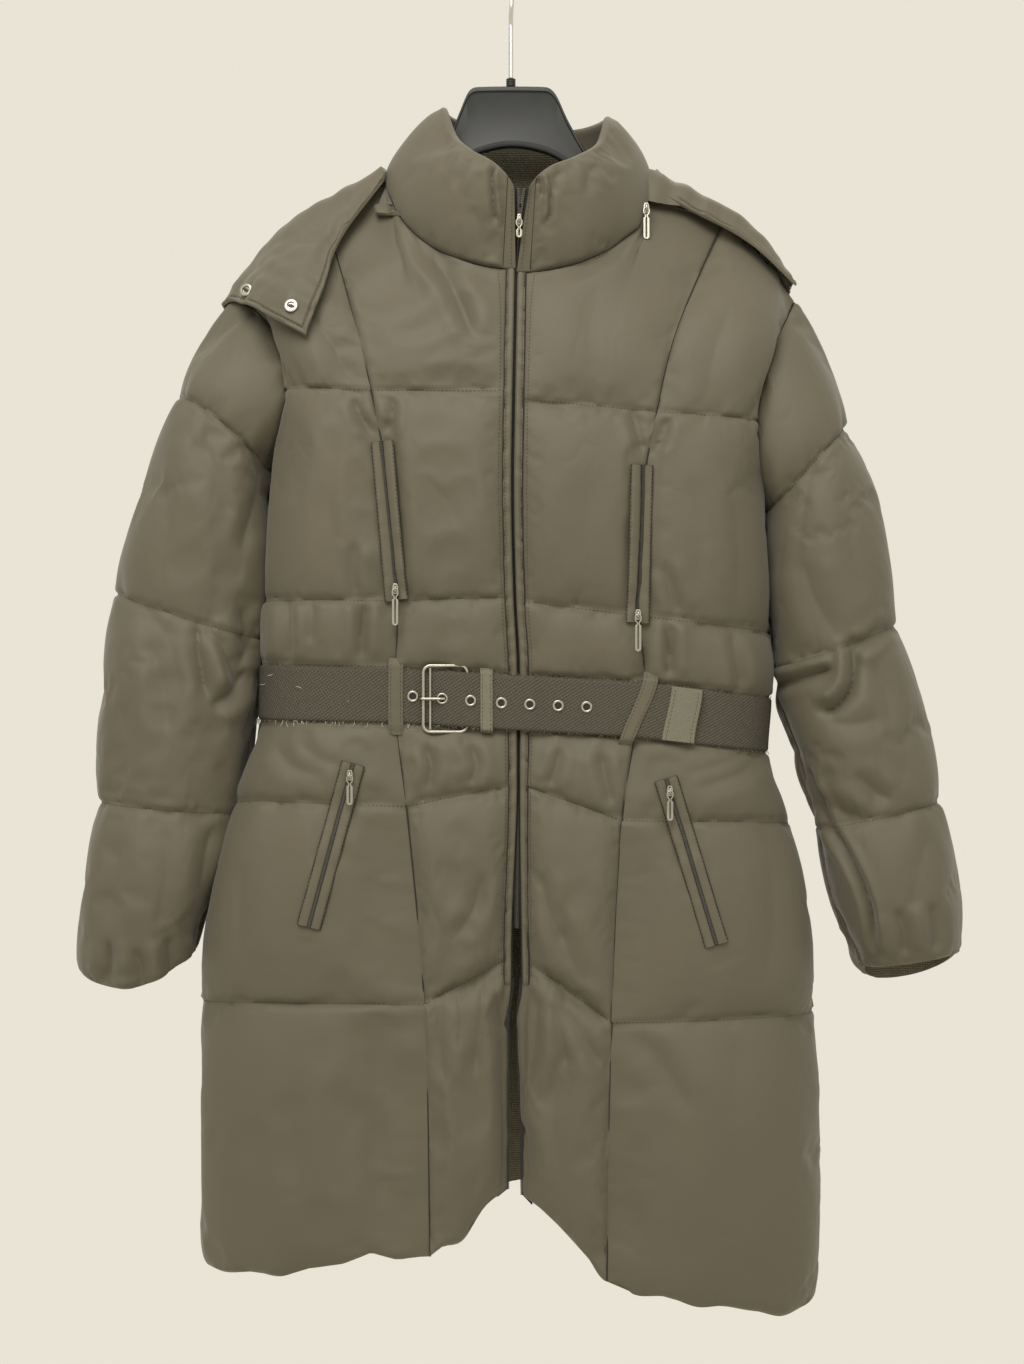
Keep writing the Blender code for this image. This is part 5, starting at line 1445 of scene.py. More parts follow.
# The sleeves' main folds
SLEEVE_CREASES = creases(
    (1100, 280, 0, -318, -568, -294, -599, -282, -650), (700, 420, 0, -255, -755, -263, -788, -267, -827),
    (1000, 240, 0, -334, -762, -339, -805, -344, -848), (1000, 220, 0, -298, -749, -294, -797, -303, -848),
    (1000, 270, 0, -264, -417, -255, -453, -237, -499), (700, 480, 0, -215, -430, -220, -478, -234, -530),
    (1100, 240, 0, -303, -453, -294, -504, -303, -556), (500, 510, 0, -351, -895, -344, -876, -346, -853),
    (500, 510, 0, -318, -905, -316, -883, -322, -860), (500, 480, 0, -289, -890, -292, -871, -292, -852),
    (1000, 220, 0, -337, -650, -329, -693, -334, -732), (1100, 270, 0, 351, -652, 339, -687, 334, -728),
    (1000, 240, 0, 308, -650, 313, -702, 306, -749), (1200, 270, 0, 258, -427, 248, -496, 239, -549),
    (1100, 260, 0, 284, -453, 291, -513, 301, -568), (300, 720, 0, 254, -704, 263, -735, 301, -814, 312, -876),
    (600, 510, 0, 335, -871, 334, -848, 327, -826), (600, 480, 0, 363, -867, 361, -844, 358, -821),
    (900, 220, 0, 359, -762, 346, -797, 341, -840),
    (500, 1000, -9, 291, -592, 293, -616, 290, -640, 277, -656, 258, -662),
    (420, 700, 5, 227, -640, 253, -631, 279, -623), (450, 550, 0, 328, -582, 308, -599, 291, -607),
    (900, 300, 0, 248, -530, 258, -564, 280, -599), (800, 300, 0, 306, -616, 320, -642, 325, -676),
    (700, 260, 0, 265, -668, 291, -671, 316, -664), (600, 400, 0, 291, -711, 308, -728, 327, -736),
    (600, 340, 0, 258, -728, 282, -747, 306, -754), (600, 760, 5, -270, -580, -267, -612, -259, -654),
    (580, 550, -5, -259, -657, -241, -645, -227, -620), (540, 510, 0, -265, -585, -249, -606, -236, -640),
    (550, 500, 0, -234, -568, -229, -599, -236, -626), (800, 240, 0, -311, -599, -298, -642, -294, -685),
)
# The collar's pinches by its zip
COLLAR_CREASES = creases(
    (210, 360, 6, -13, -196, -18, -206, -16, -230, -14, -246), (210, 360, -6, 29, -202, 33, -217, 33, -234, 30, -246),
    (210, 360, 0, 20, -207, 25, -213, 26, -225), (400, 250, 0, -51, -217, -36, -193, -20, -191),
    (350, 230, 0, 46, -200, 37, -208, 37, -222), (400, 200, 0, 75, -191, 66, -204, 65, -222),
    (600, 180, 0, -36, -230, -27, -247, -22, -268), (400, 200, 0, 75, -183, 80, -196, 92, -205),
    (500, 160, 0, -61, -166, -56, -183, -61, -200),
)


def behind(creases: Sequence[Crease]) -> tuple[Crease, ...]:
    """Like folds for the hidden side, mirrored left to right and a little softer."""
    return tuple(replace(crease, face=Face.BACK, path=tuple((-x, z) for x, z in crease.path),
                         depth=0.8 * crease.depth) for crease in creases)


@dataclass
class Band:
    """A flat band of cloth that lies on a surface.

    Attributes:
        name: the piece's name.
        base: R by C points of what it lies on, R along it and C across.
        normals: the outward directions there.
        lay: how far its underside lies off.
        thick: how thick it is.
        finish: its finish.
        on: what it rests on.
        replaces: its nodes.
        held: how it is held; not used.
        seams: the shares across that are sewn through.
        bead: extra thickness between the sewn lines.
        ripple: the height of its small waves.
        seed: for its waves.
        profile: its thickness at each share across, in place of the plain one.
        coarse: how many steps of the outside the inside takes at once.
    """

    name: str
    base: Array
    normals: Array
    lay: float | Array
    thick: float
    finish: Finish
    on: tuple[str, ...] = ()
    replaces: tuple[str, ...] = ()
    held: Held = Held.STRETCHED
    seams: tuple[float, ...] = ()
    bead: float = 0.0
    ripple: float = 0.0
    seed: int = 1
    profile: Callable[[Array], Array] | None = None
    coarse: int = 4

    def lengths(self) -> tuple[Array, Array]:
        """Distances across the middle row and along the middle column."""
        return reach_of(self.base[len(self.base) // 2]), reach_of(self.base[:, self.base.shape[1] // 2])

    def heights(self) -> Array:
        """The thickness at each point.

        Returns:
            R by C thicknesses.
        """
        across, along = self.lengths()
        if self.profile is not None:
            shape = self.profile(across / across[-1])
        else:
            edge = np.minimum(across, across[-1] - across)
            roll = np.clip(edge / (0.9 * self.thick), 0.0, 1.0)
            shape = self.thick * (0.35 + 0.65 * np.sqrt(1.0 - (1.0 - roll) ** 2))
        stops = (0.0, *self.seams, 1.0)
        share = across / across[-1]
        for low, high in zip(stops, stops[1:]):
            inside = (share >= low) & (share <= high)
            shape = shape + np.where(inside, self.bead * np.sqrt(np.maximum(
                swell((share - low) / (high - low), 2.0), 0.0)), 0.0)
        for seam in self.seams:
            shape = shape - 0.35 * self.thick * np.exp(-((share - seam) * across[-1] / 0.0008) ** 2)
        heights = np.repeat(shape[None, :], len(along), 0)
        waves = ripple(along, 0.006, self.seed)[:, None] * self.ripple
        near = sum((np.exp(-np.abs(share - seam) * across[-1] / 0.003) for seam in self.seams), np.zeros(len(share)))
        heights = heights + waves * np.minimum(near + 0.25, 1.0)[None, :]
        return np.maximum(heights, 0.25 * self.thick)

    def build(self, sewing: Sewing | None = None, extra: Sequence[tuple[BMesh, int]] = (),
              finishes: tuple[Finish, ...] = ()) -> Thing:
        """The band as a piece, with its stitches.

        Args:
            sewing: where its stitches go.
            extra: more parts, each with its material index from 2 on.
            finishes: the extra parts' finishes.

        Returns:
            The piece.
        """
        lay = self.lay if isinstance(self.lay, float) else self.lay[..., None]
        inner = self.base + self.normals * lay
        outer = inner + self.normals * self.heights()[..., None]
        step = self.coarse
        mesh = layered_wall(self.name, outer, inner[::step, ::step])
        if extra:
            mesh = gather([(from_mesh(mesh), 0), *extra], self.name)
        piece = add_piece(self.name, mesh, (self.finish, self.finish, *finishes), replaces=self.replaces)
        across, along = self.lengths()
        width, length = round(float(across[-1]), 3), round(float(along[-1]), 3)
        flat = (max(min(width, length), 0.01), max(width, length, 0.01))
        area = None if min(width, length) >= 0.01 else width * length
        list(self.on)
        LOG.info("  cut %.3f x %.3f m", *flat)
        if sewing is not None:
            for seam in self.seams:
                column = int(round(np.interp(seam, across / across[-1], np.arange(len(across)))))
                high = int((outer[:, column, 2] > STITCHED_ABOVE).argmax())
                sewing.run(outer[high:, column], self.normals[high:, column])
        return piece


def blocks(places: Array, across: Array, out: Array, size: tuple[float, float, float]) -> BMesh:
    """Small blocks, as the teeth of a zip.

    Args:
        places: their middles.
        across: the way their x runs.
        out: the way their z points.
        size: their size.

    Returns:
        The bmesh.
    """
    cube = bmesh.new()
    bmesh.ops.create_cube(cube, size=1.0, matrix=Matrix.Diagonal((*size, 1.0)))
    return copies(cube, [basis(place, across, out) for place in places])


def evenly_along(points: Array, pitch: float) -> Array:
    """Points at even distances along a line."""
    reach = reach_of(points)
    return read_along(np.arange(0.5 * pitch, reach[-1], pitch), reach, points)


# ---------------------------------------------------------------- quilted pieces


@dataclass
class QuiltedPanel:
    """One padded panel between its seams, filled between its stitch lines.

    Attributes:
        name: the piece's and the node's name.
        base: fine grid of the stitched surface.
        normals: its outward directions.
        crown: fine grid of the pad's height in the solid.
        inner: the plain inside, with fewer points.
        lines: fine rows that are stitched.
        still: fine grid, 1 where the cloth can't lift.
        cap: fine grid of how far the cloth may stand over the solid's outside.
        padding: how it fills.
        seed: for its puckers.
        fill: how full it is, for the frame; not used.
        pucker: the height of the gathers along its stitches.
        wrinkle: the height of its shallow folds.
        sides: whether its first and last columns are gathered.
        creases: its main folds.
        roundness: the power that fills out the pad's height.
        scallop: how much its hem waves.
        rows_up: fine columns that are topstitched.
    """

    name: str
    base: Array
    normals: Array
    crown: Array
    inner: Array
    lines: Sequence[int]
    still: Array
    cap: Array
    padding: Padding = field(default_factory=Padding)
    seed: int = 0
    fill: float = 0.5
    pucker: float = 0.0025
    wrinkle: float = 0.0011
    sides: tuple[bool, bool] = (True, True)
    creases: Sequence[Crease] = ()
    roundness: float = 0.66
    scallop: float = 0.0
    rows_up: Sequence[int] = ()

    def outside(self) -> Array:
        """The filled outside, with its puckers.

        Returns:
            R by C points.
        """
        coarse = (slice(None, None, 2), slice(None, None, 2))
        base = self.base[coarse]
        normals = self.normals[coarse]
        solid = self.crown.copy()
        full = self.crown.copy()
        stops = [0, *self.lines, len(full) - 1]
        for low, high in zip(stops, stops[1:]):
            peak = full[low:high + 1].max()
            if peak > 0.0:
                full[low:high + 1] = peak * (full[low:high + 1] / peak) ** self.roundness
        crown = full[coarse]
        start = base + normals * (crown * 0.9)[..., None]
        pinned = np.zeros(base.shape[:2])
        pinned[0] = pinned[-1] = 1.0
        pinned[:, 0] = pinned[:, -1] = 1.0
        for line in self.lines:
            pinned[line // 2] = 1.0
        pinned = np.maximum(pinned, self.still[coarse])
        filled = self.padding.fill(start, pinned)
        moved = filled - base
        height = (moved * normals).sum(-1)
        slide = moved - normals * height[..., None]
        slide_size = np.linalg.norm(slide, axis=-1, keepdims=True)
        slide *= np.minimum(1.0, 0.006 / np.maximum(slide_size, 1e-9))
        cap = self.cap[coarse]
        over = height - solid[coarse]
        over = np.where(over > 0, cap * np.tanh(np.maximum(over, 0) / np.maximum(cap, 1e-5)), over)
        height = np.maximum(solid[coarse] + over, 0.0)
        points = finer_grid(base + normals * height[..., None] + slide)
        lift = self.puckers() + self.wrinkles(points)
        for crease in self.creases:
            facing = np.clip(3.0 * crease.face.value * self.normals[..., 1], 0.0, 1.0)
            lift = lift + crease.lift(points) * (1.0 - self.still) * facing
        deep = ((points - self.base) * self.normals).sum(-1) + lift
        return points + self.normals * (lift + np.maximum(-0.0016 - deep, 0.0))[..., None]

    def wrinkles(self, points: Array) -> Array:
        """Shallow folds of the loose cloth, longer upright than across.

        Args:
            points: the points.

        Returns:
            A height for each point.
        """
        stretched = points * [1.0, 1.0, 0.5]
        broad = cloudy(stretched, 0.058, self.seed)
        fine = cloudy(stretched, 0.027, self.seed + 3)
        lines = np.exp(-(fine / 0.22) ** 2) * np.clip(0.4 + broad, 0.0, 1.0)
        loose = np.clip(self.crown / 0.004, 0.0, 1.0) * (1.0 - self.still)
        return self.wrinkle * (0.6 * broad - 0.35 * lines) * loose

    def puckers(self) -> Array:
        """Small gathers that run out from each stitch line and seam.

        Returns:
            R by C heights.
        """
        rows, columns = self.base.shape[:2]
        total = np.zeros((rows, columns))
        along, up = reach_of(self.base[rows // 2]), reach_of(self.base[:, columns // 2])
        free = 1.0 - self.still
        stops = [0, *self.lines, rows - 1]
        for number, line in enumerate(stops):
            for way in (-1, 1):
                seed = self.seed + 13 * number + 5 * way
                away = (up - up[line]) * way
                near = np.where(away >= -1e-9, 1.0, 0.0)
                shift = along[None, :] + 0.3 * ripple(along, 0.10, seed)[None, :] * away[:, None]
                for wave, low, high, size in ((0.0055, 0.005, 0.013, 0.65), (0.017, 0.020, 0.050, 1.1)):
                    height = np.interp(shift.ravel(), along, ripple(along, wave, seed + 101)).reshape(shift.shape)
                    reach = mix(low, high, 0.5 + 0.5 * ripple(along, 1.7 * wave, seed + 17))
                    share = np.clip(away[:, None] / reach[None, :], 0.0, 1.0)
                    shape = np.minimum(away[:, None] / 0.0025, 1.0) * (1.0 - share) ** 1.3
                    total += near[:, None] * shape * height * size * self.pucker
                    seed += 7
        for number, edge in enumerate((0, columns - 1)):
            if not self.sides[number]:
                continue
            away = along if edge == 0 else along[-1] - along
            for wave, reach, size in ((0.008, 0.010, 0.6), (0.024, 0.034, 1.0)):
                height = ripple(up, wave, self.seed + 203 + number + int(wave * 1e4))
                share = np.clip(away / reach, 0.0, 1.0)
                shape = np.minimum(away / 0.002, 1.0) * (1.0 - share) ** 1.3
                total += shape[None, :] * height[:, None] * size * self.pucker
        return total * free

    def build(self, sewing: Sewing) -> Thing:
        """The closed piece, in place of its node, with its rows of stitches.

        Args:
            sewing: where its stitches go.

        Returns:
            The piece.
        """
        outer = self.outside()
        inner = self.inner.copy()
        if self.scallop:
            for grid in (outer, inner):
                reach = reach_of(grid[0])
                waves = np.interp(reach, np.linspace(0, reach[-1], 400),
                                  ripple(np.linspace(0, reach[-1], 400), 0.026, self.seed + 77))
                drop = self.scallop * waves * np.minimum(np.minimum(reach, reach[-1] - reach) / 0.02, 1.0)
                up = reach_of(grid[:, 0])
                grid[..., 2] += drop[None, :] * (np.clip(1.0 - up / 0.05, 0.0, 1.0) ** 2)[:, None]
        mesh = layered_wall(self.name, outer, inner)
        piece = stand_in(self.name, "cloth", mesh, (SHELL, LINING))
        for line in self.lines:
            sewing.run(outer[line], self.normals[line])
        for column in self.rows_up:
            high = int((outer[:, column, 2] > STITCHED_ABOVE).argmax())
            sewing.run(outer[high:, column], self.normals[high:, column])
        return piece


def body_levels(scale: int = 1) -> Array:
    """The body's fine levels, every scale-th."""
    stops = [CELLS[0][0]] + [cell[1] for cell in CELLS]
    return steps_between(stops, [cell[3] for cell in CELLS])[::scale]


def opened(z: Array) -> Array:
    """1 where the front zip is open below its end, 0 above."""
    return smooth_step(-z, -STITCHED_ABOVE, 0.925)


def parted(side: Side, z: Array) -> Array:
    """How far an edge of the open part has moved over."""
    return (side.value * 0.0004 - 0.0040) * opened(z)


def body_lines() -> list[int]:
    """The fine rows that are stitched across the body."""
    return list(np.cumsum([cell[3] for cell in CELLS])[:-1])


@dataclass
class CoatBody:
    """The two fronts in two panels each, and the back."""

    sewing: Sewing
    pockets: Sequence[tuple[float, float, float, float]] = ()
    creases: Sequence[Crease] = ()

    def pocket_cap(self, points: Array, cap: Array) -> Array:
        """Less room for the cloth under each pocket's welt.

        Args:
            points: the points.
            cap: the room before.

        Returns:
            The room at each point.
        """
        for top_x, top_z, low_x, low_z in self.pockets:
            start = np.array([top_x, top_z])
            run = np.array([low_x, low_z]) - start
            place = points[..., (0, 2)] - start
            share = np.clip((place @ run) / (run @ run), -0.04, 1.04)
            away = np.linalg.norm(place - share[..., None] * run, axis=-1)
            keep = smooth_step(away, 0.011, 0.026)
            cap = cap * keep - 0.0006 * (1 - keep)
        return cap

    def even_band(self, grid: Array, columns: Array) -> Array:
        """A front grid whose columns keep the band by the zip the same width all the way.

        Args:
            grid: R by C points.
            columns: places across.

        Returns:
            The grid with its points moved along its rows.
        """
        reach = np.linalg.norm(np.diff(grid, axis=1), axis=-1).sum(-1)[:, None]
        outer = mix(BAND_WIDTH, reach, (columns[None, :] - BAND) / (1.0 - BAND))
        return along_rows(grid, np.where(columns[None, :] < BAND, columns[None, :] / BAND * BAND_WIDTH, outer))

    def panel(self, name: str, face: Face, columns: Array, seed: int, still: Callable[[Array], Array],
              sides: tuple[bool, bool] = (True, True)) -> QuiltedPanel:
        """A panel of the body between two columns.

        Args:
            name: the node's name.
            face: front or back.
            columns: places across.
            seed: for the random numbers.
            still: how firmly each column is held.
            sides: whether its first and last columns are gathered.

        Returns:
            The panel.
        """
        levels = body_levels()
        few = columns[::4]

        def surface(at: Array, rows: Array, inset: float) -> Array:
            """The stitched surface of the face.

            Args:
                at: places across.
                rows: places up.
                inset: how far in, for the wall's inside.

            Returns:
                R by C points.
            """
            if face is Face.FRONT:
                side = Side.RIGHT if "right" in name else Side.LEFT
                return COAT_FORM.surface(face, side, at, rows, inset)
            return COAT_FORM.whole_back(at, rows, inset)

        base = surface(columns, levels, 0.0)
        inner = surface(few, levels[::4], WALL)
        if face is Face.FRONT:
            side = Side.RIGHT if "right" in name else Side.LEFT
            shift = side.value * SEAM
            if "centre" in name:
                base, inner = (self.even_band(grid, at) for grid, at in ((base, columns), (inner, few)))
            for grid, at in ((base, columns), (inner, few)):
                if "centre" in name:
                    near = np.clip(1.0 - at / (5.0 * BAND), 0.0, 1.0)[None, :]
                    grid[..., 0] += parted(side, grid[..., 2]) * near
                    grid[..., 1] += 0.004 * opened(grid[..., 2]) * near ** 5
                    grid[:, -1, 0] += shift
                    grid[:, 0, 0] += side.value * ZIP_GAP
                else:
                    grid[:, 0, 0] -= shift
            outward = np.array([0.2 * side.value, -1.0, 0.0])
        else:
            for grid in (base, inner):
                grid[:, (0, -1), 1] -= 2.4 * SEAM
            outward = np.array([0.0, 1.0, 0.0])
        normals = grid_normals(base, outward)
        crown = COAT_FORM.crown(levels)[:, None] * COAT_FORM.across(face, np.abs(columns))[None, :]
        cap = np.full(crown.shape, 0.008)
        cap *= 1.0 - 0.85 * smooth_step(base[..., 2], -0.40, -0.335) * smooth_step(np.abs(base[..., 0]), 0.08, 0.12)
        cap = self.pocket_cap(base, cap)
        held = still(columns)[None, :] * (1.0 - opened(base[..., 2]))
        belt = (levels > BELT_LOW - 0.001) & (levels < BELT_HIGH + 0.001)
        held[belt] = 1.0
        if "centre" in name:
            # A dark wire of painted shade along the princess seam.
            self.sewing.seam(base[:, -1] + [0.0, -0.0005, 0.0], 0.0006)
        return QuiltedPanel(name, base, normals, crown, inner, body_lines(), held, cap, seed=seed, sides=sides,
                            creases=self.creases, scallop=0.009 if face is Face.FRONT else 0.004,
                            rows_up=(int(BAND * 56) + 2,) if "centre" in name else ())

    def build(self) -> list[Thing]:
        """All five panels.

        Returns:
            The pieces.
        """
        made = []
        for side in Side:
            centre = steps_between((0.0, 1.0), (56,))
            made.append(self.panel(f"front_centre_{side.word}", Face.FRONT, centre, 11 if side is Side.LEFT else 12,
                                   lambda c: (c < BAND).astype(float), (False, True)).build(self.sewing))
            outer = steps_between((1.0, 2.0), (72,))
            made.append(self.panel(f"front_side_{side.word}", Face.FRONT, outer, 21 if side is Side.LEFT else 22,
                                   lambda c: np.zeros(len(c))).build(self.sewing))
        whole = steps_between((-2.0, 2.0), (192,))
        made.append(self.panel("back", Face.BACK, whole, 31, lambda c: np.zeros(len(c))).build(self.sewing))
        return made


@dataclass
class Sleeves:
    """Both sleeves, each an upper and an under piece."""

    sewing: Sewing
    creases: Sequence[Crease] = ()
    rows: tuple[int, ...] = (48, 72, 64, 52)

    def pressed(self, side: Side, turns: Array, grid: Array) -> Array:
        """The grid with its inner side pressed out to the body, and the right cuff a little askew.

        Args:
            side: the wearer's side.
            turns: places round.
            grid: R by C points.

        Returns:
            The moved grid.
        """
        high = grid[..., 2].copy()
        low, start, stop, touch = SLEEVE_TOUCH[side]
        near = smooth_step(high, low, start) * (1.0 - smooth_step(high, stop, stop + 0.09))
        grid[..., 0] -= side.value * touch * near * np.exp(-((turns - INNER_SEAM) / 3.0) ** 2)[None, :]
        if side is Side.RIGHT:
            grid[..., 2] += 0.022 * smooth_step(grid[..., 0], -0.335, -0.262) * smooth_step(-high, 0.80, 0.90)
        return grid

    def build(self) -> list[Thing]:
        """All four pieces.

        Returns:
            The pieces.
        """
        made = []
        levels = steps_between(SLEEVE_STOPS, self.rows)
        lines = list(np.cumsum(self.rows)[:-1])
        spans = {"upper": (BACK_SEAM - SLEEVE_TURN + SEAM_TURN, INNER_SEAM - SEAM_TURN, 184),
                 "under": (INNER_SEAM + SEAM_TURN, BACK_SEAM - SEAM_TURN, 32)}
        for side in Side:
            for number, (part, (first, last, count)) in enumerate(spans.items()):
                turns = np.linspace(first, last, count + 1)
                base = self.pressed(side, turns, SLEEVE_FORM.surface(side, turns, levels))
                inner = self.pressed(side, turns[::4], SLEEVE_FORM.surface(side, turns[::4], levels[::4], WALL))
                axis = 0.5 * (SLEEVE_FORM.surface(side, [0.0], levels) + SLEEVE_FORM.surface(side, [9.0], levels))
                normals = grid_normals(base, base - axis)
                crown = SLEEVE_FORM.crown(turns, levels)
                cap = np.full(crown.shape, 0.007)
                inside = np.abs(turns - INNER_SEAM) < 3.5
                cap[:, inside] = 0.0008
                cap[:, ~inside] *= 0.2 + 0.8 * smooth_step(levels, 0.1, 0.7)[:, None]
                panel = QuiltedPanel(f"sleeve_{part}_{side.word}", base, normals, crown, inner, lines,
                                     np.zeros(crown.shape), cap, seed=41 + number + int(side.value),
                                     creases=self.creases)
                if part == "upper":
                    # A dark wire of painted shade along the sleeve's head seam.
                    self.sewing.seam(base[0], 0.0006)
                made.append(panel.build(self.sewing))
        return made


# ---------------------------------------------------------------- collar, neck and hood


COLLAR_FACING = -0.158


@dataclass
class Collar:
    """The padded stand collar, its zip tapes and the neck's lining."""

    sewing: Sewing
    creases: Sequence[Crease] = ()
    rows: int = 48
    roll: int = 12
    columns: int = 320

    def build(self) -> list[Thing]:
        """All of its pieces."""
        return [self.wall(), self.lining(), *self.tapes()]

    def wall(self) -> Thing:
        """The padded wall, rolled over at its top.

        Returns:
            The piece.
        """
        shares = np.linspace(0.0, 1.0, self.columns + 1)
        rises = np.linspace(0.0, 1.0, self.rows + 1)
        outward = COLLAR_FORM.outward(shares)
        base = COLLAR_FORM.surface(shares, rises)
        normals = np.repeat(outward[None], len(rises), 0)
        ends = swell(np.clip((shares - 0.02) / 0.96, 0.0, 1.0), 7.0)
        crown = COLLAR_CROWN * np.maximum(swell(rises, 2.2), 0)[:, None] * np.maximum(ends, 0)[None, :]
        still = np.repeat(((shares < 0.019) | (shares > 0.981)).astype(float)[None], len(rises), 0)
        few = shares[::4]
        inner = COLLAR_FORM.surface(few, rises[::4], COLLAR_PAD)
        panel = QuiltedPanel("collar", base, normals, crown, inner, [], still, np.full(crown.shape, 0.005),
                             Padding(fullness=0.008), seed=71, wrinkle=0.0003, creases=self.creases)
        outer = panel.outside()
        near = np.clip(np.minimum(shares, 1.0 - shares) / 0.03, 0.0, 1.0)
        outer[..., 2] -= 0.006 * (1.0 - np.sqrt(1.0 - (1.0 - near) ** 2))[None, :] * (rises ** 3)[:, None]
        start = 0.75
        radius = COLLAR_PAD / (1.0 + math.cos(start))
        angles = np.linspace(start, math.pi, self.roll + 1)[1:]
        top = outer[-1]
        middle = top - radius * (math.cos(start) * outward + math.sin(start) * UP)
        over = [middle + radius * (math.cos(a) * outward + math.sin(a) * UP) for a in angles]
        outer = np.concatenate([outer, over])
        more = COLLAR_FORM.surface(few, np.linspace(0.0, 1.0, (self.rows + self.roll) // 4 + 1), COLLAR_PAD)
        drop = outer[-1][::4] + np.array([0.0, 0.0, -0.0004]) - more[-1]
        more = more + drop[None] * (np.linspace(0, 1, len(more)) ** 3)[:, None, None]
        mesh = layered_wall("collar_cloth", outer, more)
        for face in mesh.polygons:
            if face.center.z > COLLAR_FACING:
                face.material_index = 0
        piece = stand_in("collar", "cloth", mesh, (SHELL, LINING))
        # Dark wires of painted shade along the collar's foot and near its front edges.
        self.sewing.seam(outer[0] + outward * 0.0004, 0.0006)
        for column in (6, self.columns - 6):
            self.sewing.seam(outer[1:self.rows + 6, column], 0.0004)
        for column in (2, self.columns - 2):
            self.sewing.run(outer[2:self.rows, column], normals[2:self.rows, column])
        return piece

    def lining(self) -> Thing:
        """The knit lining inside the back of the neck.

        Returns:
            The piece.
        """
        columns = np.linspace(-0.86, 0.86, 97)
        levels = np.linspace(7.95, 8.88, 33)
        base = COAT_FORM.whole_back(columns, levels, WALL + LAY)
        normals = grid_normals(base, FORWARD)
        return Band("neck_lining_cloth", base, normals, 0.0, 0.0016, LINING, on=("back_cloth",),
                    replaces=("neck_lining",), held=Held.HUNG, ripple=0.0002).build()

    def gap(self, rises: Array) -> tuple[Array, Array]:
        """The inside of the collar's two front edges."""
        ends = COLLAR_FORM.surface([0.0, 1.0], rises, COLLAR_PAD)
        return ends[:, 0], ends[:, 1]

    def tapes(self) -> list[Thing]:
        """The zip's tapes up the collar with their teeth, and the closed chain below the slider.

        Returns:
            The pieces.
        """
        made = []
        rises = np.linspace(0.03, 0.97, 61)
        right, left = self.gap(rises)
        width = left[:, 0] - right[:, 0]
        for side in Side:
            places = np.linspace(-1.0, 1.0, 13)
            base = np.zeros((len(rises), len(places), 3))
            for i, place in enumerate(places):
                hidden = 0.03 * max(place, 0.0)
                share = hidden if side is Side.RIGHT else 1.0 - hidden
                base[:, i] = COLLAR_FORM.surface([share], rises, COLLAR_PAD + LAY * 1.5)[:, 0]
                base[:, i, 0] -= side.value * np.minimum(0.0032, 0.5 * width - 0.0004) * max(-place, 0.0)
            normals = grid_normals(base, FORWARD)
            inner_edge = base[:, 0] + normals[:, 0] * 0.0004
            open_edge = evenly_along(inner_edge[34:], 0.0014)
            teeth = blocks(open_edge, ACROSS, FORWARD, (0.0018, 0.0008, 0.0016))
            band = Band(f"collar_tape_{side.word}_cloth", base, normals, -0.0010, 0.0010, BLACK_TAPE_AND_HOLE_SHADE,
                        on=("collar_cloth",), replaces=(f"collar_tape_{side.word}",))
            made.append(band.build(extra=((teeth, 2),), finishes=(GUNMETAL,)))
        right, left = self.gap(np.linspace(0.05, 0.48, 30))
        line = 0.5 * (right + left)
        line[:, 1] = np.maximum(right[:, 1], left[:, 1]) + LAY * 2.6 + 0.0010
        made.append(zip_chain("collar_chain", line))
        return made


def zip_chain(node: str, line: Array) -> Thing:
    """The closed teeth of a zip along a line, on their two cords.

    Args:
        node: the node that it stands for.
        line: its middle line.

    Returns:
        The piece.
    """
    places = evenly_along(line, 0.0007)
    odd = np.where(np.arange(len(places)) % 2 == 0, 1.0, -1.0)
    places[:, 0] += 0.0006 * odd
    teeth = blocks(places + [0.0, 0.0009, 0.0], ACROSS, FORWARD, (0.0030, 0.0006, 0.0016))
    cords = [(wire(line + [shift, 0.0010, 0.0], 0.0007, 6), 1) for shift in (-0.0019, 0.0019)]
    return stand_in(node, "teeth", gather([(teeth, 0), *cords], node), (GUNMETAL, BLACK_TAPE_AND_HOLE_SHADE))


FRONTS = tuple(f"front_{part}_{side.word}" for part in ("centre", "side") for side in Side)
SLEEVES = tuple(f"sleeve_{part}_{side.word}" for part in ("upper", "under") for side in Side)


class Solids:
    """Rays against some of the frame's solids."""

    def __init__(self, nodes: dict[str, Thing], names: Iterable[str]) -> None:
        """Make the rays' tree.

        Args:
            nodes: the frame's nodes.
            names: those to meet.
        """
        points: list[Vector] = []
        faces: list[list[int]] = []
        for name in names:
            node = nodes[name]
            start = len(points)
            points.extend(node.matrix_world @ vert.co for vert in node.data.vertices)
            faces.extend([start + i for i in face.vertices] for face in node.data.polygons)
        self.tree = BVHTree.FromPolygons(points, faces)

    def hit(self, start: Sequence[float], direction: Sequence[float]) -> Array | None:
        """The first point that a ray meets."""
        found = self.tree.ray_cast(Vector(start), Vector(direction))[0]
        return None if found is None else np.array(found)

    def seen(self, x: float, z: float, far: float = -1.0) -> Array | None:
        """The first point seen from the front, or from behind if far is 1."""
        return self.hit((x, far, z), (0.0, -far, 0.0))


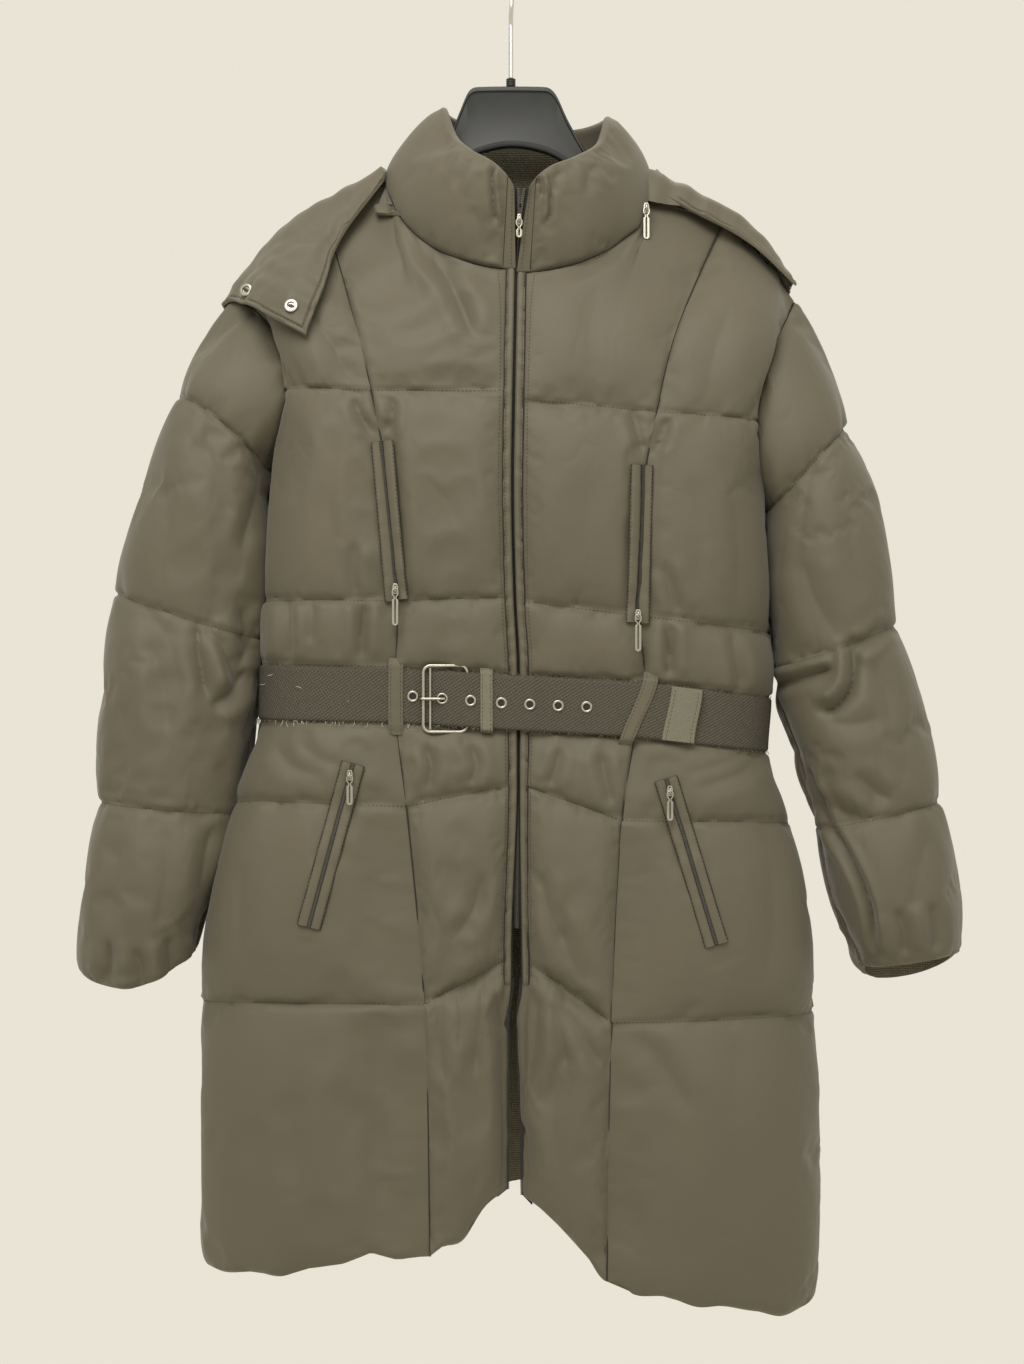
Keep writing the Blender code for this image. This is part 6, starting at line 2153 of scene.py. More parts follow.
# Right and left hood tabs, neck to end: ridge x, z, front edge x, y, z, back turn
TABS = {
    Side.RIGHT: (
        (-0.118, -0.197, -0.121, -0.030, -0.216, 60.0),
        (-0.152, -0.213, -0.142, -0.045, -0.246, 55.0),
        (-0.180, -0.228, -0.155, -0.055, -0.273, 52.0),
        (-0.209, -0.252, -0.162, -0.060, -0.303, 50.0),
        (-0.241, -0.306, -0.176, -0.060, -0.343, 48.0),
    ),
    Side.LEFT: (
        (0.131, -0.206, 0.132, -0.015, -0.213, 60.0),
        (0.160, -0.218, 0.160, -0.020, -0.229, 55.0),
        (0.188, -0.233, 0.188, -0.025, -0.244, 52.0),
        (0.215, -0.254, 0.213, -0.028, -0.262, 50.0),
        (0.243, -0.292, 0.245, -0.026, -0.292, 48.0),
    ),
}
TAB_LAY = 0.0032
TAB_MORE = 0.11
TAB_STUB = 0.06
TAB_END = (-0.2275, -0.3120)


@dataclass
class Hood:
    """The hood that hangs behind, and its two front ends that lie over the shoulders."""

    nodes: dict[str, Thing]
    sewing: Sewing
    places: int = 168
    turns: int = 120

    def build(self) -> list[Thing]:
        """All of its pieces.

        Returns:
            The pieces.
        """
        made = [self.tab(side) for side in Side]
        made += [self.bag(), self.zip_end(), self.neck_tab()]
        return made

    def patch(self, corners: Sequence[tuple[float, float]], count: tuple[int, int]) -> tuple[Array, Array]:
        """A grid on the body between four corners, top edge first, seen from the front, and its normals.

        Args:
            corners: the (x, z) corners.
            count: its rows and columns.

        Returns:
            The points and the directions.
        """
        solids = Solids(self.nodes, (*FRONTS, "back"))
        (a, b), (c, d) = np.array(corners[:2]), np.array(corners[2:])
        base = np.zeros((count[0], count[1], 3))
        for i, down in enumerate(np.linspace(0.0, 1.0, count[0])):
            for j, over in enumerate(np.linspace(0.0, 1.0, count[1])):
                x, z = mix(mix(a, b, over), mix(c, d, over), down)
                found = solids.seen(x, z)
                base[i, j] = (x, found[1] if found is not None else np.nan, z)
        known = np.isfinite(base[..., 1])
        base[..., 1] = np.where(known, base[..., 1], np.nanmax(base[..., 1]))
        base[..., 1] = soften(base[..., 1], 40)
        return base, grid_normals(base, np.array([0.0, -1.0, 0.2]))

    def zip_end(self) -> Thing:
        """The frayed end of the hood zip's tape, between the right tab and the collar.

        Returns:
            The piece.
        """
        base, normals = self.patch(((-0.1080, -0.1900), (-0.0985, -0.1920), (-0.1160, -0.2215), (-0.0965, -0.2235)),
                                   (25, 25))
        return Band("hood_zip_end_cloth", base, normals, 0.0032, 0.0014, RIBBED, on=("front_side_right_cloth",),
                    seams=(0.2, 0.4, 0.6, 0.8), bead=0.0007, seed=4).build(self.sewing)

    def neck_tab(self) -> Thing:
        """A small folded tab at the foot of the collar, under the hood zip's end.

        Returns:
            The piece.
        """
        base, normals = self.patch(((-0.1195, -0.2225), (-0.0935, -0.2275), (-0.1175, -0.2305), (-0.0955, -0.2350)),
                                   (25, 17))
        return Band("neck_tab_cloth", base, normals, 0.0040, 0.0026, SHELL, on=("front_side_right_cloth",),
                    seams=(0.25, 0.75), bead=0.0008, ripple=0.0003, seed=5).build(self.sewing)

    def spread(self, count: int) -> Array:
        """Even steps from 0 to 1 that are closer together near both ends."""
        even = np.linspace(0.0, 1.0, count + 1)
        return even - 0.11 * np.sin(even * math.tau)

    def tab(self, side: Side) -> Thing:
        """One front end, topstitched round its edge.

        Args:
            side: the wearer's side.

        Returns:
            The piece.
        """
        at, turns = self.spread(self.places), self.spread(self.turns)
        steps = np.linspace(-TAB_MORE, 1.3, 72)
        laid = self.laid(side, steps, turns)
        ends_at = self.straight_end(side, laid, steps)
        base = np.stack([smooth_run(laid[:, j], steps, mix(-TAB_MORE, 1.0, at) + (end - 1.0) * at ** 3)
                         for j, end in enumerate(ends_at)], 1)
        normals = grid_normals(base, base - base.mean(1, keepdims=True) + [0.0, 0.0, 0.03])
        rise = np.cumsum(np.linalg.norm(np.diff(base, axis=0, prepend=base[:1]), axis=-1), 0)
        run = np.cumsum(np.linalg.norm(np.diff(base, axis=1, prepend=base[:, :1]), axis=-1), 1)
        ends = rise[-1] - rise
        sides = np.minimum(run, run[:, -1:] - run)
        thick = self.thickness(side, base, rise, run, ends, sides)
        if side is Side.LEFT:
            near = (1.0 - smooth_step(at, 0.0, 0.5))[:, None] * np.sin(np.clip(turns / 0.8, 0, 1) * math.pi)[None, :]
            thick = thick + near * (0.010 + 0.0035 * ripple(rise[:, 60], 0.011, 15)[:, None])
        off = 0.0035 if side is Side.RIGHT else 0.0
        rise_off = off * (at ** 5)[:, None] * np.clip(1.0 - turns / 0.5, 0.0, 1.0)[None, :]
        inner = base + normals * (TAB_LAY + rise_off)[..., None]
        outer = inner + normals * np.maximum(thick, 0.0006)[..., None]
        name = f"hood_tab_{side.word}"
        piece = stand_in(name, "cloth", layered_wall(f"{name}_cloth", outer, inner[::4, ::4]), (SHELL, SHELL))
        middle = len(at) // 2
        last_row = int(np.searchsorted(-ends[:, 8], -TOPSTITCH))
        for columns in (range(0, len(turns) // 2), range(len(turns) // 2, len(turns))):
            picks = [columns[int(np.abs(sides[row, columns] - TOPSTITCH).argmin())] for row in range(last_row)]
            self.sewing.run(outer[range(last_row), picks], normals[range(last_row), picks])
        across = np.arange(6, len(turns) - 6)
        rows = [middle + int(np.abs(ends[middle:, column] - TOPSTITCH).argmin()) for column in across]
        self.sewing.run(outer[rows, across], normals[rows, across])
        if side is Side.RIGHT:
            self.snaps(outer, normals)
        return piece

    def laid(self, side: Side, steps: Array, turns: Array) -> Array:
        """A tab's underside as it lies over the coat and the sleeve.

        Args:
            side: the wearer's side.
            steps: S places from the neck outwards.
            turns: T places from the front edge over the ridge to the back.

        Returns:
            An array of S by T points.
        """
        solids = Solids(self.nodes, (*FRONTS, *SLEEVES, "back"))
        read = self.outline(side, steps)
        ridge = np.stack([read[:, 0], 0 * steps, read[:, 1]], -1)
        front = read[:, 2:5]
        axis = ridge + [-side.value * 0.02, 0.0, -0.055]
        start, up = front - axis, ridge - axis
        first = np.arctan2(-start[:, 1], start[:, 2])
        last = -np.radians(read[:, 5])
        fine = np.linspace(-0.12, 1.0, 113)

        def direction(turn: float) -> Array:
            """The ways that the rays of a turn run.

            Args:
                turn: the place over the ridge.

            Returns:
                A direction for each step.
            """
            angle = mix(first, last, turn)
            lean = mix(start[:, 0], up[:, 0], min(max(turn * 1.6, 0.0), 1.0))
            return unit(np.stack([lean, -np.sin(angle) * 0.06, np.cos(angle) * 0.06], -1))

        reach = np.zeros((len(steps), len(fine)))
        for j, turn in enumerate(fine):
            for i, (origin, way) in enumerate(zip(axis, direction(turn))):
                found = solids.hit(origin + way * 0.4 + [0.0, 3 * SEAM, 0.0], -way)
                reach[i, j] = max((found - origin) @ way, 0.0) if found is not None else 0.0
        for i in range(len(steps) // 2, -1, -1):
            missed = (reach[i] < 0.6 * reach[i + 1]) | (reach[i] > 1.3 * reach[i + 1])
            reach[i] = np.where(missed, reach[i + 1], reach[i])
        wide = np.array([reach[:, max(j - 10, 0):j + 11].max(1) for j in range(len(fine))]).T
        wide = soften(wide, 50) + 0.0006
        laid = np.zeros((len(steps), len(turns), 3))
        for j, turn in enumerate(turns):
            far = np.array([np.interp(turn, fine, row) for row in wide])
            laid[:, j] = axis + direction(turn) * far[:, None]
        miss = (front - laid[:, 0]) * [1.0, 0.0, 1.0]
        laid += miss[:, None] * (np.clip(1.0 - turns / 0.7, 0.0, 1.0) ** 2)[None, :, None]
        for i, j in np.ndindex(len(steps), len(turns) // 2):
            found = solids.seen(laid[i, j, 0], laid[i, j, 2])
            laid[i, j, 1] = laid[i, j, 1] if found is None else min(laid[i, j, 1], found[1])
        laid[..., 1] = soften(laid[..., 1], 6)
        return laid

    def thickness(self, side: Side, base: Array, rise: Array, run: Array, ends: Array, sides: Array) -> Array:
        """A tab's thickness, with the groove of its topstitching and its small folds.

        Args:
            side: the wearer's side.
            base: the points of its underside.
            rise: each point's distance from the neck.
            run: each point's distance from the front edge.
            ends: the distance to the end.
            sides: the distance to the nearer long edge.

        Returns:
            The thickness at each point.
        """
        edge = np.minimum(ends, sides)
        thick = 0.0008 + 0.0022 * np.sqrt(1.0 - (1.0 - np.clip(edge / 0.0014, 0, 1)) ** 2)
        groove = np.exp(-((edge - TOPSTITCH) / 0.0008) ** 2)
        pad = 0.0036 * smooth_step(edge, 0.0046, 0.024)
        long_waves = ripple(rise[:, 20], 0.007, 5)[:, None] * np.exp(-sides / 0.011)
        cross_waves = ripple(run[-1], 0.007, 6)[None, :] * np.exp(-ends / 0.011)
        inward = smooth_step(edge, 0.004, 0.02)
        folds = cloudy(base, 0.045, 8 + int(side.value)) + 0.8 * cloudy(base, 0.022, 9)
        thick = thick - 0.0014 * groove + pad + 0.0019 * (long_waves + cross_waves) * smooth_step(edge, 0, 0.003)
        return thick + 0.0011 * folds * inward

    def outline(self, side: Side, steps: Array) -> Array:
        """The tab's rows read at any steps, run on straight past both ends.

        Args:
            side: the wearer's side.
            steps: places from the neck outwards.

        Returns:
            A row for each step.
        """
        rows = np.array(TABS[side])

        def at(places: Array) -> Array:
            """The rows read at places from 0 to 1."""
            return smooth_run(rows, range(len(rows)), places * (len(rows) - 1))

        read = at(np.clip(steps, 0.0, 1.0))
        low, high = at(np.array([0.0, TAB_STUB])), at(np.array([1.0 - TAB_STUB, 1.0]))
        read += np.minimum(steps, 0.0)[:, None] * (low[1] - low[0]) / TAB_STUB
        read += np.maximum(steps - 1.0, 0.0)[:, None] * (high[1] - high[0]) / TAB_STUB
        return read

    def straight_end(self, side: Side, laid: Array, steps: Array) -> Array:
        """Where each column ends so that the tab's end looks straight from the front.

        Args:
            side: the wearer's side.
            laid: the tab's underside.
            steps: its rows' places.

        Returns:
            A place for each column.
        """
        ends_at = np.ones(laid.shape[1])
        if side is Side.LEFT:
            return ends_at
        first = smooth_run(laid[:, 0], steps, np.array([1.0]))[0][[0, 2]]
        run = np.array(TAB_END) - first
        top = int(laid[:, :, 2].mean(0).argmax())
        late = np.linspace(0.7, 1.29, 200)
        for column in range(1, top + 1):
            path = smooth_run(laid[:, column], steps, late)[:, [0, 2]] - first
            beyond = path[:, 0] * run[1] - path[:, 1] * run[0]
            crossed = np.nonzero(beyond[:-1] * beyond[1:] <= 0.0)[0]
            ends_at[column] = late[crossed[-1]] if len(crossed) else ends_at[column - 1]
        ends_at[top + 1:] = ends_at[top]
        return np.convolve(np.pad(ends_at, 3, mode="edge"), np.full(7, 1 / 7), mode="valid")

    def snaps(self, outer: Array, normals: Array) -> None:
        """Two press studs near the right tab's end, each with a black slot in its middle as painted shade in its
        hole.

        Args:
            outer: the tab's outside.
            normals: the outward directions there.
        """
        profile = ((0.0, -0.0004), (0.0030, -0.0004), (0.0031, 0.0006), (0.0036, 0.0011), (0.0048, 0.0012),
                   (0.0057, 0.0008), (0.0060, 0.0), (0.0058, -0.0012), (0.0, -0.0012))
        for number, place in enumerate(((-0.1866, -0.3174), (-0.2300, -0.2969))):
            away = np.linalg.norm(outer[..., (0, 2)] - place, axis=-1) + (outer[..., 1] > -0.02)
            row, column = np.unravel_index(int(away.argmin()), away.shape)
            out = unit(normals[row, column] + [0.0, -0.7 - 0.9 * number, 0.0])
            seat = basis(outer[row, column] + out * (0.0009 + 0.0009 * number),
                         outer[row + 1, column] - outer[row, column], out)
            ring = turned(profile, seat, 32)
            # A black slot in the stud's middle: painted shade for its hole.
            slot = turned(((0.0, 0.0001), (0.0019, 0.0001), (0.0022, -0.0002), (0.0022, -0.0008), (0.0, -0.0008)),
                          seat @ Matrix.Diagonal((0.75, 1.3, 1.0, 1.0)), 24)
            name = f"hood_snap_{number + 1}"
            stand_in(name, "metal", gather([(ring, 0), (slot, 1)], f"{name}_metal"), (NICKEL, BLACK_PLASTIC_AND_SLOT_SHADE))

    def behind_back(self) -> Callable[[Array, Array], Array]:
        """A function that reads how far back the coat's back comes round an x and a z.

        Returns:
            The function.
        """
        solids = Solids(self.nodes, ["back"])
        xs = np.linspace(-0.21, 0.21, 71)
        zs = np.linspace(-0.56, -0.19, 62)
        depth = np.zeros((len(zs), len(xs)))
        for i, z in enumerate(zs):
            for j, x in enumerate(xs):
                found = solids.seen(x, z, 1.0)
                depth[i, j] = found[1] if found is not None else 0.0
        wide = np.array([[depth[max(i - 4, 0):i + 5, max(j - 2, 0):j + 3].max() for j in range(len(xs))]
                         for i in range(len(zs))])
        wide = soften(wide, 2)

        def read(x: Array, z: Array) -> Array:
            """How far back it comes, read between the rays.

            Args:
                x: places across.
                z: heights.

            Returns:
                The y at each.
            """
            column = np.clip((x - xs[0]) / (xs[1] - xs[0]), 0, len(xs) - 1.001)
            row = np.clip((z - zs[0]) / (zs[1] - zs[0]), 0, len(zs) - 1.001)
            i, j = row.astype(int), column.astype(int)
            a, b = row - i, column - j
            low = wide[i, j] * (1 - b) + wide[i, j + 1] * b
            high = wide[i + 1, j] * (1 - b) + wide[i + 1, j + 1] * b
            return 0.0008 + low * (1 - a) + high * a

        return read

    def bag(self) -> Thing:
        """The flattened bag, puffed on its outside.

        Returns:
            The piece.
        """
        near_at = self.behind_back()

        def walls(turn: Array, drop: Array) -> tuple[Array, Array]:
            """The bag's near and far walls.

            Args:
                turn: places round, from 0 to 1.
                drop: places down, from 0 to 1.

            Returns:
                The points of both.
            """
            angle = turn[None, :] * math.tau + 0 * drop[:, None]
            drop = drop[:, None] + 0 * angle
            half = 0.178 * (1.0 - 0.30 * drop ** 1.6)
            x = -half * np.cos(angle) + 0.006
            corner = np.abs(np.cos(angle))
            mouth = -0.222 - 0.030 * np.maximum(np.sin(angle), 0.0) - 0.060 * corner ** 3
            z = mix(mouth, -0.520 + 0.045 * corner ** 2, drop)
            near = near_at(x, z)
            full = 0.058 * np.maximum(0.0, 1.0 - drop ** 2.2) ** 0.7 * (0.55 + 0.45 * np.sin(drop * math.pi))
            far = near + full * np.abs(np.sin(angle)) ** 0.75
            return np.stack([x, near, z], -1), np.stack([x, far, z], -1)

        drop = np.linspace(0.0, 1.0, 73)
        turn = np.linspace(0.0, 0.5, 97)
        near, far = walls(turn, drop)
        side_full = np.abs(np.sin(turn * math.tau)) ** 0.75
        room = far[..., 1] - near[..., 1]

        def puffs(at: Array, stops: Sequence[float], power: float) -> Array:
            """How full the cells between stops are.

            Args:
                at: where to read.
                stops: the cells' edges.
                power: how flat the middle is.

            Returns:
                A share for each place.
            """
            full = sum(np.where((at >= low) & (at <= high), np.maximum(swell((at - low) / (high - low), power), 0), 0)
                       for low, high in zip(stops, stops[1:]))
            return np.minimum(full, 1)

        down, across = puffs(drop, (0.0, 0.36, 0.70, 1.0), 2.4), puffs(turn, (0.0, 1 / 6, 1 / 3, 0.5), 3.0)
        crown = np.minimum(0.008, 0.5 * room) * down[:, None] * across[None, :]
        crown *= side_full[None, :] ** 0.5
        base = far.copy()
        base[..., 1] -= np.minimum(0.006, 0.45 * room)
        normals = grid_normals(base, np.array([0.0, 1.0, 0.0]))
        still = np.zeros(crown.shape)
        still[:, (32, 64)] = 1.0
        inner_base = base.copy()
        inner_base[..., 1] = np.maximum(base[..., 1] - 0.003, mix(near[..., 1], base[..., 1], 0.5))
        panel = QuiltedPanel("hood", base, normals, crown, inner_base[::4, ::4], [26, 50], still,
                             np.full(crown.shape, 0.003), seed=81)
        outer_mesh = layered_wall("hood_far", panel.outside(), panel.inner)
        under, over = walls(np.linspace(0.5, 1.0, 97), drop)
        gap = over[..., 1] - under[..., 1]
        lining = under.copy()
        lining[..., 1] += np.minimum(0.003, 0.5 * gap) + 0.0002
        near_mesh = layered_wall("hood_near", under, lining[::4, ::4])
        mesh = gather_kept([outer_mesh, near_mesh], "hood_cloth")
        piece = stand_in("hood", "cloth", mesh, (SHELL, LINING))
        return piece


# ---------------------------------------------------------------- front zip, pockets and sliders

PLACKET_THICKNESS = 0.0022


@dataclass
class FrontZip:
    """The bands over the centre zip, its tapes and its teeth."""

    sewing: Sewing

    def build(self) -> list[Thing]:
        """All of its pieces.

        Returns:
            The pieces.
        """
        levels = body_levels()
        made = []
        for side in Side:
            base = COAT_FORM.surface(Face.FRONT, side, np.linspace(0.0, 0.25, 81), levels)
            base = along_rows(base, np.repeat(np.linspace(0.0012, BAND_WIDTH, 17)[None], len(levels), 0))
            normals = grid_normals(base, FORWARD)
            closed = int((base[:, 0, 2] > -0.915).argmax())
            base -= normals * 0.0080 * smooth_step(-base[..., 2:], 0.888, 0.902)
            base[..., 0] += parted(side, base[..., 2])
            made.append(Band(f"placket_{side.word}_cloth", base, normals, LAY, 0.0013, SHELL,
                             on=(f"front_centre_{side.word}_cloth",), replaces=(f"placket_{side.word}",),
                             seams=(0.8,), bead=0.0007, ripple=0.0011,
                             seed=51 + int(side.value)).build(self.sewing))
            # A thick dark wire of painted shade along the band's outer edge, where its groove is shaded.
            self.sewing.seam((base[:, -1] + normals[:, -1] * (LAY + 0.0004))[closed:], 0.0010)
            places = np.linspace(-0.1, 0.12, 13)
            tape = COAT_FORM.surface(Face.FRONT, side, np.maximum(places, 0.0), levels, WALL + LAY * 1.5 + 0.001)
            open_part = np.clip((1.1 - levels) / 0.3, 0.0, 1.0)
            shown = mix(0.0004, 0.0010, open_part)[:, None] * np.clip(-places / 0.1, 0.0, 1.0)[None, :]
            tape[..., 0] += parted(side, tape[..., 2]) - side.value * shown
            normals = grid_normals(tape, FORWARD)
            edge = tape[:70, 0] + normals[:70, 0] * 0.0002
            line = evenly_along(edge, 0.0014)
            teeth = blocks(line, ACROSS, FORWARD, (0.0022, 0.0008, 0.0017))
            band = Band(f"zip_tape_{side.word}_cloth", tape, normals, 0.0, 0.0010, BLACK_TAPE_AND_HOLE_SHADE,
                        on=(f"front_centre_{side.word}_cloth",), replaces=(f"zip_tape_{side.word}",))
            made.append(band.build(extra=((teeth, 2),), finishes=(BLACK_PLASTIC_AND_SLOT_SHADE,)))
        closed = levels[(levels >= 1.15) & (levels <= 8.8)]
        depth = WALL + LAY * 2.6 + 0.0010
        right = COAT_FORM.surface(Face.FRONT, Side.RIGHT, [0.0], closed, depth)[:, 0]
        left = COAT_FORM.surface(Face.FRONT, Side.LEFT, [0.0], closed, depth)[:, 0]
        made.append(zip_chain("zip_chain", 0.5 * (right + left)))
        return made


@dataclass(frozen=True)
class Pocket:
    """One zipped pocket, seen from the front."""

    name: str
    top: tuple[float, float]
    bottom: tuple[float, float]
    pivot: tuple[float, float, float]
    half_width: float = 0.0098


POCKETS = (
    Pocket("chest_right", (-0.1095, -0.432), (-0.0975, -0.566), (-0.09834, -0.096901, -0.55662)),
    Pocket("chest_left", (0.1095, -0.452), (0.106, -0.585), (0.106175, -0.096337, -0.57835)),
    Pocket("hip_right", (-0.134, -0.704), (-0.171, -0.841), (-0.13659, -0.097359, -0.71359)),
    Pocket("hip_left", (0.130, -0.717), (0.172, -0.856), (0.13294, -0.097692, -0.72673)),
)


@dataclass
class PocketZips:
    """The four pockets' welts, each two lips with the closed zip between them."""

    nodes: dict[str, Thing]
    sewing: Sewing

    def build(self) -> list[Thing]:
        """All four."""
        solids = Solids(self.nodes, FRONTS)
        return [self.welt(pocket, solids) for pocket in POCKETS]

    def welt(self, pocket: Pocket, solids: Solids) -> Thing:
        """One pocket's welt.

        Args:
            pocket: the pocket.
            solids: what the rays meet.

        Returns:
            The piece.
        """
        top, bottom = np.array(pocket.top), np.array(pocket.bottom)
        down = unit(bottom - top)
        side = np.array([-down[1], down[0]])
        length = np.linalg.norm(bottom - top)
        along = np.linspace(0.0, 1.0, 81)
        across = np.linspace(-1.0, 1.0, 33)
        base = np.zeros((len(along), len(across), 3))
        for i, share in enumerate(along):
            for j, place in enumerate(across):
                x, z = mix(top, bottom, share) + side * place * pocket.half_width
                found = [solids.seen(x + dx, z + dz) for dx in (-0.005, 0.005) for dz in (-0.008, 0.008)]
                base[i, j] = (x, min(point[1] for point in found if point is not None), z)
        base[..., 1] = soften(base[..., 1], 10)
        normals = grid_normals(base, FORWARD)
        middle = base[:, 16]
        tape_base = np.stack([middle + normals[:, 16] * 0.0012 + shift * np.array([side[0], 0.0, side[1]])
                              for shift in np.linspace(-0.0019, 0.0019, 5)], 1)
        tape_mesh = layered_wall("tape", tape_base + normals[:, 14:19] * 0.0011, tape_base[::4, ::4])
        line = evenly_along(middle + normals[:, 16] * 0.0026, 0.0013)
        teeth = blocks(line, np.array([side[0], 0.0, side[1]]), normals[40, 16], (0.0022, 0.0008, 0.0008))

        def lips(share: Array) -> Array:
            """The thickness of the two lips.

            Args:
                share: places across.

            Returns:
                The thickness at each.
            """
            away = np.abs(2.0 * share - 1.0)
            bead = np.sqrt(np.maximum(1.0 - ((away - 0.56) / 0.44) ** 2, 0.0))
            return 0.0004 + 0.0016 * bead * (away > 0.15)

        band = Band(f"{pocket.name}_welt_cloth", base, normals, 0.0012, 0.0010, SHELL,
                    on=(f"front_side_{pocket.name.split('_')[1]}_cloth",), replaces=(f"{pocket.name}_welt",),
                    seams=(0.04, 0.96), ripple=0.0004, profile=lips, seed=int(length * 1e4))
        top_line = base + normals * 0.0016
        # Dark wires of painted shade round the welt's outline.
        for line in (top_line[:, 0], top_line[:, -1], top_line[0], top_line[-1]):
            self.sewing.seam(line, 0.0004)
        return band.build(self.sewing, extra=((from_mesh(tape_mesh), 2), (teeth, 3)), finishes=(BLACK_TAPE_AND_HOLE_SHADE, GUNMETAL))


@dataclass
class Sliders:
    """The zips' sliders, and the pull tab that swings on each."""

    nodes: dict[str, Thing]

    def build(self) -> list[Thing]:
        """All six of each.

        Returns:
            The pieces.
        """
        made = []
        for pocket in POCKETS:
            made += self.slider(pocket.name, pocket.pivot, 0.031 if "chest" in pocket.name else 0.025)
        made += self.slider("centre", (0.00611, -0.07382, -0.241022), 0.016)
        made += self.slider("hood_zip", (0.1165, -0.034814, -0.224), 0.028)
        return made

    def slider(self, name: str, pivot: tuple[float, float, float], length: float) -> list[Thing]:
        """One slider with its bridge, and its pull.

        Args:
            name: the zip's name.
            pivot: the pull's hinge.
            length: the pull's length.

        Returns:
            Both pieces.
        """
        corners = node_points(self.nodes[f"{name}_slider"])
        bar = np.array(pivot)
        seat = corners[:, 1].max()
        face = bar[1] + 0.0016
        width = min(corners[:, 0].max() - corners[:, 0].min(), 0.0068)
        half = 0.0045
        outline = [(-0.4, half), (-0.6, half * 0.7), (-0.75, 0.25 * half), (-0.7, -half * 0.55), (-0.5, -half)]
        outline = outline + [(-x, z) for x, z in reversed(outline)]
        parts = []
        for front, thick in ((face, 0.0009), (seat - 0.0009, 0.0009)):
            parts.append((self.plate(outline, width / 2, bar, front, thick), 0))
        post = bmesh.new()
        matrix = Matrix.Translation((bar[0], 0.5 * (seat + face), bar[2] + 0.002)) @ Matrix.Diagonal(
            (width * 0.3, seat - face, 0.0035, 1.0))
        bmesh.ops.create_cube(post, size=1.0, matrix=matrix)
        parts.append((post, 0))
        arch = [(bar[0], face + 0.0002, bar[2] + 0.0030), (bar[0], bar[1] - 0.0009, bar[2] + 0.0021),
                (bar[0], bar[1] - 0.0014, bar[2]), (bar[0], bar[1] - 0.0009, bar[2] - 0.0021),
                (bar[0], face + 0.0002, bar[2] - 0.0030)]
        parts.append((wire(curve_through(arch, 14), 0.0006, 8), 0))
        slider = stand_in(f"{name}_slider", "metal", gather(parts, f"{name}_slider"), (NICKEL,))
        ends = node_points(self.nodes[f"{name}_pull"])
        low = ends[ends[:, 2].argsort()[:8]].mean(0)
        tilt = math.atan2(low[1] - bar[1], bar[2] - low[2])
        return [slider, self.pull(name, bar, length, tilt)]

    def plate(self, outline: Sequence[tuple[float, float]], half: float, bar: Array, front: float,
              thick: float) -> BMesh:
        """A flat plate with rounded edges.

        Args:
            outline: its (x, z) points, x in half widths.
            half: its half width.
            bar: its middle.
            front: its front face's y.
            thick: its thickness.

        Returns:
            The bmesh.
        """
        shape = np.array([(bar[0] + x * half, 0.0, bar[2] + z) for x, z in outline])
        shape = curve_through(shape, 40, closed=True)
        centre = shape.mean(0)
        rings = []
        for inset, depth in ((0.86, 0.0), (0.97, 0.12), (1.0, 0.4), (1.0, 0.7), (0.95, 1.0)):
            ring = centre + (shape - centre) * inset
            ring[:, 1] = front + thick * depth
            rings.append(ring)
        return tube(np.array(rings))

    def pull(self, name: str, bar: Array, length: float, tilt: float) -> Thing:
        """A flat waisted tab with an eye at its top and a slot in its middle.

        Args:
            name: the zip's name.
            bar: its hinge.
            length: its length.
            tilt: how far it hangs from upright.

        Returns:
            The piece.
        """
        half = 0.0028
        turn = Matrix.Translation(Vector(bar)) @ Matrix.Rotation(tilt, 4, "X")
        outline = [(0.0, 0.0006), (0.0021, -0.0003), (0.0030, -0.0024), (0.0027, -0.0050), (0.0013, -0.0070),
                   (0.0015, -0.0084), (half, -0.0100), (half, -length + 0.0035), (0.0020, -length + 0.0008),
                   (0.0, -length)]
        whole = np.array(outline + [(-x, z) for x, z in reversed(outline[1:-1])])
        edge = curve_through(np.stack([whole[:, 0], 0 * whole[:, 0], whole[:, 1]], -1), 96, closed=True)
        centre_line = np.stack([0 * edge[:, 0], 0 * edge[:, 0], np.clip(edge[:, 2], -length + 0.0016, -0.0015)], -1)
        rings = []
        hole = np.interp(-edge[:, 2], [0.0, 0.0050, 0.0072, 0.0100, length - 0.004, length],
                         [0.62, 0.62, 0.15, 0.26, 0.26, 0.15])[:, None]
        for depth, out in ((0.0006, 0.5), (0.00045, 0.9), (0.0, 1.0), (-0.00045, 0.9), (-0.0006, 0.5),
                           (-0.0004, 0.0), (0.0004, 0.0)):
            ring = centre_line + (edge - centre_line) * mix(hole, 1.0, out)
            ring[:, 1] = depth
            rings.append(ring)
        bm = tube(np.array(rings), closed=True)
        bmesh.ops.transform(bm, matrix=turn, verts=bm.verts[:])
        return stand_in(f"{name}_pull", "metal", mesh_from(bm, f"{name}_pull_metal"), (NICKEL,), f"{name}_pull")


# ---------------------------------------------------------------- belt

BELT_THICKNESS = 0.0018
BELT_LAY = 0.0007
BELT_OVER = 0.0036
ONE_LAYER = BELT_LAY + BELT_THICKNESS
OVER_BELT = 0.0006
LOOP_WIDTH = 0.0125
KEEPER_WIDTH = 0.0105
KEEPER_X = -0.0215
TIP_X = 0.157
BUCKLE_X = (-0.075, -0.038)
EYELETS_X = (-0.084, -0.059, -0.035, -0.009, 0.015, 0.039, 0.063)


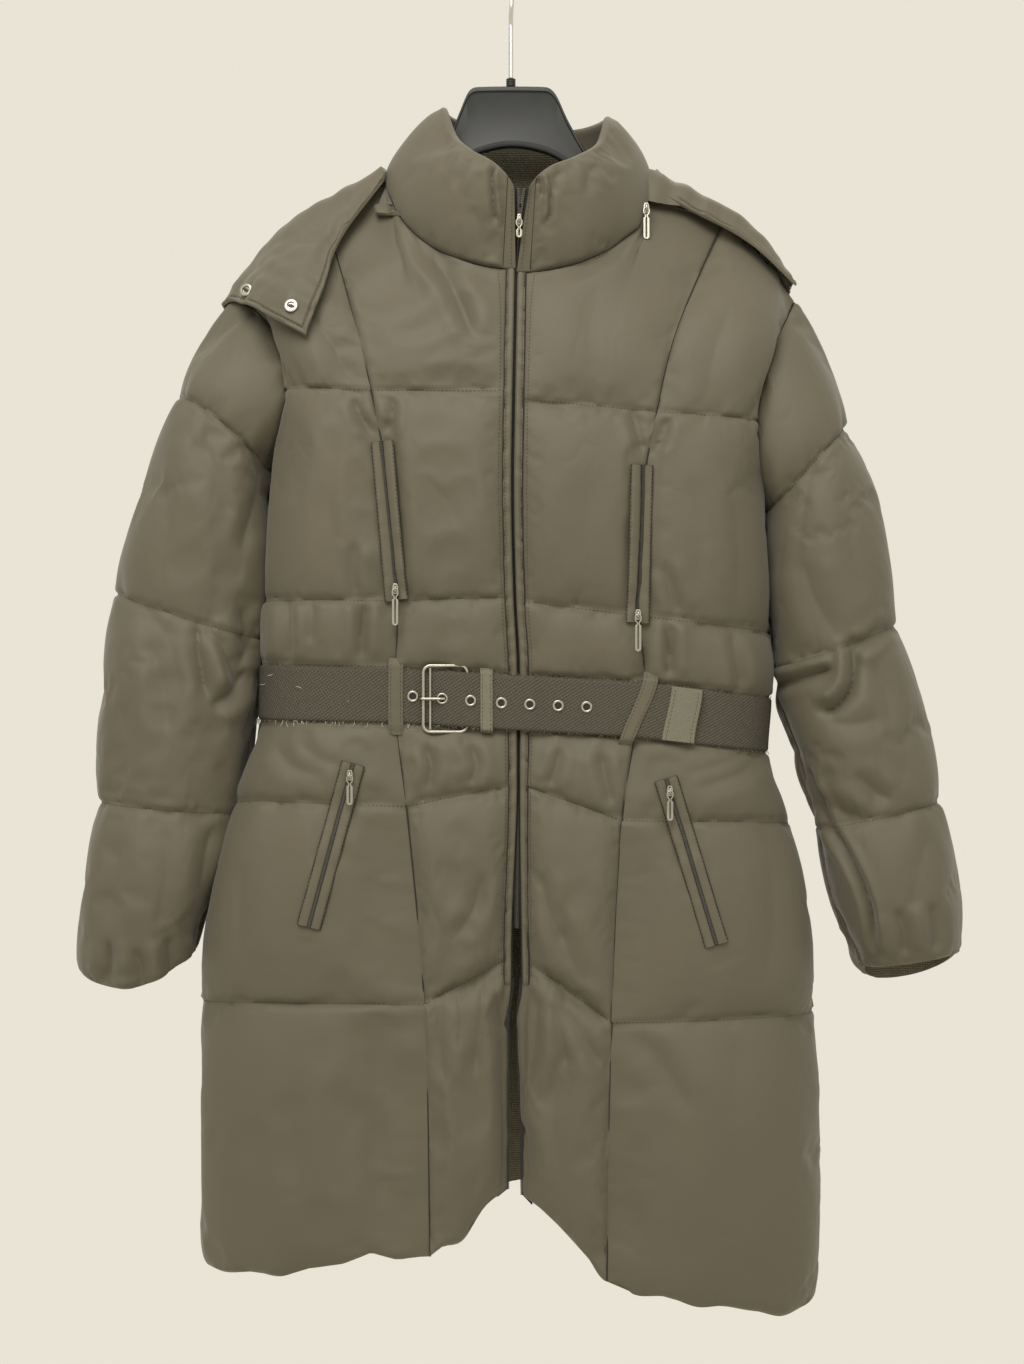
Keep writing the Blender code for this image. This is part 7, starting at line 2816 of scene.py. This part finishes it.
class Waist:
    """Where things lie round the waist."""

    def __init__(self) -> None:
        """Measure the fronts along the belt's middle."""
        self.columns = np.linspace(0.0, 2.0, 201)
        self.reach = {side: np.abs(COAT_FORM.surface(Face.FRONT, side, self.columns, [3.5])[0, :, 0])
                      for side in Side}

    def column(self, x: float) -> tuple[Side, float]:
        """The front's side and column at an x."""
        side = Side.RIGHT if x < 0.005 else Side.LEFT
        return side, float(np.interp(abs(x), self.reach[side], self.columns))

    def walk(self, places: Array, shares: Array) -> tuple[Array, Array]:
        """Points and directions out on a grid of places round the waist and shares up the belt.

        A place counts 0 at the left zip edge, 2 at the left side, 4 at the middle of the back,
        6 at the right side and 8 at the right zip edge.

        Args:
            places: the places.
            shares: the shares.

        Returns:
            The points and the directions.
        """
        levels = BELT_LOW + shares
        grid = np.zeros((len(shares), len(places), 3))
        spans = ((-9.0, 0.0, Face.FRONT, Side.RIGHT, 0.0), (0.0, 2.0, Face.FRONT, Side.LEFT, 0.0),
                 (2.0, 4.0, Face.BACK, Side.LEFT, 4.0), (4.0, 6.0, Face.BACK, Side.RIGHT, 4.0),
                 (6.0, 8.0, Face.FRONT, Side.RIGHT, 8.0), (8.0, 19.0, Face.FRONT, Side.LEFT, 8.0))
        for low, high, face, side, middle in spans:
            inside = (places >= low) & (places < high)
            if inside.any():
                grid[:, inside] = COAT_FORM.surface(face, side, np.abs(places[inside] - middle), levels)
        return grid, grid_normals(grid, grid * [1.0, 1.6, 0.0])

    def front(self, xs: Array, shares: Array) -> tuple[Array, Array]:
        """Points and directions over the front on a grid of shares along and xs across.

        Args:
            xs: places across.
            shares: places up the belt.

        Returns:
            The points and the directions.
        """
        places = []
        for x in xs:
            side, column = self.column(float(x))
            places.append(-column if side is Side.RIGHT else column)
        return self.walk(np.array(places), shares)

    def over_band(self, x: Array) -> Array:
        """How far the zip's bands lift the belt."""
        return np.clip(1.0 - (np.abs(x - 0.0055) - 0.0115) / 0.010, 0.0, 1.0) * PLACKET_THICKNESS

    def lift(self, places: Array, x: Array) -> Array:
        """How far the belt's underside lies off the cloth.

        Args:
            places: places round the waist.
            x: their x.

        Returns:
            The lift at each.
        """
        ramp = np.clip((x - BUCKLE_X[0] - 0.004) / 0.024, 0.0, 1.0)
        hump = np.maximum(0.0, 1.0 - np.abs(x - BUCKLE_X[1]) / 0.028)
        over = BELT_LAY + BELT_OVER * ramp * ramp * (3 - 2 * ramp) + 0.0013 * hump + self.over_band(x)
        under = BELT_LAY + self.over_band(x)
        return np.where((places > 2.0) & (places < 6.0), BELT_LAY, np.where(places <= 2.0, under, over))

    def top(self, x: float) -> float:
        """The lift of the outside of the belt's outer layer at an x."""
        return float(self.lift(np.array([8.0]), np.array([x]))[0]) + BELT_THICKNESS


WAIST = Waist()


@dataclass
class Belt:
    """The webbing belt with its buckle, eyelets, loops, keeper and bound tip.

    Attributes:
        sewing: where its stitches go.
        outside: the strap's points and directions out, once it is made.
    """

    sewing: Sewing
    outside: tuple[Array, Array] | None = None

    def build(self) -> list[Thing]:
        """All of its pieces."""
        return [self.strap(), *self.bands(), *self.eyelets(), *self.buckle(), self.fray()]

    def strap(self) -> Thing:
        """The strap: from under the tip once round to its end.

        Returns:
            The piece.
        """
        start = -WAIST.column(-0.030)[1]
        tip = 8.0 + WAIST.column(TIP_X)[1]
        places = steps_between((start, 0.0, 2.0, 4.0, 6.0, 8.0, tip), (16, 120, 120, 120, 120, 64 + 4))
        shares = np.linspace(0.03, 0.97, 25)
        grid, normals = WAIST.walk(places, shares)
        grid, normals = grid.swapaxes(0, 1), normals.swapaxes(0, 1)
        lay = np.repeat(WAIST.lift(places, grid[:, 12, 0])[:, None], len(shares), 1)
        piece = Band("belt_webbing", grid, normals, lay, BELT_THICKNESS, WEBBING,
                     on=("front_centre_right_cloth", "front_side_right_cloth", "back_cloth", "front_side_left_cloth"),
                     replaces=("belt",), ripple=0.0001, seed=91)
        self.outside = (grid + normals * (lay[..., None] + 0.6 * BELT_THICKNESS), normals)
        return piece.build()

    def bands(self) -> list[Thing]:
        """The loops, the keeper and the tip's binding.

        Returns:
            The pieces.
        """
        made = [
            self.over("belt_loop_right", -0.098, -0.099, LOOP_WIDTH, ONE_LAYER + OVER_BELT, 0.13, SHELL),
            self.over("belt_loop_left", 0.113, 0.103, LOOP_WIDTH, WAIST.top(0.108) + OVER_BELT, 0.13, SHELL),
            self.over("belt_keeper", KEEPER_X, KEEPER_X, KEEPER_WIDTH, WAIST.top(KEEPER_X) + OVER_BELT, 0.05, RIBBON),
        ]
        xs = np.linspace(0.131, 0.1565, 25)
        base, normals = WAIST.front(xs, np.linspace(0.04, 0.96, 41))
        made.append(Band("belt_tip_binding_cloth", base, normals, WAIST.top(0.143) + 0.0004, 0.0008, RIBBON,
                         on=("belt_webbing",), replaces=("belt_tip_binding",), seams=(0.12, 0.88),
                         ripple=0.0002, seed=95).build(self.sewing))
        return made

    def over(self, name: str, top_x: float, bottom_x: float, width: float, lift: float, reach: float,
             finish: Finish) -> Thing:
        """A narrow band that crosses the belt and dips to the cloth above and below it.

        Args:
            name: the node that it stands for.
            top_x: its middle above.
            bottom_x: its middle below.
            width: its width.
            lift: how far it lies off over the belt.
            reach: how far past the belt it runs.
            finish: its finish.

        Returns:
            The piece.
        """
        shares = np.linspace(-reach, 1.0 + reach, 57)
        rows = []
        turns = []
        for share in shares:
            middle = mix(bottom_x, top_x, share)
            base, normals = WAIST.front(middle + np.linspace(-0.5, 0.5, 13) * width, np.array([share, share + 0.01]))
            rows.append(base[0])
            turns.append(normals[0])
        outside = np.maximum(np.maximum(-shares, shares - 1.0), 0.0) / reach
        height = mix(lift, BELT_LAY + LAY, smooth_step(outside, 0.0, 1.0))
        lay = np.repeat(height[:, None], 13, 1)
        return Band(f"{name}_cloth", np.array(rows), np.array(turns), lay, 0.0011, finish, on=("belt_webbing",),
                    replaces=(name,), seams=(0.14, 0.86), ripple=0.0002,
                    seed=len(name)).build(self.sewing)

    def eyelets(self) -> list[Thing]:
        """Seven metal eyelets, each with a black disc in its hole as painted shade.

        Returns:
            The pieces.
        """
        made = []
        ring = ((0.0030, 0.0), (0.0030, 0.0008), (0.0034, 0.0012), (0.0041, 0.0013), (0.0047, 0.0010),
                (0.0050, 0.0004), (0.0050, 0.0), (0.0030, 0.0))
        for number, x in enumerate(EYELETS_X):
            top = ONE_LAYER if x < BUCKLE_X[0] else WAIST.top(x)
            base, normals = WAIST.front(np.array([x - 0.001, x, x + 0.001]), np.array([0.49, 0.5, 0.51]))
            out = normals[1, 1]
            seat = basis(base[1, 1] + out * (top + 0.0001), base[1, 2] - base[1, 0], out)
            # A black disc in the eyelet's hole: painted shade for the hole.
            hole = turned(((0.0, 0.0), (0.0031, 0.0), (0.0031, 0.0003), (0.0, 0.0003)), seat, 24)
            rim = turned(ring[:-1], seat, 32)
            name = f"eyelet_{number + 1}"
            made.append(stand_in(name, "metal", gather([(rim, 0), (hole, 1)], f"{name}_metal"), (NICKEL, BLACK_TAPE_AND_HOLE_SHADE)))
        return made

    def buckle(self) -> list[Thing]:
        """The wire frame with its second bar, and the prong.

        Returns:
            The pieces.
        """
        left, right = BUCKLE_X
        base, normals = WAIST.front(np.array([left, right]), np.array([0.5, 0.51]))
        middle_z = base[0, :, 2].mean()
        left_y = (base[0, 0] + normals[0, 0] * (WAIST.top(left) + 0.0022)).item(1)
        right_y = (base[0, 1] + normals[0, 1] * (BELT_LAY + 0.0021)).item(1)
        corner, half = 0.006, 0.0280
        points = []
        for x, way_x, way_z in ((left, 1, -1), (left, 1, 1), (right, -1, 1), (right, -1, -1)):
            for step in np.linspace(0.0, math.pi / 2, 7):
                turn = step if (way_x > 0) == (way_z > 0) else math.pi / 2 - step
                at_x = x + way_x * corner * (1 - math.cos(turn))
                at_z = middle_z + way_z * (half - corner * (1 - math.sin(turn)))
                points.append((at_x, mix(left_y, right_y, (at_x - left) / (right - left)), at_z))
        frame = wire(np.array(points), 0.0015, 12, closed=True)
        bar = [(left + 0.0058, left_y + 0.0006, middle_z + z) for z in np.linspace(-0.026, 0.026, 9)]
        second = wire(np.array(bar), 0.0012, 10)
        mesh = gather([(frame, 0), (second, 0)], "buckle_frame_metal")
        made = [stand_in("buckle_frame", "metal", mesh, (NICKEL,))]
        tip_base, tip_normals = WAIST.front(np.array([EYELETS_X[1], EYELETS_X[1] + 0.001]), np.array([0.5, 0.51]))
        tip_y = (tip_base[0, 0] + tip_normals[0, 0] * (WAIST.top(EYELETS_X[1]) + 0.0032)).item(1)
        top_y = left_y - 0.0030
        path = [(left - 0.0022, left_y + 0.0012, middle_z), (left - 0.0018, top_y + 0.0006, middle_z),
                (left + 0.0015, top_y - 0.0002, middle_z), (left + 0.007, mix(top_y, tip_y, 0.5), middle_z),
                (left + 0.0135, tip_y, middle_z), (EYELETS_X[1] + 0.002, tip_y + 0.0012, middle_z)]
        prong = wire(curve_through(path, 24), 0.0012, 10)
        made.append(stand_in("buckle_prong", "metal", mesh_from(prong, "buckle_prong_metal"), (NICKEL,)))
        return made

    def fray(self) -> Thing:
        """Short loose fibres along the webbing's edges.

        Returns:
            The piece.
        """
        grid, normals = self.outside
        rng = np.random.default_rng(17)
        parts = []
        for column, way in ((0, -1.0), (-1, 1.0)):
            line = grid[:, column]
            for _ in range(260):
                i = int(rng.integers(2, len(line) - 3))
                start = mix(line[i], line[i + 1], rng.uniform())
                along = unit(line[i + 1] - line[i])
                lean = along * rng.uniform(-1.2, 1.2) + np.array([0.0, 0.0, way]) * rng.uniform(0.2, 0.9)
                end = start + unit(lean + normals[i, column] * 0.3) * rng.uniform(0.0010, 0.0036)
                bend = 0.5 * (start + end) + rng.normal(size=3) * 0.0003
                parts.append((wire(curve_through([start, bend, end], 4), 0.00016, 3), 0))
        left = np.nonzero(grid[:, 0, 0] < -0.085)[0]
        for number in range(84):
            i = int(rng.choice(left[left < len(grid) - 2]))
            j = 0 if number < 64 else int(rng.integers(2, grid.shape[1] - 2))
            start = grid[i, j] + normals[i, j] * 0.0004
            turn = rng.uniform(-0.6, 0.6) + (-1.57 if number < 64 else rng.choice([0.0, 3.1]))
            run = np.array([math.cos(turn), 0.0, math.sin(turn)]) * rng.uniform(0.002, 0.006)
            bend = start + 0.5 * run + normals[i, j] * 0.0008 + np.array([rng.normal(), 0.0, rng.normal()]) * 0.0008
            parts.append((wire(curve_through([start, bend, start + run], 5), 0.00017, 3), 1))
        return add_piece("belt_fray", gather(parts, "belt_fray"), (RIBBON, LINT))


# ---------------------------------------------------------------- hanger

# The hanger's middle: x, top and bottom
HANGER_NECK = (
    (-0.085, -0.188, -0.216), (-0.070, -0.172, -0.202), (-0.054, -0.153, -0.188), (-0.046, -0.134, -0.180),
    (-0.038, -0.116, -0.175), (-0.030, -0.112, -0.171), (0.000, -0.1115, -0.165), (0.029, -0.112, -0.170),
    (0.038, -0.118, -0.174), (0.049, -0.141, -0.181), (0.065, -0.168, -0.193), (0.082, -0.185, -0.208),
    (0.097, -0.199, -0.222),
)


@dataclass
class Hanger:
    """The plastic shoulder with its raised rim, the ribbed socket and the wire hook."""

    nodes: dict[str, Thing]

    def build(self) -> list[Thing]:
        """All three."""
        return [self.shoulder(), self.socket(), self.hook()]

    def stations(self) -> Array:
        """Sections from arm to arm: x, top, bottom and half depth.

        Returns:
            A row for each x.
        """
        points = node_points(self.nodes["hanger_shoulder"])
        rows = [(x, top, bottom, 0.0055) for x, top, bottom in HANGER_NECK]
        for x in sorted(set(np.round(points[:, 0], 3))):
            ring = points[np.abs(points[:, 0] - x) < 0.0006]
            if x < HANGER_NECK[0][0] - 0.01 or x > HANGER_NECK[-1][0] + 0.01:
                rows.append((x, ring[:, 2].max(), ring[:, 2].min(), np.abs(ring[:, 1]).max()))
        return np.array(sorted(rows))

    def shoulder(self) -> Thing:
        """The moulded body: a thin web between thick rims.

        Returns:
            The piece.
        """
        rows = self.stations()
        xs = steps_between((rows[0, 0], -0.09, 0.10, rows[-1, 0]), (24, 96, 24))
        read = smooth_run(rows[:, 1:], rows[:, 0], xs)
        rings = []
        for number, (x, (top, bottom, half)) in enumerate(zip(xs, read)):
            rim = min(0.0042, 0.22 * (top - bottom))
            close = 1.0 if 0 < number < len(xs) - 1 else 0.5
            outline = []
            for z, out in ((top, 0.55), (top - 0.0008, 0.9), (top - 0.0018, 1.0), (top - rim, 1.0),
                           (top - rim - 0.0008, 0.80), (top - rim - 0.0022, 0.70), (mix(top, bottom, 0.5), 0.70),
                           (bottom + rim + 0.0022, 0.70), (bottom + rim + 0.0008, 0.80), (bottom + rim, 1.0),
                           (bottom + 0.0018, 1.0), (bottom + 0.0008, 0.9), (bottom, 0.55)):
                outline.append((z, out * half * close))
            rings.append([(x, -y, z) for z, y in outline] + [(x, y, z) for z, y in reversed(outline)])
        bm = tube(np.array(rings))
        mesh = mesh_from(bm, "hanger_shoulder_plastic", angle=35.0)
        return stand_in("hanger_shoulder", "plastic", mesh, (BLACK_PLASTIC_AND_SLOT_SHADE,))

    def socket(self) -> Thing:
        """The short ribbed post that holds the hook.

        Returns:
            The piece.
        """
        profile = [(0.0, -0.0036), (0.0036, -0.0036)]
        for rib in range(4):
            low = -0.0034 + rib * 0.0017
            profile += [(0.0037, low), (0.0042, low + 0.0003), (0.0042, low + 0.0010), (0.0037, low + 0.0014)]
        profile += [(0.0034, 0.0034), (0.0024, 0.0036), (0.0, 0.0036)]
        place = Matrix.Translation((-0.001, 0.0, -0.1075))
        mesh = mesh_from(turned(profile, place, 32), "hook_socket_plastic")
        return stand_in("hook_socket", "plastic", mesh, (BLACK_PLASTIC_AND_SLOT_SHADE,))

    def hook(self) -> Thing:
        """The bent wire, with a rounded tip.

        Returns:
            The piece.
        """
        radius = 0.019
        path = [(-0.001, 0.0, -0.1035), (-0.001, 0.0, -0.085), (-0.001, 0.0, -0.072), (-0.001, 0.0, -0.060),
                (-0.001, 0.006, -0.050), (-0.0005, 0.014, -0.038)]
        for degrees in np.linspace(-28.0, 180.0, 15):
            angle = math.radians(degrees)
            path.append((0.0, radius * math.cos(angle), -0.017 + radius * math.sin(angle)))
        path += [(0.001, -radius + 0.001, -0.027), (0.002, -radius - 0.001, -0.036)]
        mesh = mesh_from(wire(curve_through(path, 150), 0.002, 16), "hanger_hook_wire")
        return stand_in("hanger_hook", "wire", mesh, (STEEL,))


# ---------------------------------------------------------------- setting


@dataclass
class Studio:
    """The floor, the light and the camera."""

    camera_y: float = -2.2
    camera_z: float = -0.635
    lens: float = 65.98
    sensor: float = 36.0
    floor_z: float = -1.95
    floor_half: float = 2.4
    floor_colour: tuple[float, ...] = (0.72, 0.69, 0.60, 1.0)
    sky_colour: tuple[float, ...] = (0.83, 0.79, 0.685, 1.0)
    sky_strength: float = 0.98
    light_colour: tuple[float, ...] = (1.0, 0.97, 0.91)
    middle: tuple[float, float, float] = (0.0, 0.0, -0.6)

    def build(self) -> None:
        """Make all of it."""
        scene = bpy.context.scene
        bm = bmesh.new()
        bmesh.ops.create_grid(bm, x_segments=1, y_segments=1, size=self.floor_half)
        bmesh.ops.translate(bm, verts=bm.verts[:], vec=(0.0, 0.0, self.floor_z))
        mesh = mesh_from(bm, "studio_floor", smooth=False)
        floor = bpy.data.objects.new("studio_floor", mesh)
        scene.collection.objects.link(floor)
        paint = bpy.data.materials.new("pale_floor")
        paint.use_nodes = True
        shader = paint.node_tree.nodes["Principled BSDF"]
        shader.inputs["Base Color"].default_value = self.floor_colour
        shader.inputs["Roughness"].default_value = 0.9
        mesh.materials.append(paint)
        world = bpy.data.worlds.new("studio")
        world.use_nodes = True
        sky = world.node_tree.nodes["Background"]
        sky.inputs["Color"].default_value = self.sky_colour
        sky.inputs["Strength"].default_value = self.sky_strength
        scene.world = world
        self.lamp("key", (-0.5, -1.85, 1.25), 1.6, 68.0)
        self.lamp("fill", (1.6, -2.0, 0.3), 1.6, 9.0)
        self.lamp("rear", (0.4, 2.2, 2.4), 2.0, 34.0)
        camera = bpy.data.cameras.new("camera")
        camera.lens = self.lens
        camera.sensor_width = self.sensor
        holder = bpy.data.objects.new("camera", camera)
        holder.location = (0.0, self.camera_y, self.camera_z)
        holder.rotation_euler = (math.pi / 2, 0.0, 0.0)
        scene.collection.objects.link(holder)
        scene.camera = holder
        scene.view_settings.view_transform = "Standard"

    def lamp(self, name: str, place: tuple[float, float, float], size: float, power: float) -> None:
        """A soft square lamp that faces the coat's middle.

        Args:
            name: its name.
            place: where it goes.
            size: its side.
            power: its power, in watts.
        """
        light = bpy.data.lights.new(name, "AREA")
        light.size = size
        light.energy = power
        light.color = self.light_colour
        lamp = bpy.data.objects.new(name, light)
        lamp.location = place
        lamp.rotation_euler = (Vector(self.middle) - Vector(place)).to_track_quat("-Z", "Y").to_euler()
        bpy.context.scene.collection.objects.link(lamp)


def main() -> None:
    """Build the whole scene."""
    logging.basicConfig(level=logging.INFO, format="%(relativeCreated)6d %(message)s")
    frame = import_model()
    nodes = frame["nodes"]
    Studio().build()
    sewing = Sewing()
    lines = [(*pocket.top, *pocket.bottom) for pocket in POCKETS]
    builders = (
        Hanger(nodes), CoatBody(sewing, lines, BODY_CREASES + behind(BODY_CREASES)),
        Sleeves(sewing, SLEEVE_CREASES + behind(SLEEVE_CREASES)), Collar(sewing, COLLAR_CREASES), Hood(nodes, sewing),
        FrontZip(sewing), PocketZips(nodes, sewing), Sliders(nodes), Belt(sewing),
    )
    for builder in builders:
        made = builder.build()
        LOG.info("%s: %d pieces", type(builder).__name__, len(made))
    sewing.build()


if __name__ == "__main__":
    main()
